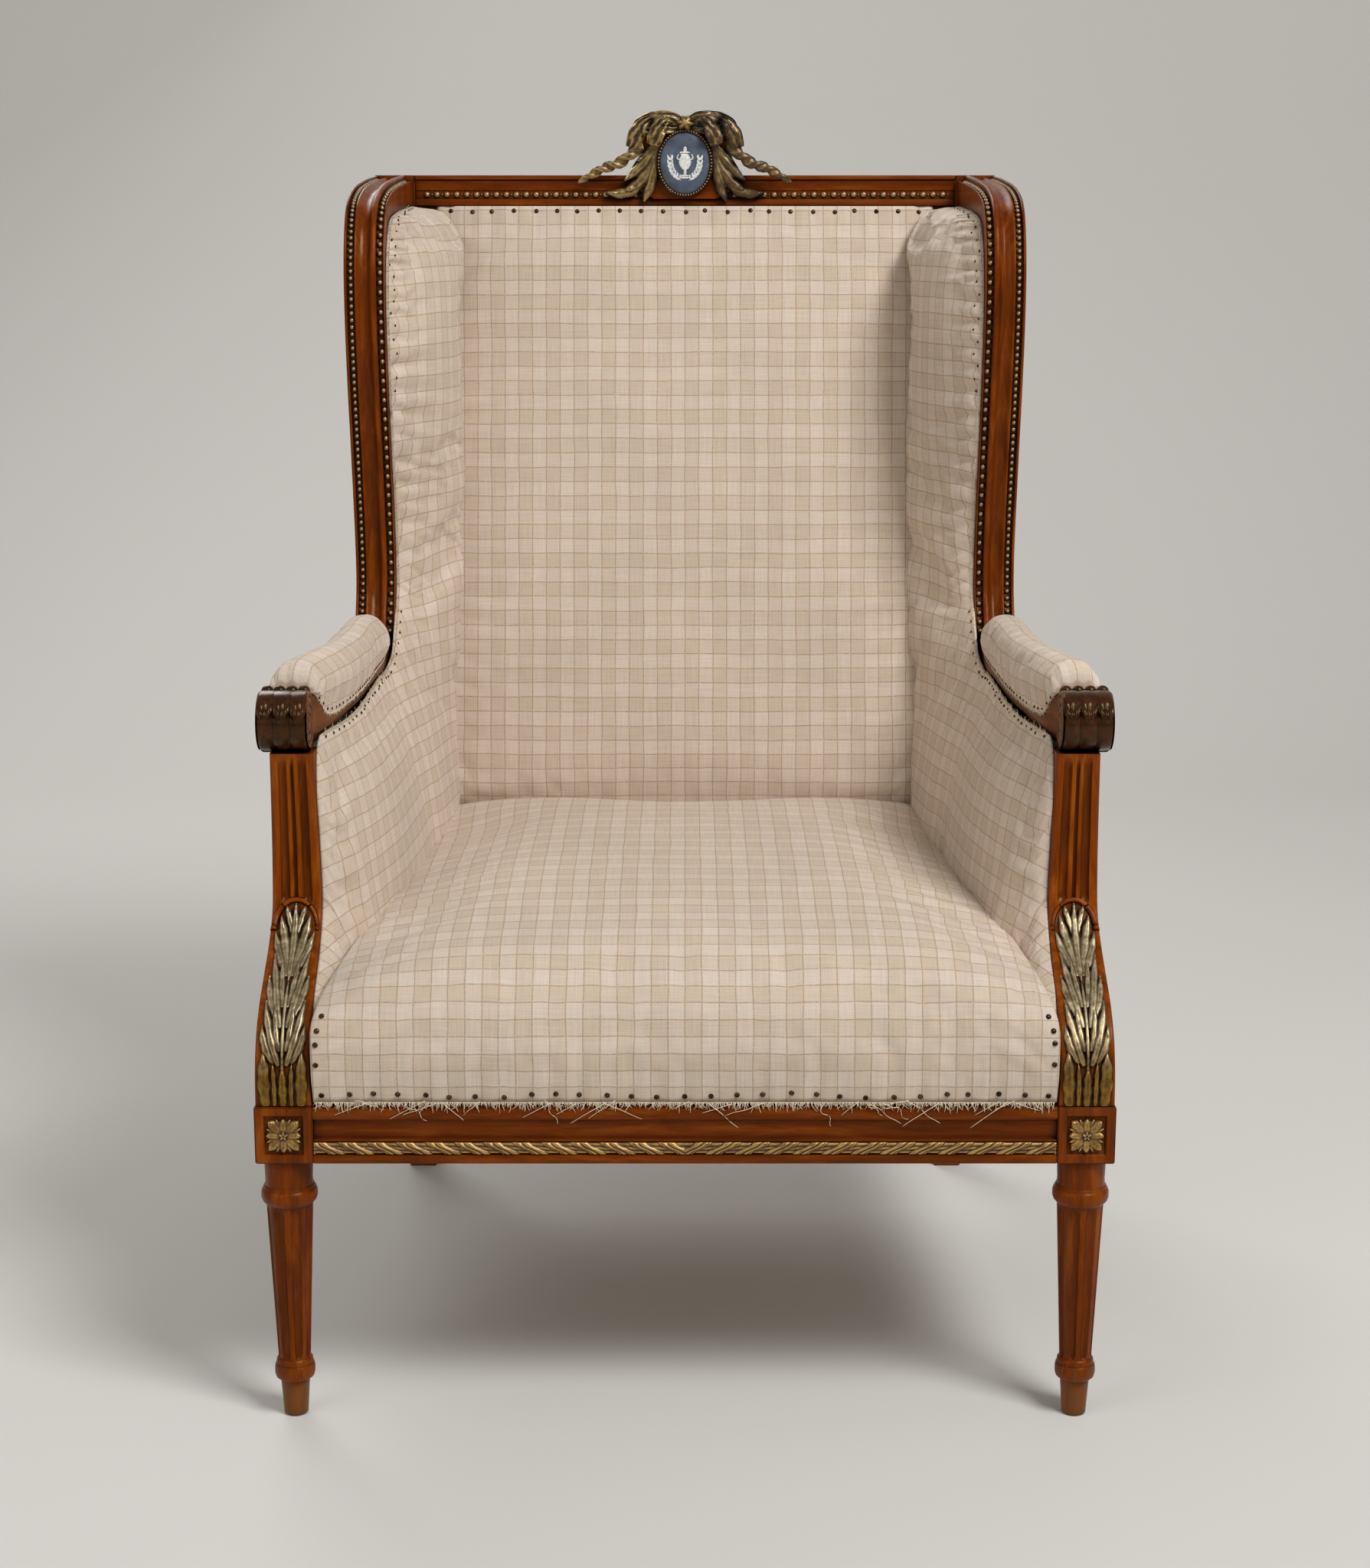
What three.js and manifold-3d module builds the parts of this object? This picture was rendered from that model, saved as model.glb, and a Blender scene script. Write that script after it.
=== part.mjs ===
// A carved and upholstered wing armchair (bergere). Millimetres, +Z up.
// x runs across the chair, y from the faces of the front leg blocks to the back, z up from the floor.
import * as THREE from "three";
import { mergeVertices } from "three/addons/utils/BufferGeometryUtils.js";
import Module from "manifold-3d";

const wasm = await Module();
wasm.setup();

// Clearances and working allowances
const fitGap = 0.3; // round a tenon, and between cloth and wood
const overrun = 5; // how far a cutting body runs past a face
const weldDistance = 0.001;
const sheetThickness = 1.5; // outer cloth covers, hessian and webbing

// Seat frame
const seatFrontWidth = 710; // over the outer faces of the front leg blocks
const legBlockSize = 48;
const frameBottom = 231; // floor to the underside of the seat frame
const railHeight = 49; // moulded height of the rails and of the leg blocks
const tackLipHeight = 15; // rebated lip above the moulding that takes the tacks
const tackLipSetback = 7;
const tackRailHeight = 24;
const railThickness = 34;
const railSetback = 1;
const tenonThickness = 12;
const tenonHeight = 26;
const tenonLength = 18;
const cornerBlockReach = 46;
const cornerBlockHeight = 36;

// Twisted ribbon along the bottom of the front rail
const ribbonHeight = 9.5;
const ribbonDepth = 7;
const ribbonPitch = 24;
const ribbonFootHeight = 8;

// Front legs
const footHeight = 33;
const footRadius = 10;
const footTopRadius = 12.5;
const collarHeight = 19;
const collarRadius = 17;
const shaftFootRadius = 13.5;
const shaftHeadRadius = 19.5;
const ringHeight = 16;
const ringRadius = 23.5;
const neckHeight = 25;
const neckRadius = 21;
const fluteCount = 8;
const fluteDepth = 3;
const fluteEndLength = 7;
const panelWidth = 33;
const panelHeight = 30;
const panelDepth = 2;
const rosetteRadius = 14;
const rosetteRelief = 3.5;
const rosettePetals = 8;

// Back legs, which run on as the stiles of the back
const backFootY = 628; // front of the back foot
const stileSeatY = 592; // front of the stile at the seat
const stileTopY = 665; // front of the stile at the top
const stileTop = 1037;
const stileWidth = 40;
const stileDepth = 38;
const backFootSize = 28;
const backFootInset = 60; // outer face of the leg block to the outer side of the back foot
const stileSeatInset = 49; // the same to the stile at the seat
const stileTopInset = 43; // the same to the stile at the top
const backRebate = 14; // depth of the rebate that the back webbing lies in
const backRebateWidth = 12;
const topRailHeight = 52;
const topRailFace = 30; // moulded part of the top rail
const topRailThickness = 34;
const lowerRailBottom = 330;
const lowerRailHeight = 42;
const lowerRailThickness = 24;

// Arms and arm posts
const armTop = 598;
const armThickness = 32;
const armWidth = 38;
const scrollRadius = 28;
const scrollWidth = 43;
const scrollY = 138;
const scrollZ = 577;
const scrollInset = 15; // outer face of the leg block to the middle of the scroll
const scrollLobes = 3;
const scrollLobeDepth = 2.6;
const armRearInset = 60; // the same to the middle of the arm at the stile
const postFootWidth = 47;
const postHeadWidth = 37;
const postHeadInset = 40; // outer face of the leg block to the inner side of the post head
const postFluteDepth = 2.6;
const leafHeight = 140;
const leafRelief = 5.5;
const leafSetback = 2;

// Wing frames
const wingWidth = 38;
const wingDepth = 30;
const wingInset = 34; // outer face of the leg block to the outer side of the wing
const wingFrontY = 459; // foremost place of the wing
const wingWaistY = 498; // rearmost place of the waist above the arm

// Crest
const crestRise = 57; // how far the bow stands over the top rail
const crestHalfWidth = 107;
const crestThickness = 18; // of the carving above the top rail, behind the stile line
const crestProud = 5; // how far the carving's ground stands before the top rail
const tailTwists = 5;
const bezelWidth = 57;
const bezelHeight = 67;
const bezelRim = 3.4;
const bezelThickness = 6;
const plaqueRise = 12; // the plaque's middle over the top of the rail
const plaqueThickness = 4;
const plaqueDome = 1.6;
const ribbonWidth = 15;
const ribbonThickness = 4.5;

// Upholstery
const seatHeight = 430; // floor to the crown of the seat
const noseOverhang = 2; // how far the seat front stands before the leg blocks
const seatSideDrop = 34;
const hessianRise = 42; // how far the springs lift the hessian over the rails
const hessianSag = 1.8; // room left over a spring's end, where the flat faces of the hessian dip
const backPadInset = 16; // inner side of the stile at the seat to the edge of the back pad
const backPadCrown = 12;
const backPadTuck = 16;
const lumbarFront = 545; // front of the back pad low down
const lumbarZ = 455;
const sidePadSwell = 38;
const armPadWidth = 48;
const armPadHeight = 24;
const armPadStart = 158;
const armPadEnd = 456;
const webWidth = 50;
const webCount = 4;

// Springs
const springColumns = 3;
const springRows = 3;
const springTurns = 3;
const springEndRadius = 40;
const springWaistRadius = 26;
const springWire = 3.6;
const springSteps = 8;
const springSides = 5;
const springPitchX = 150;
const springPitchY = 150;
const springFirstY = 160;

// Finishes
const polishedWalnut = { color: 0x7a3f1e, roughness: 0.35, metalness: 0 };
const gildedCarving = { color: 0x8a6a3a, roughness: 0.45, metalness: 0.6 };
const beechwood = { color: 0xb08a5e, roughness: 0.7, metalness: 0 };
const checkedCloth = { color: 0xd6c5a6, roughness: 0.95, metalness: 0 };
const jute = { color: 0xa98c62, roughness: 1, metalness: 0 };
const springSteel = { color: 0x6e6a66, roughness: 0.45, metalness: 0.9 };
const blueCeramic = { color: 0x5f7196, roughness: 0.6, metalness: 0 };

// Worked-out places
const blockTop = frameBottom + railHeight;
const railTop = blockTop + tackLipHeight;
const blockOuterX = seatFrontWidth / 2;
const blockInnerX = blockOuterX - legBlockSize;
const legX = blockOuterX - legBlockSize / 2;
const backFootX = blockOuterX - backFootInset - backFootSize;
const stileSeatX = blockOuterX - stileSeatInset - stileWidth;
const stileTopX = blockOuterX - stileTopInset - stileWidth;
const scrollX = blockOuterX - scrollInset;
const armRearX = blockOuterX - armRearInset;
const postHeadX = blockOuterX - postHeadInset;
const wingOuterX = blockOuterX - wingInset;
const backPadHalf = stileSeatX - backPadInset;
const crestTop = stileTop + crestRise;
const plaqueZ = stileTop + plaqueRise;
const legY = legBlockSize / 2;
const postHeadZ = scrollZ - scrollRadius + scrollLobeDepth;
const lipFaceY = railSetback + tackLipSetback;

const { lerp, smoothstep, clamp } = THREE.MathUtils;
const point = (x, y, z) => new THREE.Vector3(x, y, z);

// Geometry helpers

// Row of a table [key, value, value, ...] at a key between its rows, on a smooth curve through them.
function readTable(rows, key) {
  const last = rows.length - 1;
  const found = rows.findIndex((row) => row[0] > key);
  const upper = found < 0 ? last : Math.max(found, 1);
  const a = rows[upper - 1];
  const b = rows[upper];
  const before = rows[Math.max(upper - 2, 0)];
  const after = rows[Math.min(upper + 1, last)];
  const t = clamp((key - a[0]) / (b[0] - a[0]), 0, 1);
  const slope = (p, q, k) => (q[0] === p[0] ? 0 : (q[k] - p[k]) / (q[0] - p[0]));
  return a.slice(1).map((from, i) => {
    const k = i + 1;
    const run = b[0] - a[0];
    const m0 = slope(before, b, k) * run;
    const m1 = slope(a, after, k) * run;
    const t2 = t * t;
    const t3 = t2 * t;
    const start = (2 * t3 - 3 * t2 + 1) * from + (t3 - 2 * t2 + t) * m0;
    return start + (3 * t2 - 2 * t3) * b[k] + (t3 - t2) * m1;
  });
}

function volumeOf(corners, faces) {
  const [a, b, c] = [point(0, 0, 0), point(0, 0, 0), point(0, 0, 0)];
  let volume = 0;
  for (let i = 0; i < faces.length; i += 3) {
    a.fromArray(corners, faces[i] * 3);
    b.fromArray(corners, faces[i + 1] * 3);
    c.fromArray(corners, faces[i + 2] * 3);
    volume += a.dot(b.cross(c)) / 6;
  }
  return volume;
}

// A closed geometry as a solid with its faces pointing out.
function toSolid(geometry) {
  const bare = new THREE.BufferGeometry();
  bare.setAttribute("position", geometry.getAttribute("position"));
  if (geometry.getIndex()) bare.setIndex(geometry.getIndex());
  const welded = mergeVertices(bare, weldDistance);
  const corners = welded.getAttribute("position").array;
  const index = welded.getIndex().array;
  const faces = [];
  for (let i = 0; i < index.length; i += 3) {
    const [a, b, c] = index.slice(i, i + 3);
    if (a !== b && b !== c && c !== a) faces.push(a, b, c);
  }
  if (volumeOf(corners, faces) < 0) faces.reverse();
  return new wasm.Manifold(
    new wasm.Mesh({
      numProp: 3,
      vertProperties: new Float32Array(corners),
      triVerts: new Uint32Array(faces),
    }),
  );
}

// Triangles over a flat outline that runs counter-clockwise, each of its points used.
function earTriangles(flat) {
  const left = flat.map((unused, i) => i);
  const turn = (a, b, c) => flat[b].clone().sub(flat[a]).cross(flat[c].clone().sub(flat[a]));
  const holds = ([a, b, c], p) => turn(a, b, p) >= 0 && turn(b, c, p) >= 0 && turn(c, a, p) >= 0;
  const faces = [];
  while (left.length > 2) {
    const corners = left.map((b, i) => [left.at(i - 1), b, left[(i + 1) % left.length]]);
    const isFree = (corner) => !left.some((p) => !corner.includes(p) && holds(corner, p));
    let best = 0;
    let bestSize = 0;
    corners.forEach((corner, i) => {
      const size = turn(...corner);
      if (size <= bestSize || !isFree(corner)) return;
      best = i;
      bestSize = size;
    });
    faces.push(corners[best]);
    left.splice(best, 1);
  }
  return faces;
}

// Triangles that close a ring of points, in the ring's own order.
function capFaces(ring) {
  const normal = point(0, 0, 0);
  ring.forEach((p, i) => normal.add(p.clone().cross(ring[(i + 1) % ring.length])));
  normal.normalize();
  const side = Math.abs(normal.x) < Math.abs(normal.z) ? point(1, 0, 0) : point(0, 1, 0);
  const u = side.sub(normal.clone().multiplyScalar(side.dot(normal))).normalize();
  const v = normal.clone().cross(u);
  return earTriangles(ring.map((p) => new THREE.Vector2(p.dot(u), p.dot(v))));
}

// A solid through rings of points, all with as many points, closed at both ends.
function loft(rings) {
  const sides = rings[0].length;
  const faces = [];
  for (let r = 0; r < rings.length - 1; r++) {
    for (let i = 0; i < sides; i++) {
      const a = r * sides + i;
      const b = r * sides + ((i + 1) % sides);
      faces.push(a, b, b + sides, a, b + sides, a + sides);
    }
  }
  const lastRing = (rings.length - 1) * sides;
  capFaces(rings[0]).forEach(([a, b, c]) => faces.push(c, b, a));
  capFaces(rings.at(-1)).forEach((face) => faces.push(...face.map((i) => i + lastRing)));
  const geometry = new THREE.BufferGeometry();
  const corners = rings.flat().flatMap((p) => [p.x, p.y, p.z]);
  geometry.setAttribute("position", new THREE.Float32BufferAttribute(corners, 3));
  geometry.setIndex(faces);
  return toSolid(geometry);
}

function box(xs, ys, zs) {
  const size = [xs, ys, zs].map(([from, to]) => Math.abs(to - from));
  const middle = [xs, ys, zs].map(([from, to]) => (from + to) / 2);
  const geometry = new THREE.BoxGeometry(...size);
  geometry.translate(...middle);
  return toSolid(geometry);
}

// A flat outline in the x-y plane, made as thick as the two heights say.
function prism(outline, bottom, top) {
  return loft([bottom, top].map((z) => outline.map(([x, y]) => point(x, y, z))));
}

const unite = (solids) => solids.reduce((all, next) => all.add(next));
const cutAll = (solid, cutters) => cutters.reduce((left, cutter) => left.subtract(cutter), solid);

// The solid as a named mesh.
function meshOf(name, solid, finish) {
  const made = solid.getMesh();
  const geometry = new THREE.BufferGeometry();
  geometry.setAttribute("position", new THREE.BufferAttribute(new Float32Array(made.vertProperties), 3));
  geometry.setIndex(new THREE.BufferAttribute(new Uint32Array(made.triVerts), 1));
  geometry.computeVertexNormals();
  const mesh = new THREE.Mesh(geometry, new THREE.MeshStandardMaterial(finish));
  mesh.name = name;
  return mesh;
}

// Places on the frame that several pieces share

// Front face of a stile at height z.
function stileFrontY(z) {
  if (z < frameBottom) return lerp(backFootY, stileSeatY, z / frameBottom);
  return lerp(stileSeatY, stileTopY, Math.max(0, z - railTop) / (stileTop - railTop));
}

// Middle of the chair to the inner face of a stile at height z.
function stileInnerX(z) {
  if (z < frameBottom) return lerp(backFootX, stileSeatX, z / frameBottom);
  return lerp(stileSeatX, stileTopX, (z - frameBottom) / (stileTop - frameBottom));
}

// Outer face of a side rail at depth y.
function sideRailX(y) {
  const rearX = stileSeatX + stileWidth - railSetback;
  const frontX = seatFrontWidth / 2 - railSetback;
  return lerp(frontX, rearX, (y - legBlockSize) / (stileSeatY - legBlockSize));
}

// Middle line of an arm in plan at depth y.
const armLineShares = [
  [0, 1],
  [0.06, 0.86],
  [0.13, 0.66],
  [0.28, 0.4],
  [0.6, 0.25],
  [1, 0],
];
function armX(y) {
  const along = clamp((y - scrollY) / (stileSeatY - scrollY), 0, 1);
  return lerp(armRearX, scrollX, readTable(armLineShares, along)[0]);
}

// Width of an arm at depth y.
const armWidthAt = (y) => armWidth * lerp(1, 0.84, (y - scrollY) / (stileSeatY - scrollY));

// Front leg: a turned and fluted shaft under a square block with a carved rosette

const fluteShares = [
  [0, 0],
  [0.42, 0],
  [0.57, 0.85],
  [0.85, 0.85],
];

function fluteRing(x, z, radius, depth) {
  const ring = [];
  for (let flute = 0; flute < fluteCount; flute++) {
    fluteShares.forEach(([turn, deep]) => {
      const angle = ((flute + turn - 0.22) / fluteCount) * 2 * Math.PI;
      const r = radius - depth * deep;
      ring.push(point(x + r * Math.cos(angle), legY + r * Math.sin(angle), z));
    });
  }
  return ring;
}

function turnedLeg(x) {
  const collarBottom = footHeight;
  const shaftBottom = collarBottom + collarHeight;
  const neckBottom = frameBottom - neckHeight;
  const ringBottom = neckBottom - ringHeight;
  const shaftHeight = ringBottom - shaftBottom;
  const shaftAt = (z) => lerp(shaftFootRadius, shaftHeadRadius, (z - shaftBottom) / shaftHeight);
  const rings = [];
  const turn = (z, radius, depth = 0) => rings.push(fluteRing(x, z, radius, depth));
  turn(0, footRadius);
  turn(footHeight, footTopRadius);
  [
    [0, 0.86],
    [0.3, 1],
    [0.7, 0.94],
  ].forEach(([rise, share]) => turn(collarBottom + collarHeight * rise, collarRadius * share));
  turn(shaftBottom, shaftAt(shaftBottom));
  turn(shaftBottom + fluteEndLength * 0.3, shaftAt(shaftBottom), fluteDepth * 0.7);
  turn(shaftBottom + fluteEndLength, shaftAt(shaftBottom + fluteEndLength), fluteDepth);
  turn(ringBottom - fluteEndLength, shaftAt(ringBottom - fluteEndLength), fluteDepth);
  turn(ringBottom - fluteEndLength * 0.3, shaftAt(ringBottom), fluteDepth * 0.7);
  turn(ringBottom, shaftAt(ringBottom));
  [
    [0.1, 0.88],
    [0.5, 1],
    [0.9, 0.88],
  ].forEach(([rise, share]) => turn(ringBottom + ringHeight * rise, ringRadius * share));
  turn(neckBottom + neckHeight * 0.1, neckRadius * 0.9);
  turn(neckBottom + neckHeight * 0.8, neckRadius);
  turn(frameBottom + panelDepth, neckRadius);
  return loft(rings);
}

// A rosette in the plane of u and v about a middle point, standing out along w.
function rosette(middle, u, v, w) {
  const steps = rosettePetals * 3;
  const ring = (share, rise, wave) =>
    Array.from({ length: steps }, (unused, i) => {
      const angle = (i / steps) * 2 * Math.PI;
      const petal = 1 - wave * (0.5 - 0.5 * Math.cos(rosettePetals * angle));
      const r = rosetteRadius * share * petal;
      const flat = u.clone().multiplyScalar(r * Math.cos(angle));
      return middle
        .clone()
        .add(flat)
        .addScaledVector(v, r * Math.sin(angle))
        .addScaledVector(w, rise * rosetteRelief);
    });
  return loft([
    ring(1, -0.3, 0.3),
    ring(0.96, 0.6, 0.3),
    ring(0.42, 0.5, 0.1),
    ring(0.28, 1, 0),
  ]);
}

function frontLeg(side) {
  const x = side * legX;
  const half = legBlockSize / 2;
  const block = box([x - half, x + half], [0, legBlockSize], [frameBottom, blockTop]);
  const middleZ = (frameBottom + blockTop) / 2;
  const outerX = x + side * half;
  const halfPanel = panelWidth / 2;
  const panelY = [legY - halfPanel, legY + halfPanel];
  const panelZ = [middleZ - panelHeight / 2, middleZ + panelHeight / 2];
  const panels = [
    box([x - halfPanel, x + halfPanel], [-overrun, panelDepth], panelZ),
    box([outerX - side * panelDepth, outerX + side * overrun], panelY, panelZ),
  ];
  const across = point(1, 0, 0);
  const deep = point(0, 1, 0);
  const up = point(0, 0, 1);
  const rosettes = [
    rosette(point(x, panelDepth, middleZ), across, up, point(0, -1, 0)),
    rosette(point(outerX - side * panelDepth, legY, middleZ), deep, up, point(side, 0, 0)),
  ];
  const mortises = [
    frontRailTenon(side, fitGap),
    sideRailTenon(side, legBlockSize - tenonLength, legBlockSize + overrun, fitGap),
    postTenon(side, fitGap),
  ];
  return cutAll(unite([turnedLeg(x), cutAll(block, panels), ...rosettes]), mortises);
}

// Tenons, each grown by a gap where it cuts its mortise

const tenonBottom = frameBottom + (railHeight - tenonHeight) / 4;

function tenonBox(xs, ys, zs, gap) {
  const grow = ([from, to]) => [Math.min(from, to) - gap, Math.max(from, to) + gap];
  return box(grow(xs), grow(ys), grow(zs));
}

function frontRailTenon(side, gap) {
  const near = side * (blockInnerX - overrun);
  const far = side * (blockInnerX + tenonLength);
  const deep = [tenonThickness, 2 * tenonThickness];
  return tenonBox([near, far], deep, [tenonBottom, tenonBottom + tenonHeight], gap);
}

function sideRailTenon(side, fromY, toY, gap) {
  const x = sideRailX((fromY + toY) / 2) - railThickness * 0.47;
  const xs = [side * (x - tenonThickness / 2), side * (x + tenonThickness / 2)];
  return tenonBox(xs, [fromY, toY], [tenonBottom, tenonBottom + tenonHeight], gap);
}

function backRailTenon(side, bottom, gap) {
  const inner = stileInnerX(bottom);
  const y = stileFrontY(bottom) + stileDepth * 0.7;
  const xs = [side * (inner - overrun), side * (inner + tenonLength)];
  const ys = [y - tenonThickness / 2, y + tenonThickness / 2];
  return tenonBox(xs, ys, [bottom + tenonHeight / 4, bottom + tenonHeight], gap);
}

function postTenon(side, gap) {
  const half = tenonThickness / 2;
  const xs = [side * legX - half, side * legX + half];
  return tenonBox(xs, [legY - half, legY + half], [blockTop - tenonThickness, blockTop + overrun], gap);
}

function armTenon(side, gap) {
  const half = tenonThickness / 2;
  const x = side * (postHeadX + postHeadWidth / 2);
  const deep = [scrollY - half, scrollY + half];
  return tenonBox([x - half, x + half], deep, [postHeadZ - overrun, scrollZ], gap);
}

function armRearTenon(side, gap) {
  const half = tenonThickness / 2;
  const x = side * armRearX;
  const y = stileFrontY(armTop);
  const ys = [y - overrun - tenonLength, y + tenonLength];
  const z = armTop - armThickness / 2;
  return tenonBox([x - half, x + half], ys, [z - half, z + half], gap);
}

function wingRearTenon(side, gap) {
  const half = tenonThickness / 2;
  const x = side * (stileTopX + stileWidth - wingWidth / 2);
  const ys = [stileTopY - overrun, stileTopY + tenonLength];
  const z = stileTop - wingDepth * 0.6;
  return tenonBox([x - half, x + half], ys, [z - half, z + half], gap);
}

// Seat rails: moulded on the show face, with a rebated lip for the tacks

// Depth as a share of the lip's setback, then height as a share of the rail's height.
const railOutlineShares = [
  [0, 0],
  [0, 0.15],
  [0.3, 0.17],
  [0.3, 0.38],
  [0.85, 0.4],
  [0.85, 0.72],
  [0.3, 0.74],
  [0.05, 0.82],
  [0, 0.9],
  [0.1, 0.98],
  [0.3, 1],
];

// Outline of a rail section as pairs of depth behind the show face and height.
function railSection(thickness) {
  const deepest = tackLipSetback - railSetback;
  const shaped = railOutlineShares.map(([deep, rise]) => [
    deep * deepest,
    frameBottom + rise * railHeight,
  ]);
  return [
    ...shaped,
    [tackLipSetback, blockTop],
    [tackLipSetback, railTop],
    [thickness, railTop],
    [thickness, frameBottom],
  ];
}

// Half of the carved ribbon: a flat cord that turns about its own length, the other way on each half.
function ribbonHalf(side) {
  const length = blockInnerX;
  const ribbonRelief = ribbonDepth * 0.62;
  const stepsPerTurn = 6;
  const steps = Math.round((length / ribbonPitch / 2) * stepsPerTurn);
  const z = frameBottom + ribbonFootHeight + ribbonHeight / 2;
  const y = railSetback + (tackLipSetback - railSetback) * 0.3;
  const rings = [];
  for (let i = 0; i <= steps; i++) {
    const x = side * length * (i / steps);
    const twist = side * ((length * (i / steps)) / ribbonPitch) * Math.PI;
    rings.push(
      [0, 1, 2, 3, 4, 5].map((corner) => {
        const angle = (corner / 6) * 2 * Math.PI;
        const wide = Math.cos(angle) * (ribbonHeight / 2);
        const thin = Math.sin(angle) * (ribbonDepth / 4);
        const high = wide * Math.cos(twist) - thin * Math.sin(twist);
        const out = wide * Math.sin(twist) + thin * Math.cos(twist);
        return point(x, y + (out * ribbonRelief) / ribbonHeight, z + high);
      }),
    );
  }
  return loft(rings);
}

function frontRail() {
  const section = railSection(railThickness);
  const ends = [-blockInnerX, blockInnerX];
  const bar = loft(ends.map((x) => section.map(([deep, z]) => point(x, railSetback + deep, z))));
  const ribbon = ribbonHalf(1).add(ribbonHalf(-1));
  return unite([bar, ribbon, frontRailTenon(1, 0), frontRailTenon(-1, 0)]);
}

function sideRail(side) {
  const section = railSection(railThickness);
  const sectionAt = (y) => section.map(([deep, z]) => point(side * (sideRailX(y) - deep), y, z));
  const bar = loft([sectionAt(legBlockSize), sectionAt(stileSeatY)]);
  const tenons = [
    sideRailTenon(side, legBlockSize - tenonLength, legBlockSize + overrun, 0),
    sideRailTenon(side, stileSeatY - overrun, stileSeatY + tenonLength, 0),
  ];
  return unite([bar, ...tenons]);
}

function backRail() {
  const ys = [stileSeatY, stileSeatY + railThickness];
  const bar = loft(
    [-1, 1].map((side) =>
      [
        [ys[0], frameBottom],
        [ys[1], frameBottom],
        [ys[1], railTop],
        [ys[0], railTop],
      ].map(([y, z]) => point(side * (stileInnerX(z) - fitGap), y, z)),
    ),
  );
  return unite([bar, backRailTenon(1, frameBottom, 0), backRailTenon(-1, frameBottom, 0)]);
}

// A glued brace across an inside corner of the seat frame.
function cornerBrace(side, front) {
  const gap = fitGap;
  const along = cornerBlockReach;
  const crossY = front ? railSetback + railThickness + gap : stileSeatY - gap;
  const away = front ? 1 : -1;
  const nearY = front ? legBlockSize * 1.25 : stileSeatY - legBlockSize / 4;
  const farY = nearY + away * along;
  const sideX = (y) => sideRailX(y) - railThickness - gap;
  const cornerX = front ? blockInnerX - legBlockSize / 3 : stileInnerX(frameBottom) - gap;
  const outline = [
    [cornerX - along, crossY],
    [cornerX, crossY],
    [sideX(nearY), nearY],
    [sideX(farY), farY],
  ].map(([x, y]) => [side * x, y]);
  const bottom = frameBottom + (railHeight - cornerBlockHeight) / 2;
  return prism(outline, bottom, bottom + cornerBlockHeight);
}

// Back legs

function backLeg(side) {
  const section = (z, width, depth, notch) => {
    const inner = stileInnerX(z);
    const front = stileFrontY(z);
    const chamfer = width / 12;
    const notchWide = Math.max(notch * backRebateWidth, chamfer / 2);
    const notchDeep = Math.max(notch * backRebate, chamfer / 2);
    return [
      [inner, depth],
      [inner, notchDeep],
      [inner + notchWide, notchDeep],
      [inner + notchWide, 0],
      [inner + width - chamfer, 0],
      [inner + width, chamfer],
      [inner + width, depth - chamfer],
      [inner + width - chamfer, depth],
    ].map(([x, y]) => point(side * x, front + y, z));
  };
  const rebateFoot = lowerRailBottom;
  const rebateHead = stileTop - topRailFace;
  const taper = (z) => lerp(backFootSize, stileWidth, clamp(z / frameBottom, 0, 1));
  const rings = [
    section(0, taper(0), taper(0), 0),
    section(frameBottom / 2, taper(frameBottom / 2), taper(frameBottom / 2), 0),
    section(frameBottom, stileWidth, stileDepth, 0),
    section(railTop, stileWidth, stileDepth, 0),
    section(rebateFoot, stileWidth, stileDepth, 0),
    section(rebateFoot + overrun, stileWidth, stileDepth, 1),
    section(rebateHead - overrun, stileWidth, stileDepth, 1),
    section(rebateHead, stileWidth, stileDepth, 0),
    section(stileTop, stileWidth, stileDepth, 0),
  ];
  const mortises = [
    sideRailTenon(side, stileSeatY - overrun, stileSeatY + tenonLength, fitGap),
    backRailTenon(side, frameBottom, fitGap),
    backRailTenon(side, lowerRailBottom, fitGap),
    backRailTenon(side, stileTop - topRailHeight, fitGap),
    armRearTenon(side, fitGap),
    wingRearTenon(side, fitGap),
  ];
  return cutAll(loft(rings), mortises);
}

// Arm post: a swept console with two flutes on its face and a raised leaf at its foot

// Share of the height above the block, then the front and back lines as shares of the sweep.
const postSweepShares = [
  [0, 0.02, 0.32],
  [0.1, 0.03, 0.36],
  [0.2, 0.1, 0.48],
  [0.28, 0.24, 0.64],
  [0.34, 0.42, 0.81],
  [0.42, 0.66, 0.96],
  [0.5, 0.8, 1.02],
  [0.62, 0.84, 1.03],
  [0.8, 0.85, 1.04],
  [1, 0.84, 1.05],
];

function postAt(share) {
  const sweep = scrollY + postFluteDepth * 4;
  const [front, back] = readTable(postSweepShares, share).map((value) => value * sweep);
  const width = lerp(postFootWidth, postHeadWidth, share);
  const inner = lerp(blockInnerX, postHeadX, share);
  return { front, back, width, inner, z: lerp(blockTop, postHeadZ, share) };
}
const postShareAt = (z) => clamp((z - blockTop) / (postHeadZ - blockTop), 0, 1);

function postBody(side, gap) {
  const faceShares = [
    [0, 0],
    [0.13, 0],
    [0.2, 1],
    [0.4, 1],
    [0.47, 0],
    [0.53, 0],
    [0.6, 1],
    [0.8, 1],
    [0.87, 0],
    [1, 0],
  ];
  const rings = [];
  const steps = 14;
  for (let i = 0; i <= steps; i++) {
    const share = i / steps;
    const { front, back, width, inner, z } = postAt(share);
    const flute = postFluteDepth * smoothstep(share, 0.5, 0.56) * (1 - smoothstep(share, 0.94, 1));
    const xAt = (across) => side * (inner - gap + (width + 2 * gap) * across);
    const face = faceShares.map(([across, deep]) => point(xAt(across), front - gap + flute * deep, z));
    rings.push([...face, point(xAt(1), back + gap, z), point(xAt(0), back + gap, z)]);
  }
  return loft(rings);
}

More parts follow.
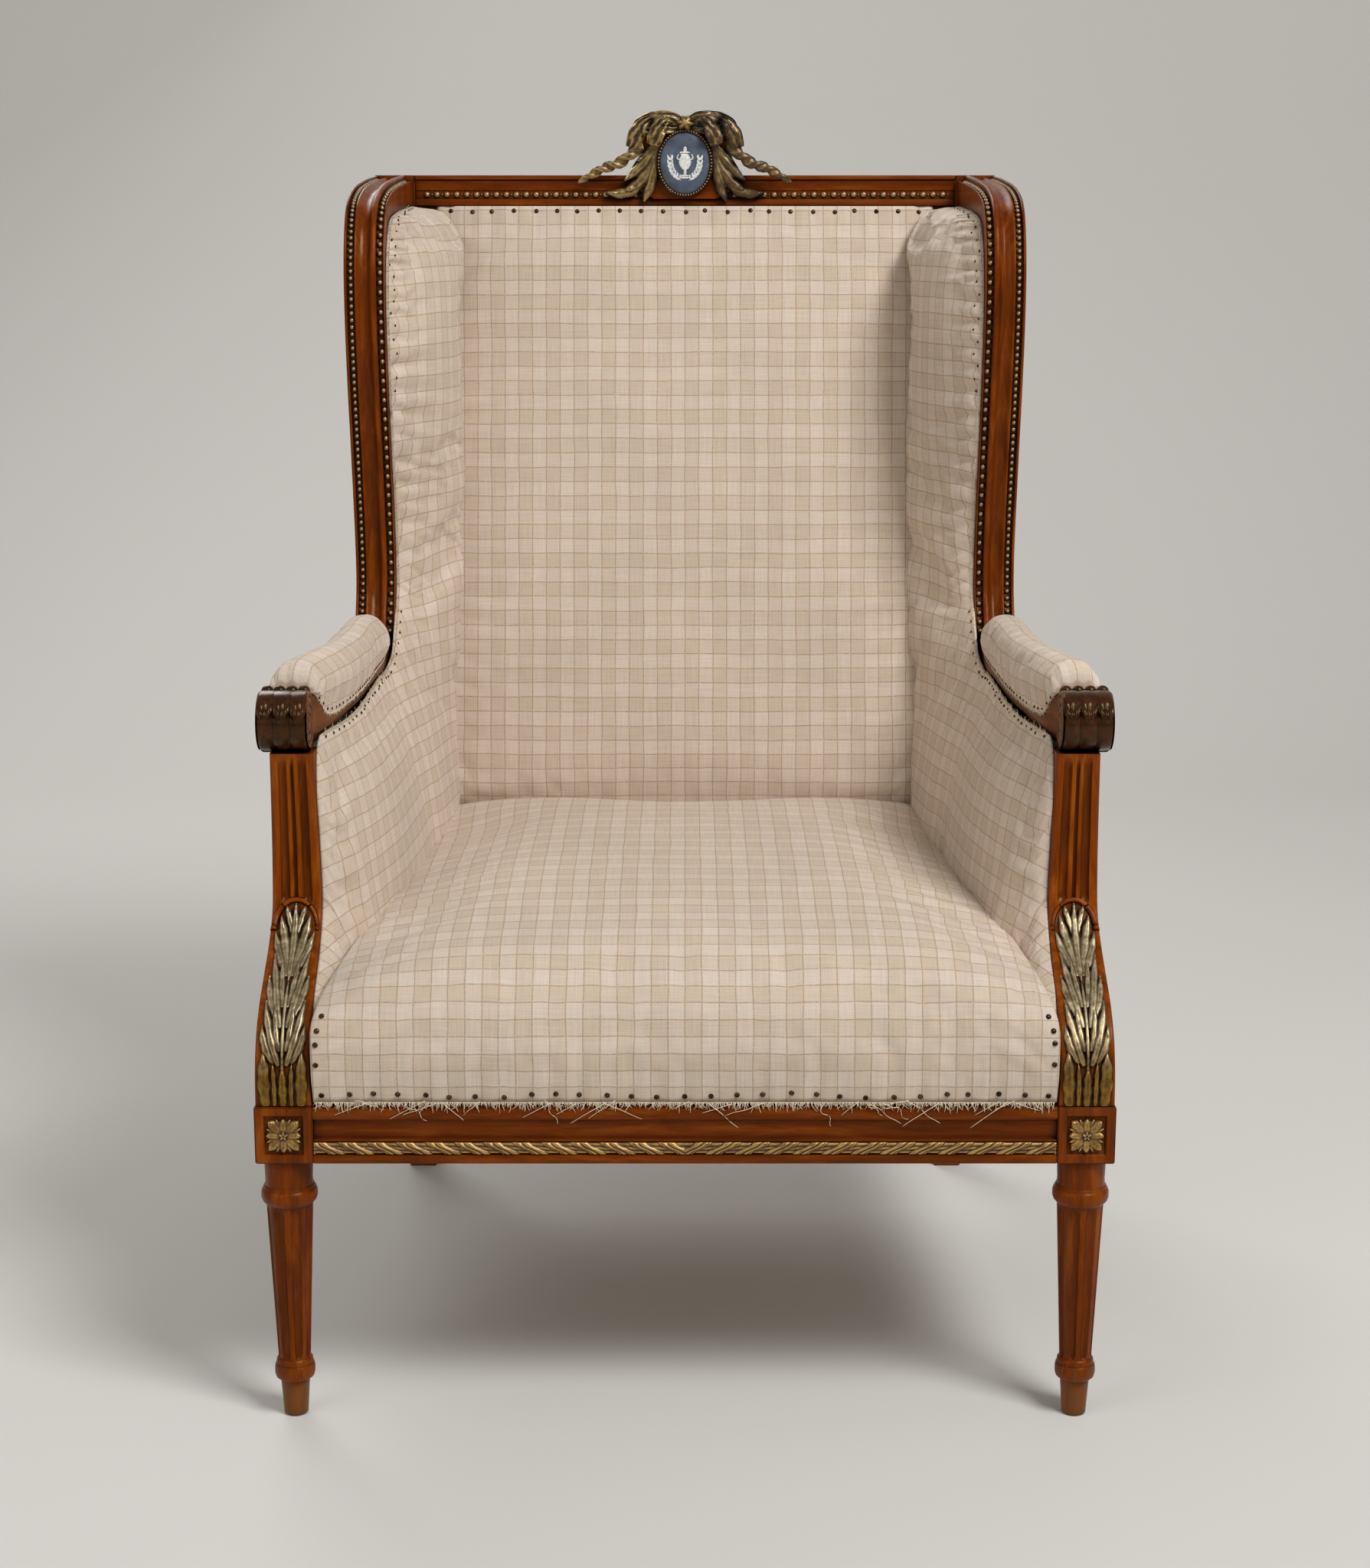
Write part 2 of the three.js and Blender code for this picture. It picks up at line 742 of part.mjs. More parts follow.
// The post stands on the block and just clears the lip of the side rail behind it.
function postFootCut(side) {
  const xs = [side * (blockInnerX - overrun), side * seatFrontWidth];
  return box(xs, [legBlockSize, legBlockSize * 2], [blockTop - overrun, railTop + fitGap]);
}

function armPost(side) {
  const body = postBody(side, 0).subtract(postFootCut(side));
  return unite([body, raisedLeaf(side), postTenon(side, 0), armTenon(side, 0)]);
}

// The leaf stands on the post's face: a ribbed blade with a lobed edge.
const leafLobes = 4;
function raisedLeaf(side) {
  const steps = leafLobes * 3;
  const rings = [];
  for (let i = 0; i <= steps; i++) {
    const rise = 1 - (1 - i / steps) ** 1.3;
    const share = (rise * leafHeight + leafSetback) / (postHeadZ - blockTop);
    const { front, width, inner, z } = postAt(share);
    const body = Math.sqrt(1 - rise ** 8);
    const lobe = 0.82 + 0.18 * Math.abs(Math.sin(rise * leafLobes * Math.PI));
    const half = Math.max((width / 2 - leafSetback) * body * lobe, leafSetback / 2);
    const middle = inner + width / 2;
    const lift = leafRelief * Math.max(body, 0.4);
    const curve = [
      [-1, -0.5],
      [-1, 0.35],
      [-0.6, 0.75],
      [-0.28, 0.45],
      [0, 1],
      [0.28, 0.45],
      [0.6, 0.75],
      [1, 0.35],
      [1, -0.5],
    ];
    const xAt = (across) => side * (middle + half * across);
    rings.push(curve.map(([across, out]) => point(xAt(across), front - lift * out * 0.9, z)));
  }
  return loft(rings);
}

// Arm: a rail that swings out to a scrolled, reeded end

const armOutlineShares = [
  [-0.5, -0.75],
  [-0.5, -0.2],
  [-0.44, 0],
  [0.44, 0],
  [0.5, -0.2],
  [0.5, -0.6],
  [0.42, -0.85],
  [0.3, -1],
  [-0.36, -1],
  [-0.46, -0.85],
];

// The arm grows deeper towards the scroll.
function armRail(side, gap = 0) {
  const rear = stileFrontY(armTop - armThickness) - fitGap;
  const stations = [0, 0.05, 0.1, 0.16, 0.24, 0.34, 0.5, 0.7, 0.9, 1];
  return loft(
    stations.map((share) => {
      const y = lerp(scrollY, rear, share);
      const width = armWidthAt(y) + 2 * gap;
      const deep = armThickness * lerp(1.4, 1, smoothstep(share, 0.03, 0.24)) + 2 * gap;
      return armOutlineShares.map(([across, rise]) =>
        point(side * (armX(y) + width * across), y, armTop + gap + deep * rise),
      );
    }),
  );
}

function armScroll(side, gap = 0) {
  const reach = scrollRadius + gap;
  const profile = [];
  const steps = scrollLobes * 3;
  for (let i = 0; i <= steps; i++) {
    const across = i / steps;
    const lobe = Math.abs(Math.sin(across * scrollLobes * Math.PI));
    const radius = reach - scrollLobeDepth * (1 - Math.sqrt(lobe));
    profile.push(new THREE.Vector2(radius, (across - 0.5) * (scrollWidth + 2 * gap)));
  }
  const ends = (scrollWidth + 2 * gap) / 2;
  const closed = [new THREE.Vector2(0, -ends), ...profile, new THREE.Vector2(0, ends)];
  const geometry = new THREE.LatheGeometry(closed, 18);
  geometry.rotateZ(-Math.PI / 2);
  geometry.translate(side * scrollX, scrollY, scrollZ);
  return toSolid(geometry);
}

function arm(side) {
  const seatCut = box(
    [side * (postHeadX - overrun), side * (scrollX + scrollWidth)],
    [0, scrollY + postFluteDepth * 8 + overrun],
    [0, postHeadZ + fitGap],
  );
  const mortises = [armTenon(side, fitGap), seatCut];
  return unite([cutAll(armRail(side).add(armScroll(side)), mortises), armRearTenon(side, 0)]);
}

// Wing frame: a moulded member that rises from the arm and arches back to the stile

// Share from the front of the wing to the stile, then share of the height above the arm.
const wingLineShares = [
  [-0.02, -0.12],
  [0.1, 0.02],
  [0.185, 0.11],
  [0.18, 0.22],
  [0.11, 0.4],
  [0.03, 0.58],
  [0, 0.73],
  [0.03, 0.84],
  [0.14, 0.925],
  [0.36, 0.968],
  [0.68, 0.99],
  [1, 1],
];

// The wing draws in towards the stile behind the waist.
function wingX(y) {
  return lerp(wingOuterX, stileTopX + stileWidth, smoothstep(y, wingWaistY, stileTopY));
}

// Share across the face from the outer edge, then share of the depth below the highest line.
const wingOutlineShares = [
  [0, 1],
  [0, 0.2],
  [0.04, 0.05],
  [0.1, 0],
  [0.15, 0.12],
  [0.28, 0.14],
  [0.32, 0.04],
  [0.38, 0.06],
  [0.5, 0.2],
  [0.62, 0.18],
  [0.72, 0.02],
  [0.8, 0.04],
  [0.84, 0.26],
  [1, 0.34],
  [1, 1],
];

function wingLine(side) {
  const depth = stileTopY - wingFrontY;
  const rise = stileTop - armTop;
  const places = wingLineShares.map(([back, up]) => {
    const y = wingFrontY + back * depth;
    return point(side * wingX(y), y, armTop + up * rise);
  });
  return new THREE.CatmullRomCurve3(places, false, "centripetal");
}

function wingFrame(side) {
  const line = wingLine(side);
  const steps = 25;
  const rings = [];
  for (let i = 0; i <= steps; i++) {
    const at = line.getPointAt(i / steps);
    const along = line.getTangentAt(i / steps);
    const out = point(0, -along.z, along.y).normalize();
    const last = i === steps;
    if (last) out.set(0, 0, 1);
    rings.push(
      wingOutlineShares.map(([across, deep]) => {
        const p = at.clone().addScaledVector(out, -deep * wingDepth);
        p.x -= side * across * wingWidth;
        if (last) p.y = stileFrontY(p.z) - fitGap;
        return p;
      }),
    );
  }
  const foot = box(
    [side * (wingOuterX - wingWidth - overrun), side * (wingOuterX + overrun)],
    [wingFrontY - wingWidth * 2, wingWaistY + wingWidth * 3],
    [armTop - armThickness * 3, armTop],
  );
  return loft(rings).subtract(foot).add(wingRearTenon(side, 0));
}

// Top rail of the back

// Depth behind the show face as a share of the moulding's depth, then share of the moulded height.
const topRailShares = [
  [0.5, 0],
  [0.5, 0.1],
  [0.35, 0.12],
  [0.35, 0.4],
  [0.8, 0.44],
  [0.7, 0.6],
  [0.3, 0.72],
  [0.35, 0.76],
  [0, 0.8],
  [0, 0.92],
  [0.3, 1],
];

function topRailBody(gap) {
  const mould = backRebateWidth / 2;
  const faceFoot = stileTop - topRailFace;
  const railFoot = stileTop - topRailHeight;
  const section = [
    [topRailThickness, railFoot],
    [backRebate, railFoot],
    [backRebate, faceFoot - overrun],
    [mould, faceFoot - overrun],
    [mould, faceFoot],
    ...topRailShares.map(([deep, rise]) => [deep * mould, faceFoot + rise * topRailFace]),
    [topRailThickness, stileTop],
  ];
  return loft(
    [-1, 1].map((side) =>
      section.map(([deep, z]) => point(side * (stileInnerX(z) - fitGap), stileFrontY(z) + deep - gap, z)),
    ),
  );
}

function topRail() {
  const bottom = stileTop - topRailHeight;
  return unite([topRailBody(0), backRailTenon(1, bottom, 0), backRailTenon(-1, bottom, 0)]);
}

function lowerBackRail() {
  const top = lowerRailBottom + lowerRailHeight;
  const bar = loft(
    [-1, 1].map((side) =>
      [
        [backRebate, lowerRailBottom],
        [backRebate, top],
        [backRebate + lowerRailThickness, top],
        [backRebate + lowerRailThickness, lowerRailBottom],
      ].map(([deep, z]) => point(side * (stileInnerX(z) - fitGap), stileFrontY(z) + deep, z)),
    ),
  );
  return unite([bar, backRailTenon(1, lowerRailBottom, 0), backRailTenon(-1, lowerRailBottom, 0)]);
}


// Crest: ribbon bow, knot, tails and two leaves round an oval plaque, on a shaped ground

const crestMiddleZ = plaqueZ;
const crestFaceY = stileTopY - crestProud;

// A flat band carried along a curve; facing gives the direction its broad side looks in at each share.
function band(curve, steps, widthAt, thicknessAt, facing) {
  const rings = [];
  for (let i = 0; i <= steps; i++) {
    const share = i / steps;
    const at = curve.getPointAt(share);
    const along = curve.getTangentAt(share);
    const face = facing(share);
    const across = along.clone().cross(face).normalize();
    const out = across.clone().cross(along).normalize();
    const wide = widthAt(share) / 2;
    const thin = thicknessAt(share) / 2;
    const section = [
      [-1, 0],
      [-0.5, 1],
      [0.1, 0.5],
      [0.6, 1],
      [1, 0],
      [0, -1],
    ];
    rings.push(
      section.map(([u, v]) =>
        at.clone().addScaledVector(across, u * wide).addScaledVector(out, v * thin),
      ),
    );
  }
  return loft(rings);
}

// A curve in the plane of the crest from shares of its half width and of its height over the plaque.
function crestCurve(side, shares, proud) {
  const rise = crestTop - crestMiddleZ;
  const places = shares.map(([across, up, out = 0]) =>
    point(side * across * crestHalfWidth, crestFaceY - proud * (1 + out), crestMiddleZ + up * rise),
  );
  return new THREE.CatmullRomCurve3(places, false, "centripetal");
}

const bowShares = [
  [0.06, 0.78],
  [0.2, 0.86, 0.6],
  [0.4, 0.84, 0.8],
  [0.5, 0.58, 0.2],
  [0.4, 0.36, 0.4],
  [0.24, 0.5, 0.8],
  [0.1, 0.74, 0.2],
];
const tailShares = [
  [0.4, 0.4],
  [0.52, 0.14, 0.4],
  [0.62, 0.02, 0.2],
  [0.78, -0.08, 0.3],
  [0.9, -0.24, 0.2],
  [0.99, -0.42],
];
const crestLeafShares = [
  [0.27, 0.46],
  [0.33, 0.1, 0.5],
  [0.35, -0.3, 0.8],
  [0.42, -0.62, 0.8],
  [0.56, -0.7, 0.5],
  [0.7, -0.64],
];

function crestCarving() {
  const rise = crestTop - crestMiddleZ;
  const groundShares = [
    [0.3, -0.78],
    [0.56, -0.5],
    [0.56, -0.1],
    [0.44, 0.2],
    [0.46, 0.7],
    [0.36, 0.9],
    [0.14, 0.92],
    [0, 0.86],
  ];
  const half = groundShares.map(([across, up]) => [across * crestHalfWidth, crestMiddleZ + up * rise]);
  const outline = [...half, ...half.slice(0, -1).reverse().map(([x, z]) => [-x, z])];
  const depths = [crestFaceY, stileTopY + crestThickness];
  const ground = loft(depths.map((y) => outline.map(([x, z]) => point(x, y, z))));
  const pieces = [ground];
  [1, -1].forEach((side) => {
    const steady = () => point(side * 0.5, -1, 0.6);
    const turning = (share) => {
      const angle = share * tailTwists * Math.PI;
      return point(side * Math.sin(angle), -Math.cos(angle), Math.sin(angle));
    };
    const swell = (share) => Math.sin(Math.PI * clamp(share, 0.12, 0.88));
    const taper = (share) => lerp(1, 0.35, share);
    pieces.push(
      band(crestCurve(side, bowShares, crestProud), 11, () => ribbonWidth, () => ribbonThickness, steady),
      band(
        crestCurve(side, tailShares, crestProud * 0.6),
        13,
        (share) => ribbonWidth * taper(share),
        () => ribbonThickness * 1.2,
        turning,
      ),
      band(
        crestCurve(side, crestLeafShares, crestProud * 0.25),
        9,
        (share) => ribbonWidth * swell(share),
        (share) => ribbonThickness * 2 * swell(share),
        () => point(0, -1, 0),
      ),
    );
  });
  const knot = new THREE.SphereGeometry(1, 10, 7);
  knot.scale(ribbonWidth * 0.62, ribbonWidth * 0.55, ribbonWidth * 0.5);
  knot.translate(0, crestFaceY - crestProud / 2, crestTop - ribbonWidth * 0.5);
  pieces.push(toSolid(knot));
  const railCut = topRailBody(fitGap).add(
    box([-crestHalfWidth, crestHalfWidth], [stileTopY + backRebateWidth / 2, stileTopY + stileDepth], [
      stileTop - topRailHeight,
      stileTop + fitGap,
    ]),
  );
  const plaqueBed = ellipseDisc(bezelWidth / 2 + fitGap, bezelHeight / 2 + fitGap, [
    [1, crestFaceY - fitGap],
    [1, crestFaceY - crestProud * 5],
  ]);
  return cutAll(unite(pieces), [railCut, plaqueBed]);
}

// A solid through ellipses: each row is a share of the two half sizes and a depth.
const ellipseSides = 24;
function ellipseRing(halfX, halfZ, y) {
  return Array.from({ length: ellipseSides }, (unused, i) => {
    const angle = (i / ellipseSides) * 2 * Math.PI;
    return point(halfX * Math.cos(angle), y, plaqueZ + halfZ * Math.sin(angle));
  });
}

const ellipseDisc = (halfX, halfZ, rows) =>
  loft(rows.map(([share, y]) => ellipseRing(halfX * share, halfZ * share, y)));

const bezelBackY = crestFaceY - 2 * fitGap;

function plaqueBezel() {
  const front = bezelBackY - bezelThickness;
  const rim = (inward, y) =>
    ellipseRing(bezelWidth / 2 - bezelRim * inward, bezelHeight / 2 - bezelRim * inward, y);
  const section = [rim(0, bezelBackY), rim(0, front + bezelRim / 2), rim(0.25, front), rim(0.75, front)];
  const outer = loft(section);
  const hole = loft([rim(1, bezelBackY + overrun), rim(1, front - overrun)]);
  return outer.subtract(hole);
}

function plaque() {
  const halfX = bezelWidth / 2 - bezelRim - fitGap;
  const halfZ = bezelHeight / 2 - bezelRim - fitGap;
  const front = bezelBackY - plaqueThickness;
  return ellipseDisc(halfX, halfZ, [
    [1, bezelBackY],
    [1, front],
    [0.5, front - plaqueDome],
  ]);
}

// Grids: a closed solid between a front and a back surface given by two shares

function gridSolid(columns, rows, front, back) {
  const rings = [];
  for (let c = 0; c <= columns; c++) {
    const u = c / columns;
    const ring = [];
    for (let r = 0; r <= rows; r++) ring.push(front(u, r / rows));
    for (let r = rows; r >= 0; r--) ring.push(back(u, r / rows));
    rings.push(ring);
  }
  return loft(rings);
}

// Seat support: webbing under the rails, springs on it and hessian over them

const springX = (column) => (column - (springColumns - 1) / 2) * springPitchX;
const springY = (row) => springFirstY + row * springPitchY;

// One strip under each row and each column of springs, the rows lying on the columns.
function seatWebbing() {
  const strips = [];
  const top = frameBottom - fitGap;
  const low = top - sheetThickness * 0.8;
  const ys = [railSetback + railThickness / 3, stileSeatY + railThickness / 2];
  for (let column = 0; column < springColumns; column++) {
    const x = springX(column);
    strips.push(box([x - webWidth / 2, x + webWidth / 2], ys, [low - sheetThickness, low]));
  }
  for (let row = 0; row < springRows; row++) {
    const y = springY(row);
    const reach = sideRailX(y + webWidth / 2) - railThickness / 3;
    strips.push(box([-reach, reach], [y - webWidth / 2, y + webWidth / 2], [top - sheetThickness, top]));
  }
  return unite(strips);
}

// Height of the hessian's underside over a place in the seat.
function hessianZ(x, y) {
  const u = clamp(x / (sideRailX(y) - railThickness), -1, 1);
  const v = clamp(lerp(-1, 1, (y - railThickness) / (stileSeatY - railThickness)), -1, 1);
  return railTop + fitGap + hessianRise * (1 - u ** 4) * (1 - v ** 4);
}

// The hessian as a sheet between two lifts over its underside.
function hessianSheet(from, to) {
  const place = (u, v, lift) => {
    const y = lerp(lipFaceY + railThickness / 4, stileSeatY + railThickness / 4, v);
    const x = lerp(-1, 1, u) * (sideRailX(y) - railThickness / 2);
    return point(x, y, hessianZ(x, y) + lift);
  };
  return gridSolid(10, 8, (u, v) => place(u, v, to), (u, v) => place(u, v, from));
}

// It is nailed on the rails, and cut out round the arm posts and the stiles.
function seatHessian() {
  const far = seatFrontWidth;
  const zs = [frameBottom, seatHeight];
  const cuts = [-1, 1].flatMap((side) => [
    box([side * (blockInnerX - fitGap), side * far], [-overrun, legBlockSize + tackLipSetback], zs),
    box([side * (stileSeatX - fitGap), side * far], [stileSeatY - fitGap, stileSeatY + stileDepth], zs),
  ]);
  return cutAll(hessianSheet(0, sheetThickness), cuts);
}

// A waisted coil spring of round wire between the webbing and the hessian.
function seatSpring(x, y) {
  const radius = springWire / 2;
  const bottom = frameBottom + radius;
  const under = Math.min(hessianZ(x + springEndRadius, y), hessianZ(x, y - springEndRadius));
  const top = under - radius - hessianSag;
  const steps = springTurns * springSteps;
  const rings = [];
  for (let i = 0; i <= steps; i++) {
    const share = i / steps;
    const angle = (i / springSteps) * 2 * Math.PI;
    const waist = (2 * share - 1) ** 2;
    const coil = lerp(springWaistRadius, springEndRadius, waist);
    const z = lerp(bottom, top, share);
    const ring = [];
    for (let k = 0; k < springSides; k++) {
      const turn = (k / springSides) * 2 * Math.PI;
      const out = coil + radius * Math.cos(turn);
      ring.push(point(x + out * Math.cos(angle), y + out * Math.sin(angle), z + radius * Math.sin(turn)));
    }
    rings.push(ring);
  }
  return loft(rings);
}

// Least distance between the wires of neighbouring turns of a spring, measured on points.
function springGap(x, y) {
  const made = seatSpring(x, y).getMesh();
  const count = springTurns * springSteps + 1;
  const middles = [];
  for (let i = 0; i < count; i++) {
    const middle = point(0, 0, 0);
    for (let k = 0; k < springSides; k++) {
      const first = (i * springSides + k) * 3;
      middle.add(point(...made.vertProperties.slice(first, first + 3)));
    }
    middles.push(middle.divideScalar(springSides));
  }
  let least = Infinity;
  middles.forEach((a, i) => {
    middles.slice(i + Math.ceil(springSteps / 2)).forEach((b) => {
      least = Math.min(least, a.distanceTo(b));
    });
  });
  return least - springWire;
}

// Seat: a sprung and stuffed cushion with a rolled front border

// Depth as a share of the seat's depth, then half width as a share of the space between the posts.
const seatPlanShares = [
  [0, 1],
  [0.07, 0.972],
  [0.17, 0.942],
  [0.34, 0.896],
  [0.7, 0.83],
  [0.85, 0.8],
  [1, 0.775],
];

const seatDepth = stileSeatY - fitGap;
const seatRise = seatHeight - railTop;
const seatHalfAt = (y) =>
  (blockInnerX - fitGap) * readTable(seatPlanShares, clamp(y / seatDepth, 0, 1))[0];

// Front border and crown: share of the seat's depth, share of its rise, and share of the nose's overhang.
const seatBorderShares = [
  [0.0055, -0.088, 0],
  [0.003, 0.03, 0.4],
  [0.0015, 0.16, 1],
  [0, 0.36, 1],
  [0.003, 0.5, 0.6],
  [0.018, 0.615, 0],
  [0.066, 0.755, 0],
  [0.18, 0.868, 0],
  [0.32, 0.955, 0],
  [0.53, 1, 0],
  [0.72, 0.995, 0],
  [0.85, 0.945, 0],
  [0.93, 0.84, 0],
  [0.985, 0.66, 0],
  [1, 0.4, 0],
];

function seatCushion(gap = 0) {
  const columns = 14;
  const lipY = lipFaceY - fitGap + gap;
  const base = railTop + fitGap;
  const rings = [];
  for (let c = 0; c <= columns; c++) {
    const u = Math.sin((lerp(-1, 1, c / columns) * Math.PI) / 2);
    const edge = Math.abs(u) ** 5;
    const xAt = (y) => u * (seatHalfAt(y) + gap);
    const ring = seatBorderShares.map(([deep, rise, nose]) => {
      const y = deep * seatDepth - nose * noseOverhang;
      const drop = seatSideDrop * edge * clamp(rise, 0, 1);
      const forward = y < lipFaceY ? gap : 0;
      return point(xAt(Math.max(y, 0)), y - forward, railTop + rise * seatRise - drop + gap);
    });
    ring.push(point(xAt(seatDepth), seatDepth, base));
    ring.push(point(xAt(0), lipY, base), point(xAt(0), lipY, ring[0].z));
    rings.push(ring);
  }
  return loft(rings).subtract(hessianSheet(-hessianRise, sheetThickness + fitGap - gap));
}

// Back: webbing in the rebates and a padded panel over it

const webFrontY = (z) => stileFrontY(z) + backRebate - fitGap;

function backWebbing() {
  const strips = [];
  const strip = (xs, zs, deep) =>
    loft(
      xs.map((x) =>
        [
          [zs[0], 0],
          [zs[1], 0],
          [zs[1], sheetThickness],
          [zs[0], sheetThickness],
        ].map(([z, thick]) => point(x, webFrontY(z) - deep - thick, z)),
      ),
    );
  const lowZ = lowerRailBottom + lowerRailHeight * 0.4;
  const highZ = stileTop - topRailFace - 2 * overrun;
  for (let i = 0; i < webCount; i++) {
    const share = i / (webCount - 1);
    const z = lerp(lowZ + lowerRailHeight + webWidth, highZ - webWidth * 2, share);
    const reach = stileInnerX(z) + backRebateWidth / 2;
    strips.push(strip([-reach, reach], [z, z + webWidth], 0));
  }
  for (let i = 0; i < webCount - 1; i++) {
    const x = lerp(-1, 1, i / (webCount - 2)) * (backPadHalf - webWidth * 1.5);
    strips.push(strip([x - webWidth / 2, x + webWidth / 2], [lowZ, highZ], sheetThickness * 0.8));
  }
  return unite(strips);
}

const padFoot = lowerRailBottom + lowerRailHeight * 1.6;
const padHead = stileTop - topRailFace - fitGap;

// Front of the back pad on its middle line.
function padFrontY(z) {
  const slope = (stileTopY - lumbarFront) / (padHead + topRailFace - lumbarZ);
  return lumbarFront + slope * (z - lumbarZ);
}

function backPad() {
  const backY = (z) => webFrontY(z) - 2 * sheetThickness - fitGap;
  const front = (u, v) => {
    const x = lerp(-1, 1, u);
    const z = lerp(padFoot, padHead, v);
    const tuck = backPadTuck * Math.abs(x) ** 5 * 0.5 + backPadTuck * (1 - smoothstep(v, 0, 0.06));
    const crown = backPadCrown * (1 - x * x) * Math.sin(Math.PI * v) * 0.5;
    return point(x * backPadHalf, Math.min(padFrontY(z) + tuck - crown, backY(z) - fitGap), z);
  };
  const back = (u, v) => {
    const z = lerp(padFoot, padHead, v);
    return point(lerp(-1, 1, u) * backPadHalf, backY(z), z);
  };
  return gridSolid(10, 10, front, back);
}

// Side pads: one cover each from the arm post along the arm and up the wing to the top rail

// Depth and height of the tacked edge, then of the edge that dives behind the seat and the back pad.
function sidePadEdges() {
  const wing = (back, up) => [lerp(wingFrontY, stileTopY, back), lerp(armTop, stileTop, up)];
  const post = (share, deep) => [postAt(share).front + deep, postAt(share).z];
  const underArm = (share) => [
    lerp(scrollY, wingFrontY, share),
    armTop - armThickness * lerp(1.36, 0.75, share ** 0.7),
  ];
  const deepY = (share) => share * seatDepth;
  const low = railTop + tackLipHeight * 2.6;
  const onStile = (z) => [stileFrontY(z) - 2 * fitGap, z];
  const inset = wingDepth / 6;
  const seatZ = (share) => railTop + share * seatRise;
  return [
    [post(0.2, inset), [deepY(0.06), low]],
    [post(0.3, inset), [deepY(0.11), low]],
    [post(0.4, inset), [deepY(0.17), low]],
    [post(0.52, inset), [deepY(0.23), low]],
    [post(0.7, inset), [deepY(0.3), low]],
    [post(0.88, inset), [deepY(0.37), low]],
    [underArm(0.05), [deepY(0.46), low]],
    [underArm(0.3), [deepY(0.58), low]],
    [underArm(0.58), [deepY(0.7), low]],
    [underArm(0.8), [deepY(0.82), low]],
    [underArm(0.93), [deepY(0.92), seatZ(0.5)]],
    [wing(0.12, 0.03), onStile(lerp(railTop, armTop, 0.45))],
    [wing(0.22, 0.08), onStile(lerp(railTop, armTop, 0.68))],
    [wing(0.24, 0.15), onStile(lerp(railTop, armTop, 0.9))],
    [wing(0.22, 0.26), onStile(lerp(armTop, stileTop, 0.12))],
    [wing(0.16, 0.39), onStile(lerp(armTop, stileTop, 0.28))],
    [wing(0.1, 0.52), onStile(lerp(armTop, stileTop, 0.43))],
    [wing(0.06, 0.65), onStile(lerp(armTop, stileTop, 0.57))],
    [wing(0.07, 0.76), onStile(lerp(armTop, stileTop, 0.69))],
    [wing(0.13, 0.84), onStile(lerp(armTop, stileTop, 0.78))],
    [wing(0.26, 0.895), onStile(lerp(armTop, stileTop, 0.85))],
    [wing(0.46, 0.915), onStile(lerp(armTop, stileTop, 0.89))],
    [wing(0.7, 0.92), onStile(lerp(armTop, stileTop, 0.905))],
    [wing(0.9, 0.925), onStile(lerp(armTop, stileTop, 0.915))],
  ];
}

// Outer side of a side pad, against the post, the arm and the wing.
function padOuterX(y, z) {
  const armInner = armX(y) - armWidthAt(y) / 2;
  const wingInner = Math.min(armInner, wingX(y) - wingWidth);
  const frame = lerp(armInner, wingInner, smoothstep(y, wingFrontY - wingDepth, wingFrontY));
  return Math.min(postAt(postShareAt(z)).inner, frame) - fitGap;
}

function sidePad(side, gap = 0) {
  const edges = sidePadEdges();
  const depthShares = [0, 0.03, 0.1, 0.2, 0.34, 0.5, 0.66, 0.8, 0.9, 0.97, 1];
  const rings = edges.map(([tacked, deep], i) => {
    const share = i / (edges.length - 1);
    const onWing = smoothstep(share, 0.36, 0.56);
    const fade = smoothstep(share, -0.02, 0.1) * (1 - smoothstep(share, 0.92, 1.04));
    const swell = sidePadSwell * lerp(0.42, 1, onWing) * lerp(0.35, 1, fade);
    const endX = lerp(seatHalfAt(deep[0]) + fitGap, backPadHalf - fitGap, smoothstep(share, 0.4, 0.48));
    const thickness = Math.max(padOuterX(...deep) - endX, fitGap * 8);
    const placeAt = (q, rise) => {
      const y = lerp(tacked[0], deep[0], q);
      const z = lerp(tacked[1], deep[1], q);
      return point(side * (padOuterX(y, z) - rise), y, z);
    };
    const inner = depthShares.map((q) => {
      const bulge = swell * Math.sin(Math.PI * q ** 0.8) ** 0.8;
      return placeAt(q, thickness * q ** 1.3 + bulge + fitGap * 6 + gap);
    });
    return [...inner, ...[1, 0.66, 0.33, 0].map((q) => placeAt(q, 0))];
  });
  return loft(rings);
}

// Arm pads: stuffed over the arm, with the cover drawn down its sides

function armPad(side) {
  const sectionShares = [
    [-0.46, -1],
    [-0.5, 0.15],
    [-0.46, 0.5],
    [-0.3, 0.86],
    [0, 1],
    [0.3, 0.86],
    [0.46, 0.5],
    [0.5, 0.15],
    [0.46, -1],
  ];
  const endShares = [
    [0, 0.84, 0.5, 0.1],
    [0.025, 0.9, 0.88, 0.3],
    [0.08, 0.96, 1, 1],
    [0.35, 1, 1, 1],
    [0.65, 0.99, 1, 1],
    [0.9, 0.94, 0.98, 1],
    [0.97, 0.86, 0.82, 0.5],
    [1, 0.66, 0.4, 0.1],
  ];
  const body = loft(
    endShares.map(([share, wide, high, low]) => {
      const y = lerp(armPadStart, armPadEnd, share);
      const skirt = armThickness * lerp(0.72, 0.34, share) * low + fitGap;
      return sectionShares.map(([across, rise]) => {
        const z = armTop + rise * (rise < 0 ? skirt : armPadHeight * high);
        return point(side * (armX(y) + armPadWidth * wide * across), y, z);
      });
    }),
  );
  return cutAll(body, [armRail(side, fitGap), armScroll(side, fitGap)]);
}

// Tack rails under the side pads, and the outer covers

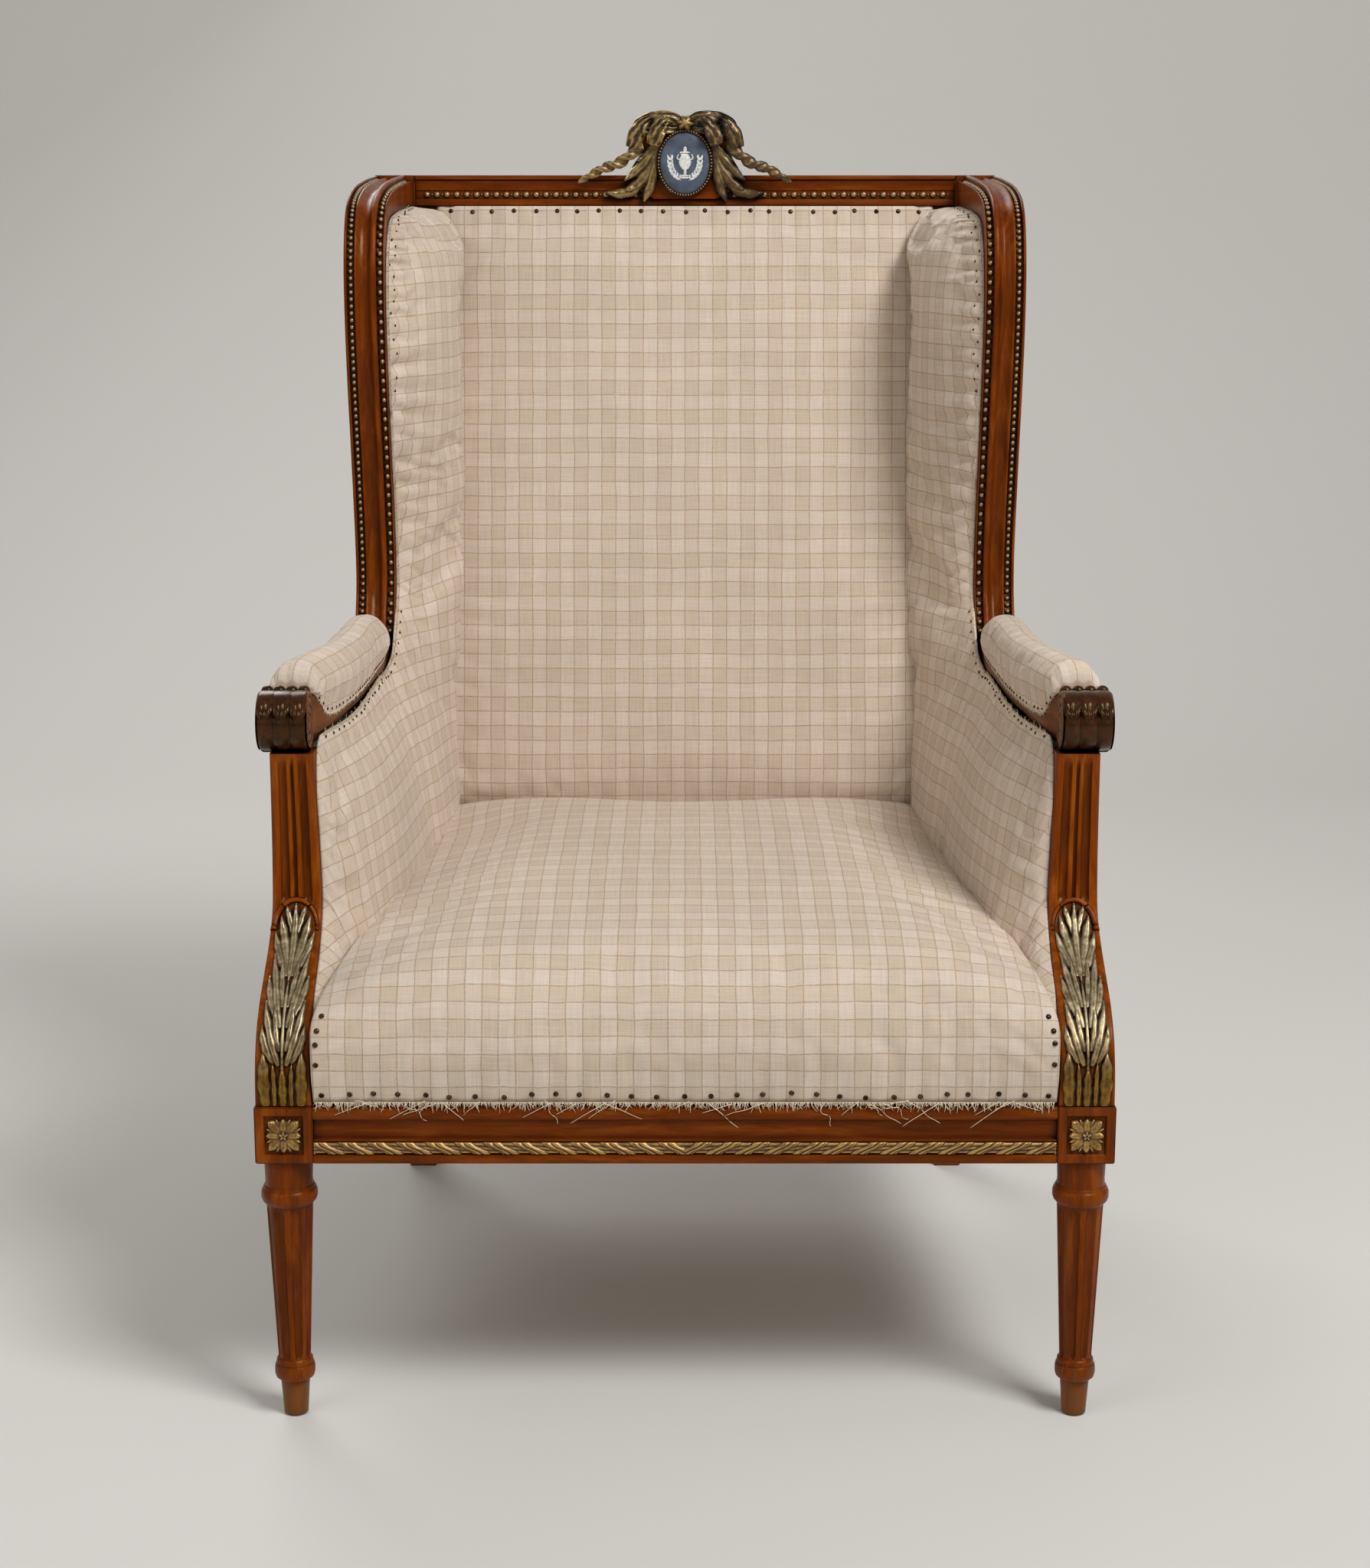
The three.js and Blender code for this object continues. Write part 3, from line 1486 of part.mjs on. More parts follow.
function tackRail(side) {
  const bottom = railTop + tackLipHeight * 1.6;
  const top = bottom + tackRailHeight;
  const rear = stileFrontY(bottom) - fitGap;
  const front = legBlockSize;
  const width = stileWidth * 0.38;
  const bar = loft(
    [0, 0.1, 0.25, 0.4, 0.55, 0.7, 0.8, 0.9, 1].map((share) => {
      const y = lerp(front, rear, share);
      const inner = padOuterX(y, top) + 3 * fitGap;
      return [
        [inner, bottom],
        [inner + width, bottom],
        [inner + width, top],
        [inner, top],
      ].map(([x, z]) => point(side * x, y, z));
    }),
  );
  const beforePost = box(
    [side * (blockInnerX - overrun), side * seatFrontWidth],
    [0, postAt(0.15).front + fitGap],
    [bottom - overrun, top + overrun],
  );
  return cutAll(bar, [postBody(side, fitGap), beforePost]);
}

function outerArmCover(side) {
  const place = (u, v, deep) => {
    const z = lerp(railTop + fitGap, armTop - armThickness - fitGap, v);
    const y = lerp(postAt(postShareAt(z)).back, stileFrontY(z) - fitGap, u);
    const low = sideRailX(y) - tackLipSetback;
    const high = armX(y) + armWidthAt(y) * 0.36;
    return point(side * (lerp(low, high, v) - deep), y, z);
  };
  const sheet = gridSolid(8, 5, (u, v) => place(u, v, 0), (u, v) => place(u, v, sheetThickness));
  return cutAll(sheet, [postBody(side, fitGap), armScroll(side, fitGap), armRail(side, fitGap)]);
}

function outerWingCover(side) {
  const line = wingLine(side);
  const first = 0.17;
  const last = 0.97;
  const place = (u, v, deep) => {
    const at = line.getPointAt(lerp(first, last, u));
    const along = line.getTangentAt(lerp(first, last, u));
    const out = point(0, -along.z, along.y).normalize();
    const rim = at.clone().addScaledVector(out, -(wingDepth + 4 * fitGap));
    const z = Math.min(rim.z, lerp(armTop + fitGap, rim.z, smoothstep(u, 0, 0.08)));
    const y = lerp(rim.y, Math.max(stileFrontY(z) - fitGap, rim.y), v);
    const x = lerp(wingX(rim.y), stileInnerX(z) + stileWidth, v) - tackLipSetback;
    return point(side * (x - deep), y, z);
  };
  return gridSolid(16, 2, (u, v) => place(u, v, 0), (u, v) => place(u, v, sheetThickness));
}

function outerBackCover() {
  const foot = frameBottom + tackLipHeight;
  const head = stileTop - tackLipHeight;
  const place = (u, v, deep) => {
    const z = lerp(foot, head, v);
    const x = lerp(-1, 1, u) * (stileInnerX(z) + stileWidth / 2);
    return point(x, stileFrontY(Math.max(z, frameBottom)) + stileDepth + fitGap + deep, z);
  };
  return gridSolid(4, 6, (u, v) => place(u, v, sheetThickness), (u, v) => place(u, v, 0));
}

// The origin is on the floor under the middle of the chair.
const rearmostY = stileFrontY(stileTop - tackLipHeight) + stileDepth + fitGap + sheetThickness;
const chair = new THREE.Group();
chair.position.y = (noseOverhang - rearmostY) / 2;
const add = (name, solid, finish) => chair.add(meshOf(name, solid, finish));
const sides = [
  ["left", -1],
  ["right", 1],
];

sides.forEach(([word, side]) => {
  add("front_leg_" + word, frontLeg(side), polishedWalnut);
  add("back_leg_" + word, backLeg(side), polishedWalnut);
  add("seat_rail_" + word, sideRail(side), polishedWalnut);
  add("corner_block_front_" + word, cornerBrace(side, true), beechwood);
  add("corner_block_back_" + word, cornerBrace(side, false), beechwood);
  add("arm_post_" + word, armPost(side), polishedWalnut);
  add("arm_" + word, arm(side), polishedWalnut);
  add("wing_frame_" + word, wingFrame(side), polishedWalnut);
  add("tack_rail_" + word, tackRail(side), beechwood);
});
add("seat_rail_front", frontRail(), polishedWalnut);
add("seat_rail_back", backRail(), beechwood);
add("top_rail", topRail(), polishedWalnut);
add("lower_back_rail", lowerBackRail(), beechwood);
add("crest_carving", crestCarving(), gildedCarving);
add("plaque_bezel", plaqueBezel(), gildedCarving);
add("plaque", plaque(), blueCeramic);

add("seat_webbing", seatWebbing(), jute);
add("back_webbing", backWebbing(), jute);
add("seat_hessian", seatHessian(), jute);
for (let row = 0; row < springRows; row++) {
  for (let column = 0; column < springColumns; column++) {
    const spring = seatSpring(springX(column), springY(row));
    add("seat_spring_" + (row * springColumns + column + 1), spring, springSteel);
  }
}
console.log("least gap between spring turns " + springGap(0, springFirstY).toFixed(2) + " mm");

// Each soft piece is trimmed to lie clear of the ones fitted before it.
const seat = seatCushion();
const seatCut = seatCushion(fitGap);
const backCut = sides.map(([word, side]) => sidePad(side, fitGap));
add("seat_cushion", seat, checkedCloth);
add("back_pad", cutAll(backPad(), [seatCut, topRailBody(fitGap), ...backCut]), checkedCloth);
sides.forEach(([word, side]) => {
  add("side_pad_" + word, sidePad(side).subtract(seatCut), checkedCloth);
  add("arm_pad_" + word, armPad(side), checkedCloth);
  add("outer_arm_cover_" + word, outerArmCover(side), checkedCloth);
  add("outer_wing_cover_" + word, outerWingCover(side), checkedCloth);
});
add("outer_back_cover", outerBackCover(), checkedCloth);

export default chair;
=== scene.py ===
import math
import random
from functools import cache, partial
from itertools import accumulate

import bmesh
import bpy
import numpy as np
from bpy.props import FloatProperty, FloatVectorProperty, PointerProperty
from mathutils import Matrix, Vector, noise
from mathutils.bvhtree import BVHTree


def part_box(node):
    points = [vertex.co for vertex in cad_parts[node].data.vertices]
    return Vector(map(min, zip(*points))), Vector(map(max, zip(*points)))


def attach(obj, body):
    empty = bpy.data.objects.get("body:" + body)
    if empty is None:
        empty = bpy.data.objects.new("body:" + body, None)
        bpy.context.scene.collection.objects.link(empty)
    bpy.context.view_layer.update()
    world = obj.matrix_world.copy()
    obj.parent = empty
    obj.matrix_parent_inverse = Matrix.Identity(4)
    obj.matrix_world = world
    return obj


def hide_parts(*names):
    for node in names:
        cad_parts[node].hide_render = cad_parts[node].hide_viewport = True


bl_info = {
    "name": "Wing Bergere Upholstery and Finish",
    "version": (1, 0, 0),
    "blender": (4, 5, 0),
    "location": "View3D > Sidebar > Bergere",
    "description": "Dresses a carved wing armchair with check cloth, nails, carving and polish",
    "category": "Object",
}

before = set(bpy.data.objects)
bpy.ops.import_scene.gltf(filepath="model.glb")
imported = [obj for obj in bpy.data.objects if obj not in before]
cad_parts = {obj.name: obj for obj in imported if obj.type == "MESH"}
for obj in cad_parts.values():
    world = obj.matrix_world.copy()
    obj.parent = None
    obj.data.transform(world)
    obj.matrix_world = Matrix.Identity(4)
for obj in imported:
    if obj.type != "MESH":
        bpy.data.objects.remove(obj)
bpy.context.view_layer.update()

# The chair is laid out in millimetres: x across, s back from the faces of the leg blocks, z up.
MM = 0.001
NOSE_OVERHANG = 2.0
FRONT_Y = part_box("seat_cushion")[0].y + NOSE_OVERHANG * MM
SIDES = (("left", -1), ("right", 1))

# The camera that the photograph was measured with: focal length and picture height in pixels, and tilt in degrees
FOCAL_PIXELS = 3500.0
FRAME_PIXELS = 2048.0
CAMERA_TILT = 12.0

# Sizes of the frame that the pieces here are fitted to
BLOCK_INNER_X = 307.0
LEG_X = 331.0
LEG_S = 24.0
BLOCK_WIDTH = 48.0
PANEL_FLOOR = 2.2
BLOCK_MIDDLE = 255.5
FRAME_BOTTOM = 231.0
BLOCK_TOP = 280.0
RAIL_TOP = 295.0
LIP_S = 8.0
SEAT_TOP = 430.0
STILE_FOOT_S = 628.0
STILE_SEAT_S = 592.0
STILE_TOP_S = 665.0
STILE_TOP = 1037.0
STILE_SEAT_X = 266.0
STILE_TOP_X = 272.0
STILE_WIDTH = 40.0
RAIL_FACE = 30.0
RAIL_THICKNESS = 34.0
ARM_TOP = 598.0
ARM_THICKNESS = 32.0
ARM_WIDTH = 38.0
SCROLL_S = 138.0
SCROLL_Z = 577.0
SCROLL_X = 340.0
SCROLL_RADIUS = 28.0
SCROLL_WIDTH = 43.0
ARM_REAR_X = 295.0
POST_FOOT_WIDTH = 47.0
POST_HEAD_WIDTH = 37.0
POST_HEAD_X = 315.0
WING_WIDTH = 38.0
WING_DEPTH = 30.0
WING_OUTER_X = 321.0
WING_FRONT_S = 459.0
WING_WAIST_S = 498.0
CREST_TOP = 1094.0
CREST_HALF = 107.0
PLAQUE_Z = 1049.0
CREST_FACE_S = 660.0
BEZEL_WIDTH = 57.0
BEZEL_HEIGHT = 67.0
BACK_PAD_HALF = 250.0
LOWER_RAIL_BOTTOM = 330.0
GAP = 0.3


def at(x, s, z):
    """A place in the chair's own millimetres as metres in the frame."""
    return Vector((x * MM, FRONT_Y + s * MM, z * MM))


def lerp(a, b, share):
    return a + (b - a) * share


def clamp(value, low=0.0, high=1.0):
    return max(low, min(high, value))


def ease(value, low=0.0, high=1.0):
    share = clamp((value - low) / (high - low))
    return share * share * (3 - 2 * share)


def read_table(rows, key):
    """The values of a table at a key between its rows, on a smooth curve through them."""
    last = len(rows) - 1
    upper = next((i for i, row in enumerate(rows) if row[0] > key), last)
    upper = max(upper, 1)
    a, b = rows[upper - 1], rows[upper]
    before, after = rows[max(upper - 2, 0)], rows[min(upper + 1, last)]
    run = b[0] - a[0]
    t = clamp((key - a[0]) / run)
    values = []
    for k in range(1, len(a)):
        m0 = (b[k] - before[k]) / (b[0] - before[0]) * run
        m1 = (after[k] - a[k]) / (after[0] - a[0]) * run
        start = (2 * t**3 - 3 * t**2 + 1) * a[k] + (t**3 - 2 * t**2 + t) * m0
        values.append(start + (3 * t**2 - 2 * t**3) * b[k] + (t**3 - t**2) * m1)
    return values


def read_rows(rows, share):
    """The values of a table whose rows are evenly spaced from 0 to 1."""
    last = len(rows) - 1
    return read_table([(i / last, *row) for i, row in enumerate(rows)], share)


def ripple(a, b, seed=0.0):
    """Smooth noise over two lengths given in units of its own wave."""
    return noise.noise(Vector((a, b, seed * 7.31)))


def stile_front(z):
    if z < FRAME_BOTTOM:
        return lerp(STILE_FOOT_S, STILE_SEAT_S, z / FRAME_BOTTOM)
    return lerp(STILE_SEAT_S, STILE_TOP_S, max(0.0, z - RAIL_TOP) / (STILE_TOP - RAIL_TOP))


def stile_inner(z):
    return lerp(STILE_SEAT_X, STILE_TOP_X, (z - FRAME_BOTTOM) / (STILE_TOP - FRAME_BOTTOM))


ARM_LINE = ((0, 1), (0.06, 0.86), (0.13, 0.66), (0.28, 0.4), (0.6, 0.25), (1, 0))


def arm_middle(s):
    along = (s - SCROLL_S) / (STILE_SEAT_S - SCROLL_S)
    return lerp(ARM_REAR_X, SCROLL_X, read_table(ARM_LINE, clamp(along))[0])


def wing_outer(s):
    return lerp(WING_OUTER_X, STILE_TOP_X + STILE_WIDTH, ease(s, WING_WAIST_S, STILE_TOP_S))


POST_SWEEP = (
    (0, 0.02, 0.32), (0.1, 0.03, 0.36), (0.2, 0.1, 0.48), (0.28, 0.24, 0.64), (0.34, 0.42, 0.81), (0.42, 0.66, 0.96),
    (0.5, 0.8, 1.02), (0.62, 0.84, 1.03), (0.8, 0.85, 1.04), (1, 0.84, 1.05),
)
POST_HEAD_Z = SCROLL_Z - SCROLL_RADIUS + 2.6


def post_at(share):
    """Front, back, inner side, width and height of an arm post at a share of its height."""
    sweep = SCROLL_S + 10.4
    front, back = (value * sweep for value in read_table(POST_SWEEP, share))
    width = lerp(POST_FOOT_WIDTH, POST_HEAD_WIDTH, share)
    inner = lerp(BLOCK_INNER_X, POST_HEAD_X, share)
    return front, back, inner, width, lerp(BLOCK_TOP, POST_HEAD_Z, share)


def post_share(z):
    return clamp((z - BLOCK_TOP) / (POST_HEAD_Z - BLOCK_TOP))


def arm_width(s):
    return ARM_WIDTH * lerp(1, 0.84, (s - SCROLL_S) / (STILE_SEAT_S - SCROLL_S))


def arm_depth(share):
    """Thickness of an arm, which is deeper where it runs into the scroll."""
    return ARM_THICKNESS * lerp(1.4, 1, ease(share, 0.03, 0.24))


# Meshes


def new_piece(name, shape, material, sharp=180.0, node=None, slot=None):
    """A mesh object from points in metres and faces, riding on the chair; edges over the sharp angle stay crisp.

    It takes the place of a CAD node where one is named, and has its finish's slot unless another is named.
    """
    points, faces = shape
    mesh = bpy.data.meshes.new(name)
    mesh.from_pydata([tuple(p) for p in points], [], faces)
    mesh.validate()
    mesh.update()
    mesh.shade_smooth()
    mesh.set_sharp_from_angle(angle=math.radians(sharp))
    piece = bpy.data.objects.new(name, mesh)
    bpy.context.scene.collection.objects.link(piece)
    mesh.materials.append(finish(material))
    face_outwards(mesh)
    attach(piece, "root")
    slot or MAKERS[material][0]
    if node:
        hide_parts(node)
    return piece


def face_outwards(mesh):
    """Turn a closed mesh so that its faces look out."""
    volume = 0.0
    for face in mesh.polygons:
        corners = [mesh.vertices[i].co for i in face.vertices]
        for k in range(1, len(corners) - 1):
            volume += corners[0].dot(corners[k].cross(corners[k + 1]))
    if volume < 0:
        mesh.flip_normals()


def loft(rings, closed_ends=True):
    """Points and faces through rings that all have as many points."""
    count = len(rings[0])
    points = [p for ring in rings for p in ring]
    faces = []
    for low in range(0, len(points) - count, count):
        for i in range(count):
            j = (i + 1) % count
            faces.append((low + i, low + j, low + count + j, low + count + i))
    if closed_ends:
        faces.append(tuple(range(count - 1, -1, -1)))
        faces.append(tuple(range(len(points) - count, len(points))))
    return points, faces


def sweep(stations, columns, place):
    """A closed form through one ring for each station, with a point at place(station, column) for each column."""
    return loft([[at(*place(station, column)) for column in columns] for station in stations])


def evenly(count, low=0.0, high=1.0):
    """Numbers at even steps from low to high, both of them included."""
    return [lerp(low, high, k / count) for k in range(count + 1)]


def round_turn(count):
    """Angles at even steps once round."""
    return [2 * math.pi * k / count for k in range(count)]


def gather(parts):
    """Points and faces of several shapes as one."""
    points, faces = [], []
    for more_points, more_faces in parts:
        start = len(points)
        points.extend(more_points)
        faces.extend(tuple(i + start for i in face) for face in more_faces)
    return points, faces


def quilt(columns, rows, front, back):
    """A closed shape between two surfaces over the same two shares; front points come first."""
    shares = [(c / columns, r / rows) for c in range(columns + 1) for r in range(rows + 1)]
    points = [side(u, v) for side in (front, back) for u, v in shares]
    under, step = len(points) // 2, rows + 1
    faces = []
    for c in range(columns):
        for r in range(rows):
            a = c * step + r
            b = a + under
            faces += [(a, a + step, a + step + 1, a + 1), (b, b + 1, b + step + 1, b + step)]
    rim = [c * step for c in range(columns + 1)]
    rim += [columns * step + r for r in range(1, rows + 1)]
    rim += [c * step + rows for c in range(columns - 1, -1, -1)]
    rim += [r for r in range(rows - 1, 0, -1)]
    faces += [(b, a, a + under, b + under) for a, b in zip(rim, rim[1:] + rim[:1])]
    return points, faces


def mesh_parts(made):
    """The points and faces of a bmesh, which is then freed."""
    points = [vert.co.copy() for vert in made.verts]
    faces = [tuple(vert.index for vert in face.verts) for face in made.faces]
    made.free()
    return points, faces


def dome(centre, out, radius, height, sides=10, rings=4):
    """A shallow dome that stands out from a place along a direction."""
    out = out.normalized()
    across = out.orthogonal().normalized()
    up = out.cross(across)
    levels = []
    for r in range(rings):
        angle = math.pi / 2 * r / rings
        reach, lift = radius * math.cos(angle), out * height * math.sin(angle)
        rim = [across * math.cos(turn) + up * math.sin(turn) for turn in round_turn(sides)]
        levels.append([centre + way * reach + lift for way in rim])
    points, faces = loft([[p - out * height * 0.6 for p in levels[0]]] + levels, False)
    tip = len(points)
    points.append(centre + out * height)
    start = rings * sides
    faces += [(start + i, start + (i + 1) % sides, tip) for i in range(sides)]
    faces.append(tuple(range(sides - 1, -1, -1)))
    return points, faces


def thread(path, radius, sides=3):
    """A thin strand along a path."""
    rings = []
    for i, p in enumerate(path):
        along = (path[min(i + 1, len(path) - 1)] - path[max(i - 1, 0)]).normalized()
        across = along.orthogonal().normalized()
        up = along.cross(across)
        taper = radius * (1 - 0.5 * i / (len(path) - 1))
        rings.append([p + (across * math.cos(turn) + up * math.sin(turn)) * taper for turn in round_turn(sides)])
    return loft(rings)


def walked_to(points):
    """Length walked along a line up to each of its points."""
    return list(accumulate(((b - a).length for a, b in zip(points, points[1:])), initial=0.0))


def along_path(points, pitch, start=0.0):
    """Places at even steps along a line of points, each with its direction."""
    places = []
    want = start
    walked = 0.0
    for a, b in zip(points, points[1:]):
        length = (b - a).length
        while want <= walked + length and length > 0:
            places.append((a.lerp(b, (want - walked) / length), (b - a).normalized()))
            want += pitch
        walked += length
    return places


# Materials


def linear(hex_code):
    """An sRGB hex colour as linear RGBA."""
    parts = [int(hex_code[i : i + 2], 16) / 255 for i in (1, 3, 5)]
    return tuple(c / 12.92 if c <= 0.04045 else ((c + 0.055) / 1.055) ** 2.4 for c in parts) + (1.0,)


def settings_hex(colour):
    """A colour property, kept as sRGB, as its hex code."""
    return "#" + "".join(f"{round(clamp(c) * 255):02x}" for c in colour)


def feed(node, inputs):
    """Give a node's inputs, by name or in order, their values or links from sockets or nodes' first outputs."""
    for key, source in inputs.items() if isinstance(inputs, dict) else enumerate(inputs):
        if isinstance(source, bpy.types.Node):
            source = source.outputs[0]
        if isinstance(source, bpy.types.NodeSocket):
            node.id_data.links.new(source, node.inputs[key])
        else:
            node.inputs[key].default_value = source


def add_node(tree, kind, inputs=(), stops=(), **settings):
    """Add a node with its settings and its inputs, and on a colour ramp its (place, hex) stops."""
    made = tree.nodes.new("ShaderNode" + kind)
    for name, value in settings.items():
        setattr(made, name, value)
    feed(made, inputs)
    while stops and len(made.color_ramp.elements) < len(stops):
        made.color_ramp.elements.new(0.5)
    for element, (place, colour) in zip(made.color_ramp.elements if stops else (), stops):
        element.position = place
        element.color = linear(colour)
    return made


MULTIPLY = {"data_type": "RGBA", "blend_type": "MULTIPLY"}


def start_material(name):
    """A material with a Principled shader, what adds a node to it, and the shader."""
    material = bpy.data.materials.new(name)
    material.use_nodes = True
    return material, partial(add_node, material.node_tree), material.node_tree.nodes["Principled BSDF"]


def check_linen():
    """Woven check linen: pale squares with thin rust threads between them, and slubs along both threads.

    The dull, slightly fuzzy yarn gives a soft sheen; the weave is drawn at twice its real pitch so that it shows.
    """
    settings = bpy.context.scene.bergere
    material, add, shader = start_material("check linen")
    flat = add("Attribute", attribute_name="cloth_mm", attribute_type="GEOMETRY").outputs["Vector"]
    wobble = add("TexNoise", {"Vector": flat, "Scale": 1 / 45.0, "Detail": 1.0}).outputs["Color"]
    centred = add("VectorMath", (wobble, (0.5,) * 3), operation="SUBTRACT")
    drift = add("VectorMath", {0: centred, "Scale": 2.6}, operation="SCALE")
    axes = add("SeparateXYZ", (add("VectorMath", (flat, drift), operation="ADD"),))
    pale, lines, waves = [], [], []
    for axis, size in (("X", settings.check_width * 1000), ("Y", settings.check_height * 1000)):
        squares = add("Math", (axes.outputs[axis], size), operation="DIVIDE")
        nearest = add("Math", (squares, 0.5), operation="PINGPONG")
        lines.append(add("MapRange", (nearest, 0.012, 0.058, 1.0, 0.0), interpolation_type="SMOOTHSTEP"))
        row = add("Math", (squares,), operation="FLOOR")
        pale.append(add("Math", (row, 2.0), operation="FLOORED_MODULO"))
        per_mm = 2 * math.pi / (settings.thread_pitch * 1000)
        turns = add("Math", (axes.outputs[axis], per_mm), operation="MULTIPLY")
        waves.append(add("Math", (turns,), operation="SINE"))
    half = add("Math", (add("Math", pale, operation="ADD"), 0.5), operation="MULTIPLY")
    ends = ((0.0, settings_hex(settings.linen_dark)), (1.0, settings_hex(settings.linen_pale)))
    ground = add("ValToRGB", (half,), ends)
    slubs = []
    for stretch in ((1.5, 0.028, 1.0), (0.028, 1.5, 1.0)):
        scaled = add("VectorMath", (flat, stretch), operation="MULTIPLY")
        slubs.append(add("TexNoise", {"Vector": scaled, "Scale": 0.8, "Detail": 2.0}))
    streak = add("Math", slubs, operation="ADD")
    streak_tone = add("MapRange", (streak, 0.75, 1.25, 0.9, 1.07))
    toned = add("Mix", {0: 1.0, 6: ground, 7: streak_tone}, **MULTIPLY)
    rust = add("Math", lines, operation="MAXIMUM")
    patchy = add("TexNoise", {"Vector": flat, "Scale": 0.35, "Detail": 2.0})
    strength = add("MapRange", (patchy, 0.3, 0.7, 0.34, 0.66))
    faint = add("Math", (rust, strength), operation="MULTIPLY")
    thread_tone = linear(settings_hex(settings.line_colour))
    lined = add("Mix", {0: faint, 6: toned.outputs[2], 7: thread_tone}, data_type="RGBA")
    age = add("TexNoise", {"Vector": flat, "Scale": 1 / 120.0, "Detail": 4.0})
    age_tone = add("MapRange", (age, 0.3, 0.7, 0.92, 1.04))
    aged = add("Mix", {0: 1.0, 6: lined.outputs[2], 7: age_tone}, **MULTIPLY)
    weave = add("Math", waves, operation="MULTIPLY")
    relief = add("Math", (streak, 1.6, weave), operation="MULTIPLY_ADD")
    bump = add("Bump", {"Height": relief, "Strength": 0.35, "Distance": 0.0003})
    feed(shader, {"Base Color": aged.outputs[2], "Normal": bump, "Roughness": 0.92, "Sheen Weight": 0.2})
    feed(shader, {"Sheen Roughness": 0.5, "Specular IOR Level": 0.25})
    return material


def polished_walnut(name, grain, dark, mid, light, roughness=0.3, gloss=0.2):
    """French-polished walnut: a thin glossy shellac over brown wood, darker in the corners where wax gathers.

    grain is the direction of the fibres, x, y or z. Growth bands are about 12 mm, pores about 0.6 mm, drawn at 1.6.
    """
    material, add, shader = start_material(name)
    place = add("TexCoord").outputs["Object"]
    stretch = {"x": (0.12, 1, 1), "y": (1, 0.12, 1), "z": (1, 1, 0.12)}[grain]
    scaled = add("VectorMath", (place, stretch), operation="MULTIPLY")
    growth = {"Vector": scaled, "Scale": 1 / 0.012, "Detail": 5.0, "Roughness": 0.6, "Distortion": 0.8}
    bands = add("TexNoise", growth)
    pores = add("TexNoise", {"Vector": scaled, "Scale": 1 / 0.0016, "Detail": 2.0})
    figure = add("ValToRGB", (bands,), ((0.2, dark), (0.5, mid), (0.82, light)))
    pore_tone = add("MapRange", (pores, 0.35, 0.6, 0.86, 1.02))
    toned = add("Mix", {0: 1.0, 6: figure, 7: pore_tone}, **MULTIPLY)
    corner = add("AmbientOcclusion", {"Distance": 0.009}, samples=6)
    depth = add("MapRange", (corner.outputs["AO"], 0.3, 0.95, 0.1, 1.0))
    waxed = add("Mix", {0: 1.0, 6: toned.outputs[2], 7: depth}, **MULTIPLY)
    height = add("SeparateXYZ", (place,)).outputs[2]
    scuffed = add("Math", (height, bands, 0.0), operation="MULTIPLY_ADD")
    bare = add("MapRange", (scuffed, 0.012, 0.02, 0.55, 0.0))
    worn = add("Mix", {0: bare, 6: waxed.outputs[2], 7: linear("#74502C")}, data_type="RGBA")
    wear = add("TexNoise", {"Vector": place, "Scale": 38.0, "Detail": 4.0})
    sheen = add("MapRange", (wear, 0.3, 0.7, roughness - 0.06, roughness + 0.14))
    round_edges = add("Bevel", {"Radius": 0.0016}, samples=4)
    bump = add("Bump", {"Height": pores, "Normal": round_edges, "Strength": 0.12, "Distance": 0.0004})
    feed(shader, {"Base Color": worn.outputs[2], "Roughness": sheen, "Normal": bump, "IOR": 1.5})
    feed(shader, {"Specular IOR Level": gloss, "Specular Tint": linear("#E8C08A")})
    feed(shader, {"Coat Weight": 0.06, "Coat Roughness": 0.22})
    return material


def worn_gilding(name, hollow, wood, gold, bright, olive=False):
    """Bronze gilding over carved walnut: metal left on the high places, brown wood and old wax in the hollows.

    An olive one turns to a deep yellow below 330 mm, where the leaf on the posts keeps its old gold.
    """
    material, add, shader = start_material(name)
    place = add("TexCoord").outputs["Object"]
    corner = add("AmbientOcclusion", {"Distance": 0.006}, samples=6)
    rub = add("TexNoise", {"Vector": place, "Scale": 150.0, "Detail": 5.0, "Roughness": 0.65})
    rubbed = add("MapRange", (rub, 0.3, 0.7, 0.78, 1.08))
    pointed = add("NewGeometry").outputs["Pointiness"]
    ridge = add("MapRange", (pointed, 0.42, 0.56, 0.35, 1.15))
    raised = add("Math", (corner.outputs["AO"], ridge), operation="MULTIPLY")
    height = add("Math", (raised, rubbed), operation="MULTIPLY")
    stops = ((0.22, hollow), (0.48, wood), (0.7, gold), (0.92, bright))
    colour = add("ValToRGB", (height,), stops).outputs[0]
    if olive:
        above = add("SeparateXYZ", (place,)).outputs[2]
        low = add("MapRange", (above, 0.305, 0.35, 1.0, 0.0))
        colour = add("Mix", {0: low, 6: colour, 7: linear("#C2A04A")}, **MULTIPLY).outputs[2]
    metal = add("MapRange", (height, 0.5, 0.8, 0.0, 0.75))
    rough = add("MapRange", (rub, 0.3, 0.7, 0.3, 0.52))
    round_edges = add("Bevel", {"Radius": 0.0009}, samples=4)
    bump = add("Bump", {"Height": rub, "Normal": round_edges, "Strength": 0.2, "Distance": 0.0005})
    feed(shader, {"Base Color": colour, "Metallic": metal, "Roughness": rough, "Normal": bump})
    return material


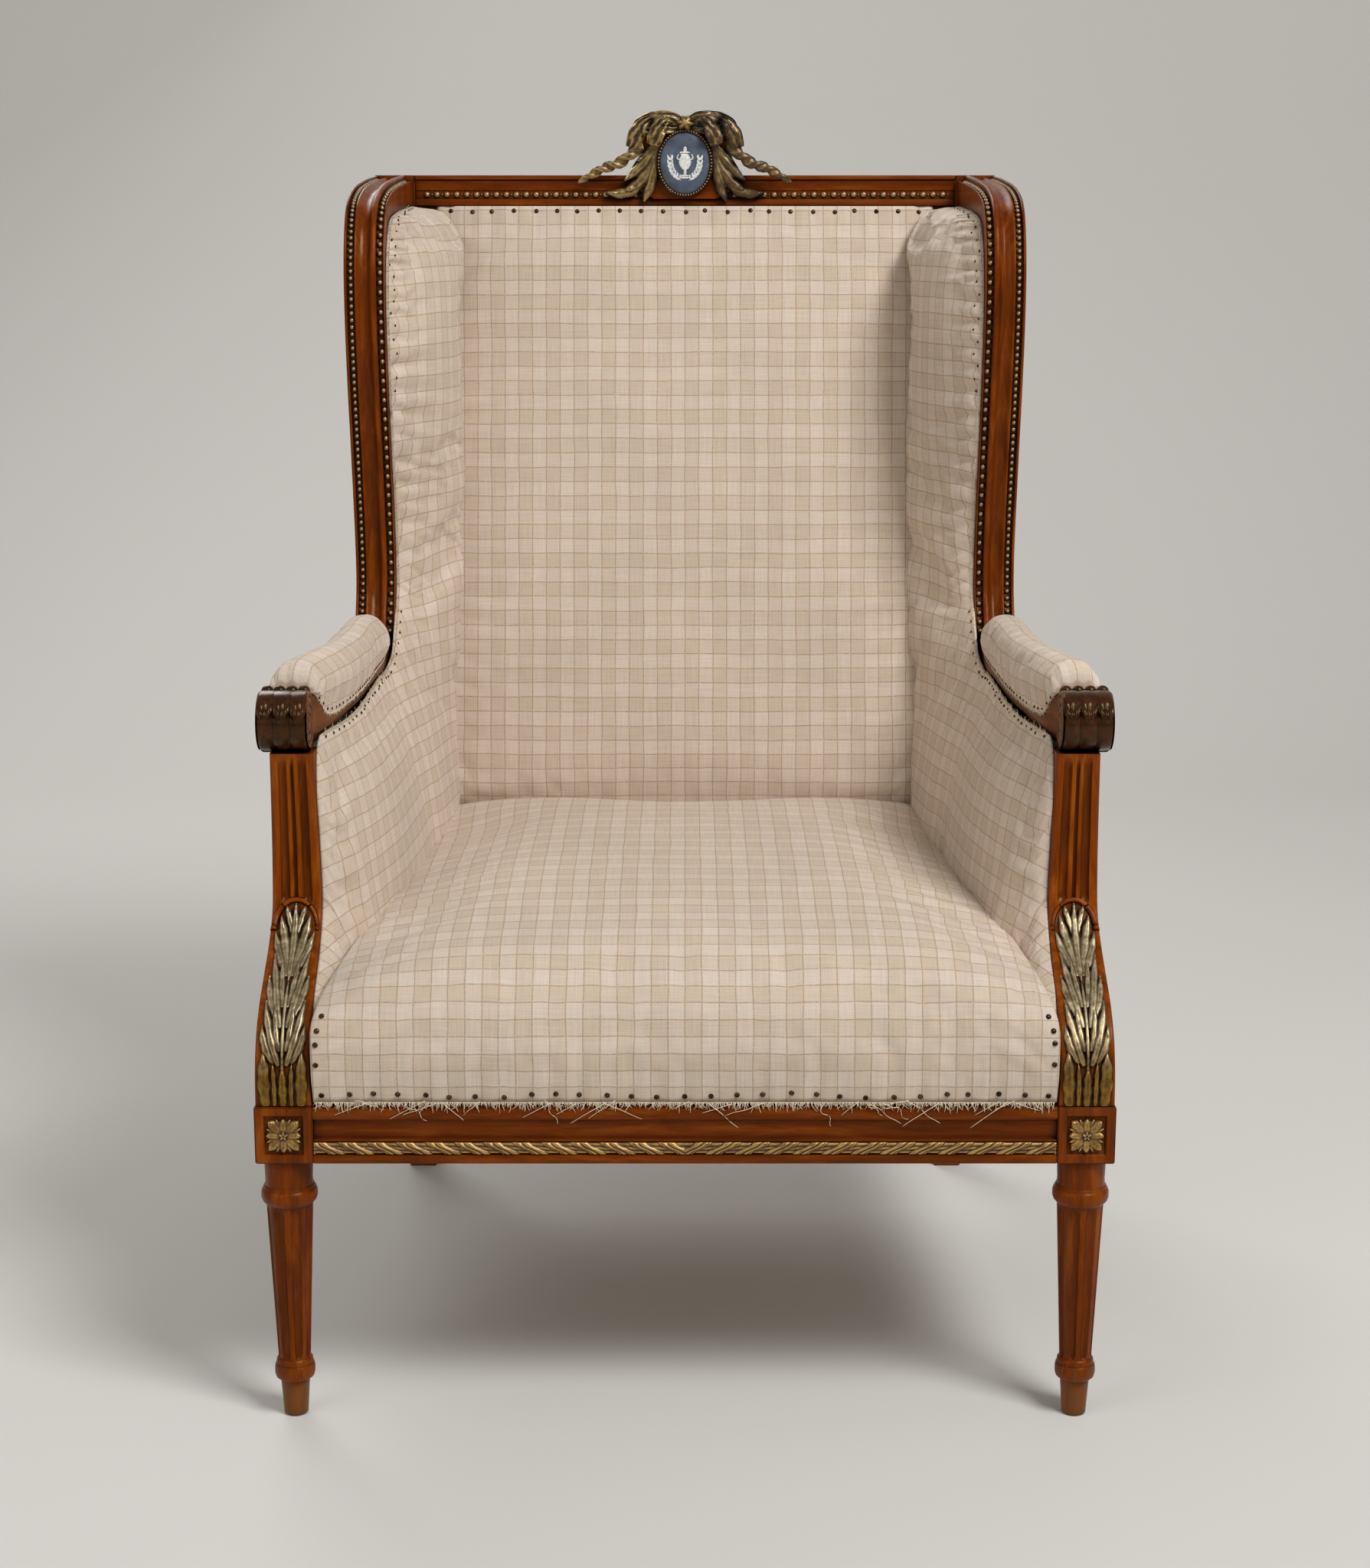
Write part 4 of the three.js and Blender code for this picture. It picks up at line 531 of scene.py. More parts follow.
def woven_jute(name, pitch, pale, dark):
    """Plain-woven jute: coarse, hairy yarn over and under at a pitch of two or three millimetres."""
    material, add, shader = start_material(name)
    place = add("TexCoord").outputs["Object"]
    axes = add("SeparateXYZ", (place,))
    waves = []
    for axis in ("X", "Y", "Z"):
        turns = add("Math", (axes.outputs[axis], 2 * math.pi / (pitch * MM)), operation="MULTIPLY")
        waves.append(add("Math", (turns,), operation="SINE"))
    deep = add("Math", waves[1:], operation="ADD")
    weave = add("Math", (waves[0], deep), operation="MULTIPLY")
    hair = add("TexNoise", {"Vector": place, "Scale": 420.0, "Detail": 3.0})
    mixed = add("Math", (weave, 0.22, hair), operation="MULTIPLY_ADD")
    colour = add("ValToRGB", (mixed,), ((0.2, dark), (0.55, pale), (0.85, "#C9B48A")))
    bump = add("Bump", {"Height": mixed, "Strength": 0.6, "Distance": 0.0008})
    feed(shader, {"Base Color": colour, "Roughness": 0.95, "Normal": bump})
    return material


def mottled(name, scale, detail, stops, sockets, bump=None, stretch=None):
    """A finish with one fine mottling, scale to the metre, and a bump of that strength and depth."""
    material, add, shader = start_material(name)
    place = add("TexCoord").outputs["Object"]
    if stretch:
        place = add("VectorMath", (place, stretch), operation="MULTIPLY")
    cloud = add("TexNoise", {"Vector": place, "Scale": scale, "Detail": detail})
    feed(shader, {"Base Color": add("ValToRGB", (cloud,), stops), **sockets})
    if bump:
        raised = add("Bump", {"Height": cloud, "Strength": bump[0], "Distance": bump[1]})
        feed(shader, {"Normal": raised})
    return material


# Each finish with the slot of the record that it belongs to.
MAKERS = {
    "check_linen": ("checked_cloth", check_linen),
    "walnut_x": ("polished_walnut", polished_walnut, "walnut along x", "x", "#421A02", "#6E2D02", "#944A08"),
    "walnut_y": ("polished_walnut", polished_walnut, "walnut along y", "y", "#421A02", "#6E2D02", "#944A08"),
    "walnut_z": ("polished_walnut", polished_walnut, "walnut along z", "z", "#421A02", "#723003", "#984E0A"),
    "post_walnut": (
        "polished_walnut", polished_walnut, "walnut of the posts", "z", "#451B02", "#7E3804", "#A6590F", 0.28
    ),
    "scroll_walnut": (
        "polished_walnut", polished_walnut, "dark walnut of the arms", "y", "#1C0D05", "#33190B", "#542C12",
        0.18, 0.45,
    ),
    "cheek_walnut": (
        "polished_walnut", polished_walnut, "pale walnut of the arms", "y", "#43210E", "#6C3F22", "#83532F", 0.4
    ),
    "gilding": ("gilded_carving", worn_gilding, "worn gilding", "#150902", "#3C200A", "#7A5522", "#C09C5C"),
    "bead_gilding": (
        "gilded_carving", worn_gilding, "gilding rubbed off the beads", "#1A0D05", "#3E2610", "#6A4F2C", "#A98F68"
    ),
    "leaf_gilding": (
        "gilded_carving", worn_gilding, "rubbed leaf gilding", "#150B05", "#3C2B17", "#756342", "#D2C3A0", True
    ),
    "dark_gilding": ("gilded_carving", worn_gilding, "blackened gilding", "#120A05", "#2E1D0E", "#5A4525", "#AE9562"),
    # Unglazed stoneware tinted slate blue, with a matt skin and faint mottling
    "jasper_blue": (
        "blue_ceramic", mottled, "jasper blue stoneware", 90.0, 4.0, ((0.35, "#3E4857"), (0.65, "#525E70")),
        {"Roughness": 0.55},
    ),
    # The white slip relief on the stoneware, matt and slightly see-through at its thin edges
    "jasper_white": (
        "blue_ceramic", mottled, "jasper white relief", 400.0, 3.0, ((0.3, "#B9BDC6"), (0.6, "#E6E4DD")),
        {"Roughness": 0.5},
    ),
    # Sawn beech of the hidden rails: pale, dry and fleck-grained, grey with age
    "beech": (
        "beechwood", mottled, "bare beech", 1 / 0.003, 4.0, ((0.3, "#7A5B3C"), (0.55, "#A5825A"), (0.75, "#BE9C72")),
        {"Roughness": 0.78}, (0.3, 0.0005), (0.15, 1, 1),
    ),
    "jute": ("jute", woven_jute, "woven jute", 2.4, "#B29A6E", "#6F5B3A"),
    "webbing": ("jute", woven_jute, "jute webbing", 3.0, "#A98F62", "#5E4B30"),
    # Undyed linen yarn pulled out of the cloth's edge: matt, pale and hairy
    "linen_yarn": (
        "checked_cloth", mottled, "loose linen yarn", 700.0, 3.0,
        ((0.3, "#DCC4A0"), (0.55, "#F0DFC2"), (0.75, "#FBF1DF")), {"Roughness": 0.95}, (0.4, 0.0003),
    ),
    # Small steel heads with a bronzed lacquer, rubbed bright on top
    "nails": (
        "checked_cloth", mottled, "bronzed steel", 260.0, 3.0, ((0.35, "#1C130C"), (0.75, "#6A5034")),
        {"Metallic": 0.85, "Roughness": 0.36},
    ),
    # Drawn steel wire with a film of old oil
    "spring_wire": (
        "spring_steel", mottled, "oiled spring wire", 260.0, 3.0, ((0.35, "#3A3530"), (0.75, "#8A857C")),
        {"Metallic": 0.85, "Roughness": 0.42},
    ),
}


@cache
def finish(name):
    """A material of the chair, made once."""
    _, maker, *values = MAKERS[name]
    return maker(*values)


# Cloth pieces


def cloth_piece(name, shape, cloth, node):
    """A padded piece with its cloth's own flat places kept on it, in place of its CAD node."""
    piece = new_piece(name, shape, "check_linen", node=node)
    lay_cloth(piece, cloth)
    return piece


def lay_cloth(piece, cloth):
    """Keep each point's place on the flat cloth, in millimetres, for the weave."""
    layer = piece.data.attributes.new("cloth_mm", "FLOAT_VECTOR", "POINT")
    for entry, (u, v) in zip(layer.data, cloth):
        entry.vector = (u, v, 0.0)


SEAT_PLAN = ((0, 1), (0.07, 0.972), (0.17, 0.942), (0.34, 0.896), (0.7, 0.83), (0.85, 0.8), (1, 0.775))
SEAT_DEPTH = STILE_SEAT_S - GAP
SEAT_RISE = SEAT_TOP - RAIL_TOP
SEAT_SIDE_DROP = 34.0
# Share of the depth, share of the rise and share of the nose's overhang, from the nails over the crown.
SEAT_BORDER = (
    (0.0055, -0.088, 0), (0.003, 0.03, 0.4), (0.0015, 0.16, 1), (0, 0.36, 1), (0.003, 0.5, 0.6), (0.018, 0.615, 0),
    (0.066, 0.755, 0), (0.18, 0.868, 0), (0.32, 0.955, 0), (0.53, 1, 0), (0.72, 0.995, 0), (0.85, 0.96, 0),
    (0.93, 0.89, 0), (0.985, 0.76, 0), (1, 0.45, 0),
)


def seat_half(s):
    return (BLOCK_INNER_X - GAP) * read_table(SEAT_PLAN, clamp(s / SEAT_DEPTH))[0]


def seat_profile(count):
    """Depth, height and overhang along the seat's middle line, evenly spaced by length."""
    fine = [read_rows(SEAT_BORDER, share) for share in evenly(600)]
    steps = (math.hypot((b[0] - a[0]) * SEAT_DEPTH, (b[1] - a[1]) * SEAT_RISE) for a, b in zip(fine, fine[1:]))
    lengths = list(accumulate(steps, initial=0.0))
    rows, k = [], 0
    for want in evenly(count, 0.0, lengths[-1]):
        while k < 599 and lengths[k + 1] < want:
            k += 1
        share = (want - lengths[k]) / max(lengths[k + 1] - lengths[k], 1e-9)
        rows.append([lerp(p, q, clamp(share)) for p, q in zip(fine[k], fine[k + 1])])
    return rows, lengths[-1]


def seat_place(u, deep, rise, nose, walked):
    """A place on the seat's cloth: u runs across, walked is the length from the nailed edge."""
    drop = SEAT_SIDE_DROP * abs(u) ** 5 * clamp(rise) * (1 - 0.8 * ease(deep, 0.7, 0.93))
    s = deep * SEAT_DEPTH - nose * NOSE_OVERHANG
    x = u * seat_half(max(s, 0.0))
    z = RAIL_TOP + rise * SEAT_RISE - drop
    pull = math.exp(-walked / 16.0)
    tuck = math.cos(2 * math.pi * x / 21.4)
    s += pull * (0.9 * tuck + 0.5) * (1 if walked < 60 else 0)
    z += 1.6 * ripple(x / 130.0, s / 130.0, 2) * ease(walked, 60, 200) * (1 - abs(u) ** 6)
    z += 0.5 * ripple(x / 34.0, s / 60.0, 3) * ease(walked, 30, 120)
    return x, s, z


def seat_rings():
    rows, length = seat_profile(150)
    rings, cloth = [], []
    for even in evenly(150, -1, 1):
        u = lerp(math.sin(even * math.pi / 2), even, 0.55)
        places = [seat_place(u, *row, length * i / (len(rows) - 1)) for i, row in enumerate(rows)]
        ring = [at(*place) for place in places]
        flat = [(place[0], walked / MM) for place, walked in zip(places, walked_to(ring))]
        half_front, half_rear = u * seat_half(0.0), u * seat_half(SEAT_DEPTH)
        low = RAIL_TOP + GAP
        for x, s, z in ((half_rear, SEAT_DEPTH, low), (half_front, LIP_S, low), (half_front, LIP_S, RAIL_TOP - 10)):
            ring.append(at(x, s, z))
            flat.append((x, flat[len(rows) - 1][1]))
        rings.append(ring)
        cloth.extend(flat)
    return rings, cloth


def pad_front(z):
    """Front of the back pad on its middle line."""
    foot, head = 455.0, STILE_TOP - GAP
    return lerp(545.0, STILE_TOP_S, (z - foot) / (head - foot))


PAD_FOOT = LOWER_RAIL_BOTTOM + 42.0 * 1.6
PAD_HEAD = STILE_TOP - RAIL_FACE - GAP


def back_place(u, v):
    x = lerp(-1, 1, u)
    z = lerp(PAD_FOOT, PAD_HEAD, v)
    rear = stile_front(z) + 14.0 - GAP - 3.0 - 2 * GAP
    tuck = 8.0 * abs(x) ** 5 + 16.0 * (1 - ease(v, 0, 0.06))
    crown = 6.0 * (1 - x * x) * math.sin(math.pi * v)
    s = min(pad_front(z) + tuck - crown, rear)
    below = PAD_HEAD - z
    s += math.exp(-below / 14.0) * (1.1 * math.cos(2 * math.pi * x * BACK_PAD_HALF / 21.5) + 0.7)
    s += 1.2 * ripple(x * 2.2, v * 3.0, 5) * math.sin(math.pi * v)
    return Vector((x * BACK_PAD_HALF, min(s, rear), z))


BACK_STEPS = (120, 140)


def back_pad_shape():
    columns, rows = BACK_STEPS

    def behind(u, v):
        z = lerp(PAD_FOOT, PAD_HEAD, v)
        return at(lerp(-1, 1, u) * BACK_PAD_HALF, stile_front(z) + 10.7, z)

    cloth = []
    for u in evenly(columns):
        line = [back_place(u, v) for v in evenly(rows)]
        cloth += [(p.x, walked) for p, walked in zip(line, walked_to([p.yz for p in line]))]
    return quilt(columns, rows, lambda u, v: at(*back_place(u, v)), behind), cloth + cloth


SIDE_EDGE_LENGTH = 1050.0
PLEAT_PITCH = 18.0
# Share of the post's height or of the way back under the arm, where the hidden edge lies as a share of the seat's
# depth, and its height over the rail.
POST_EDGE = ((0.2, 0.06), (0.3, 0.11), (0.4, 0.17), (0.52, 0.23), (0.7, 0.3), (0.88, 0.37))
UNDER_EDGE = ((0.05, 0.46, 39.0), (0.3, 0.58, 39.0), (0.58, 0.7, 39.0), (0.8, 0.82, 39.0), (0.93, 0.92, 67.5))
# Shares back and up on the wing's face, and how far up the stile the hidden edge meets it: in the first three from
# the rail to the arm, then from the arm to the top.
WING_EDGE = (
    (0.12, 0.03, 0.45), (0.22, 0.08, 0.68), (0.24, 0.15, 0.9), (0.22, 0.26, 0.12), (0.16, 0.39, 0.28),
    (0.1, 0.52, 0.43), (0.06, 0.65, 0.57), (0.07, 0.76, 0.68), (0.13, 0.84, 0.76), (0.26, 0.895, 0.84),
    (0.46, 0.915, 0.89), (0.7, 0.925, 0.915), (0.9, 0.93, 0.925),
)


def side_edges():
    """Depth and height of a side pad's tacked edge, then of the edge that dives behind the seat and the back."""
    rows = []
    for share, deep in POST_EDGE:
        front, _, _, _, z = post_at(share)
        rows.append((front + WING_DEPTH / 6, z, deep * SEAT_DEPTH, RAIL_TOP + 39.0))
    for share, deep, lift in UNDER_EDGE:
        z = ARM_TOP - ARM_THICKNESS * lerp(1.36, 0.75, share**0.7)
        rows.append((lerp(SCROLL_S, WING_FRONT_S, share), z, deep * SEAT_DEPTH, RAIL_TOP + lift))
    for k, (back, up, share) in enumerate(WING_EDGE):
        z = lerp(RAIL_TOP, ARM_TOP, share) if k < 3 else lerp(ARM_TOP, STILE_TOP, share)
        s = lerp(WING_FRONT_S, STILE_TOP_S, back)
        rows.append((s, lerp(ARM_TOP, STILE_TOP, up), stile_front(z) - 2 * GAP, z))
    return rows


def pad_outer(s, z):
    """Outer side of a side pad, against the post, the arm and the wing."""
    arm = arm_middle(s) - arm_width(s) / 2
    wing = min(arm, wing_outer(s) - WING_WIDTH)
    beside = lerp(arm, wing, ease(s, WING_FRONT_S - WING_DEPTH, WING_FRONT_S))
    return min(post_at(post_share(z))[2], beside) - GAP


# Share of the way from the tacked edge, then share of the swell.
SIDE_SWELL = (
    (0, 0), (0.05, 0.28), (0.14, 0.55), (0.3, 0.84), (0.5, 0.98), (0.68, 1), (0.8, 0.94), (0.9, 0.72), (1, 0),
)


def side_place(edges, share, q, side):
    """A place on a side pad: share runs along the tacked edge, q from it to the hidden edge."""
    ts, tz, ds, dz = read_rows(edges, share)
    on_wing = ease(share, 0.36, 0.56)
    fade = ease(share, -0.02, 0.1) * (1 - ease(share, 0.86, 1.01))
    swell = lerp(17.0, 33.0, on_wing) * lerp(0.15, 1, fade) * read_table(SIDE_SWELL, q)[0]
    end = lerp(seat_half(ds) + GAP, BACK_PAD_HALF - GAP, ease(share, 0.4, 0.48))
    thickness = max(pad_outer(ds, dz) - end, GAP * 8)
    s, z = lerp(ts, ds, q), lerp(tz, dz, q)
    rolled = math.sqrt(1 - clamp((share - 0.94) / 0.06) ** 2)
    rise = (thickness * q**1.3 + swell) * lerp(0.2, 1, rolled) + GAP * 6
    # Fine creases from the tacks, pleats at their pitch, and slow swells over the whole pad
    into = q * math.hypot(ds - ts, dz - tz)
    along = share * SIDE_EDGE_LENGTH
    crease = ripple(along / 15.0, into / 90.0, 11 + side) + 0.6 * ripple(along / 6.5, into / 60.0, 17 + side)
    rise += 2.6 * crease * math.exp(-into / 22.0) * ease(into, 0.0, 3.0)
    pinch = 0.35 + 0.65 * ease(share, 0.54, 0.62) * (1 - ease(share, 0.88, 0.94))
    beat = along / PLEAT_PITCH + 0.5 * ripple(along / 30.0, into / 60.0, 5 + side)
    valley = (1 - abs(math.sin(math.pi * beat))) ** 1.2 * (0.6 + 0.4 * ripple(beat, 0.0, 41 + side))
    rise += pinch * (3.4 - 12.0 * valley) * math.exp(-into / 13.0) * ease(into, 0.5, 4.0)
    rise += 2.4 * ripple(along / 46.0, into / 150.0, 23 + side) * math.exp(-into / 90.0) * ease(into, 0, 12)
    return side * (pad_outer(s, z) - max(rise, 1.0)), s, z


SIDE_STEPS = (350, 72)


def side_pad_shape(side):
    edges = side_edges()
    along, deep = SIDE_STEPS
    rings, cloth = [], []
    for i in range(along + 1):
        flat = []
        ring = [Vector(side_place(edges, i / along, q**1.25, side)) for q in evenly(deep)]
        u, v = ring[-1].y, ring[-1].z
        flat.append((u, v))
        for nearer, farther in zip(ring[-2::-1], ring[:0:-1]):
            step = nearer - farther
            planar = max(math.hypot(step.y, step.z), 1e-6)
            stretch = min(step.length / planar, 6.0)
            u += step.y * stretch
            v += step.z * stretch
            flat.append((u, v))
        flat.reverse()
        ts, tz = ring[0].y, ring[0].z
        ds, dz = ring[-1].y, ring[-1].z
        back = [(lerp(ts, ds, q), lerp(tz, dz, q)) for q in (1, 0.66, 0.33, 0)]
        back = [Vector((side * pad_outer(*p), *p)) for p in back]
        rings.append([at(*p) for p in ring + back])
        cloth.extend(flat + [flat[-1]] * 2 + [flat[0]] * 2)
    return loft(rings), cloth


ARM_PAD_START = 158.0
ARM_PAD_END = 456.0
ARM_PAD_WIDTH = 48.0
ARM_PAD_HEIGHT = 27.0
ARM_PAD_AROUND = 64
# Share of the width and of the height, or of the skirt's drop where it is negative.
ARM_PAD_SECTION = (
    (-0.42, -1), (-0.475, -0.5), (-0.5, 0.15), (-0.45, 0.56), (-0.27, 0.9), (0, 1), (0.27, 0.9), (0.45, 0.56),
    (0.5, 0.15), (0.475, -0.5), (0.42, -1),
)
# Share of the length, width, height and drop of the skirt.
ARM_PAD_ENDS = (
    (0, 0.72, 0.2, 0), (0.01, 0.86, 0.62, 0.05), (0.03, 0.92, 0.9, 0.3), (0.08, 0.97, 1, 1), (0.35, 1, 1, 1),
    (0.65, 0.99, 1, 1), (0.88, 0.95, 0.98, 1), (0.95, 0.87, 0.88, 0.7), (0.985, 0.74, 0.66, 0.2), (1, 0.5, 0.3, 0),
)


def arm_pad_rings(side):
    rings, cloth = [], []
    steps, around = 150, ARM_PAD_AROUND
    for i in range(steps + 1):
        share = i / steps
        share = lerp(share, (1 - math.cos(math.pi * share)) / 2, 0.6)
        wide, high, low = read_table(ARM_PAD_ENDS, share)
        s = lerp(ARM_PAD_START, ARM_PAD_END, share)
        skirt = ARM_THICKNESS * lerp(0.72, 0.34, share) * max(low, 0.0) + GAP
        ring, flat = [], []
        walked = 0.0
        for k in range(around + 1):
            across, rise = read_rows(ARM_PAD_SECTION, k / around)
            near_edge = min(k, around - k) / around * 110.0
            fold = ripple(s / 8.0, near_edge / 60.0, 31 + side * (1 if k < around / 2 else 2))
            fold *= 2.4 * math.exp(-near_edge / 11.0) * ease(near_edge, 0, 2)
            front = math.exp(-(s - ARM_PAD_START) / 9.0)
            fold += 1.3 * front * math.cos(2 * math.pi * across * 3.4) * (1 if abs(across) < 0.45 else 0)
            x = arm_middle(s) + (ARM_PAD_WIDTH * wide + 2 * fold) * across
            z = ARM_TOP + rise * (skirt if rise < 0 else ARM_PAD_HEIGHT * high + fold)
            p = at(side * x, s, z)
            if ring:
                walked += (p - ring[-1]).length / MM
            ring.append(p)
            flat.append((walked, s))
        middle = walked / 2
        inner = arm_width(s) / 2 + GAP
        for across, z in ((1, ARM_TOP - skirt), (1, ARM_TOP + GAP), (-1, ARM_TOP + GAP), (-1, ARM_TOP - skirt)):
            ring.append(at(side * (arm_middle(s) + min(inner, ARM_PAD_WIDTH * wide * 0.42 - 0.5) * across), s, z))
            flat.append((walked if across > 0 else 0, s))
        rings.append(ring)
        cloth.extend((u - middle, v) for u, v in flat)
    return rings, cloth


# Turned, moulded and carved frame

LEG_FOOT = (
    (0, 8.8), (1.5, 10.2), (32.8, 12.3), (33, 14.4), (34.6, 16.2), (38, 17), (42.5, 17), (45.4, 16.4), (46.4, 15.2),
    (47.4, 15.5), (50, 15.2), (51.8, 13.9),
)
LEG_HEAD = (
    (190.4, 20.4), (191.5, 21.0), (192.6, 22.4), (195.5, 23.5), (200, 23.5), (203, 22.4), (204, 21.3), (205.4, 21.2),
    (206.4, 20.0), (212, 19.7), (226, 20.3), (233, 20.3),
)
SHAFT_BOTTOM = 52.0
SHAFT_TOP = 190.0
FLUTE_END = 7.0


def turned_leg(side):
    """Foot, collar, fluted shaft, ring and neck, turned about the leg's axis."""
    ends = evenly(7, SHAFT_BOTTOM, SHAFT_BOTTOM + FLUTE_END)
    shaft = ends + evenly(12, 60.0, 182.0) + [SHAFT_TOP + SHAFT_BOTTOM - z for z in reversed(ends)]
    rows = [(z, r, 0.0) for z, r in LEG_FOOT]
    for z in shaft:
        end = max(0.0, 1 - min(z - SHAFT_BOTTOM, SHAFT_TOP - z) / FLUTE_END)
        rows.append((z, lerp(13.5, 19.4, (z - SHAFT_BOTTOM) / (SHAFT_TOP - SHAFT_BOTTOM)), 1.001 - end))
    rows += [(z, r, 0.0) for z, r in LEG_HEAD]

    def place(row, angle):
        z, radius, open_share = row
        q = abs(4 * angle / math.pi % 1 - 0.5) / 0.31
        hollow = max(0.0, 1 - q * q - (1 - open_share) ** 2) if open_share else 0.0
        r = radius - 3.0 * math.sqrt(hollow)
        return side * LEG_X + r * math.cos(angle), LEG_S + r * math.sin(angle), z

    return sweep(rows, round_turn(144), place)


def panelled_block(side):
    """The square head of a leg, with a sunk panel on its front and on its outer side."""
    made = bmesh.new()
    bmesh.ops.create_cube(made, size=1.0)
    for vert in made.verts:
        x, s, z = vert.co
        vert.co = at(side * LEG_X + x * BLOCK_WIDTH, LEG_S + s * BLOCK_WIDTH, BLOCK_MIDDLE + z * 49)
    bmesh.ops.bevel(made, geom=made.edges[:], offset=0.9 * MM, segments=2, affect="EDGES")
    for out in (Vector((0, -1, 0)), Vector((side, 0, 0))):
        made.faces.ensure_lookup_table()
        panel = max(made.faces, key=lambda face: face.normal.dot(out) * face.calc_area())
        for border, sink in ((6.4, 0.0), (0.4, 0.4), (1.3, 1.9)):
            bmesh.ops.inset_region(made, faces=[panel], thickness=border * MM, use_even_offset=True)
            for vert in panel.verts:
                vert.co -= out * sink * MM
    return mesh_parts(made)


def frond_height(x, t, fronds):
    """Height of a carved leaf over its ground: the highest of its fronds at a place.

    A frond is a curve from its root over a bend to its tip, with its width and its height.
    """
    best = np.full(x.shape, -1.0)
    for root, bend, tip, width, height in fronds:
        length = math.dist(root, bend) + math.dist(bend, tip)
        for u in np.linspace(0, 1, max(24, round(length / 0.9))):
            px = (1 - u) ** 2 * root[0] + 2 * u * (1 - u) * bend[0] + u * u * tip[0]
            pt = (1 - u) ** 2 * root[1] + 2 * u * (1 - u) * bend[1] + u * u * tip[1]
            wide = width * (0.35 + 0.65 * math.sin(math.pi * min(u * 0.72 + 0.16, 1.0)))
            wide *= (1 - 0.6 * u**9) * (1 + 0.1 * math.sin(u * 19))
            q = np.hypot(x - px, t - pt) / max(wide, 0.3)
            rim = np.sqrt(np.clip(1 - q * q, 0, 1))
            vein = 1 - 0.5 * np.exp(-((q / 0.17) ** 2))
            curl = 0.62 + 0.38 * math.sin(math.pi * u * 0.9) + 0.34 * math.exp(-(((u - 0.9) / 0.09) ** 2))
            best = np.maximum(best, np.where(q < 1, height * rim**0.85 * vein * curl, -1.0))
    return best


def both_ways(fronds):
    return list(fronds) + [tuple((-x, t) for x, t in frond[:3]) + frond[3:] for frond in fronds]


def shifted(fronds, across, up):
    """Fronds moved over the flat that they are drawn on."""
    return [tuple((x + across, t + up) for x, t in frond[:3]) + frond[3:] for frond in fronds]


# Across from the leaf's middle, then up from its foot.
POST_LEAF = both_ways(
    [
        ((13.2, 0), (14.2, 20), (14.8, 43), 4.9, 3.6), ((6.4, 0), (6.0, 15), (7.4, 36), 2.4, 3.4),
        ((3.4, 35), (9.8, 54), (15.6, 78), 3.6, 5.6), ((7.6, 37), (14.6, 47), (16.6, 62), 3.5, 4.6),
        ((2.6, 46), (6.2, 60), (7.6, 75), 2.8, 5.2), ((2.8, 63), (8.2, 82), (14.4, 106), 3.4, 5.8),
        ((6.2, 68), (12.4, 78), (16.0, 92), 3.4, 4.8), ((2.0, 76), (5.4, 90), (7.0, 102), 2.6, 5.2),
        ((3.0, 95), (10.6, 104), (16.2, 119), 3.8, 5.0), ((2.2, 98), (8.0, 114), (12.4, 131), 4.2, 5.8),
        ((1.6, 119), (5.4, 131), (8.0, 138.5), 3.2, 5.6),
    ]
) + [
    ((0, 0), (0, 14), (0, 31), 3.8, 3.8), ((0, 20), (0, 60), (0, 100), 1.8, 5.0),
    ((0, 94), (0, 118), (0, 141), 3.6, 6.4),
]


def carved_patch(width, height, step, fronds, place, ground=-0.8, behind=1.0):
    """A carved leaf over a flat of width by height, with its back a little behind its lowest edge.

    place puts a point of the flat, with its relief, in the frame.
    """
    columns, rows = round(width / step), round(height / step)
    over, up = np.linspace(-width / 2, width / 2, columns + 1), np.linspace(0, height, rows + 1)
    x, t = np.meshgrid(over, up, indexing="ij")
    relief = frond_height(x, t, fronds)
    held = relief > ground
    held[1:, :] |= relief[:-1, :] > ground
    held[:-1, :] |= relief[1:, :] > ground
    held[:, 1:] |= relief[:, :-1] > ground
    held[:, :-1] |= relief[:, 1:] > ground
    held = held[:-1, :-1] & held[1:, :-1] & held[:-1, 1:] & held[1:, 1:]
    relief = np.maximum(relief, ground)
    points, faces, index = [], [], {}

    def corner(c, r, back):
        if (c, r, back) not in index:
            index[c, r, back] = len(points)
            lift = ground - behind if back else relief[c, r]
            points.append(place(lerp(-width / 2, width / 2, c / columns), height * r / rows, lift))
        return index[c, r, back]

    for c, r in zip(*(cells.tolist() for cells in np.nonzero(held))):
        loop = ((c, r), (c + 1, r), (c + 1, r + 1), (c, r + 1))
        faces.append(tuple(corner(*p, False) for p in loop))
        faces.append(tuple(corner(*p, True) for p in reversed(loop)))
        for k, (dc, dr) in enumerate(((0, -1), (1, 0), (0, 1), (-1, 0))):
            beside = (c + dc, r + dr)
            inside = 0 <= beside[0] < columns and 0 <= beside[1] < rows and held[beside]
            if not inside:
                a, b = loop[k], loop[(k + 1) % 4]
                faces.append((corner(*b, False), corner(*a, False), corner(*a, True), corner(*b, True)))
    return points, faces


def post_flutes(across):
    """Hollows over the width of a post, from its inner side."""
    hollows = ((0.27, 0.09, 1.0), (0.505, 0.035, 0.7), (0.73, 0.09, 1.0))
    return max(deep * max(0.0, 1 - ((across - middle) / half) ** 2) ** 0.4 for middle, half, deep in hollows)


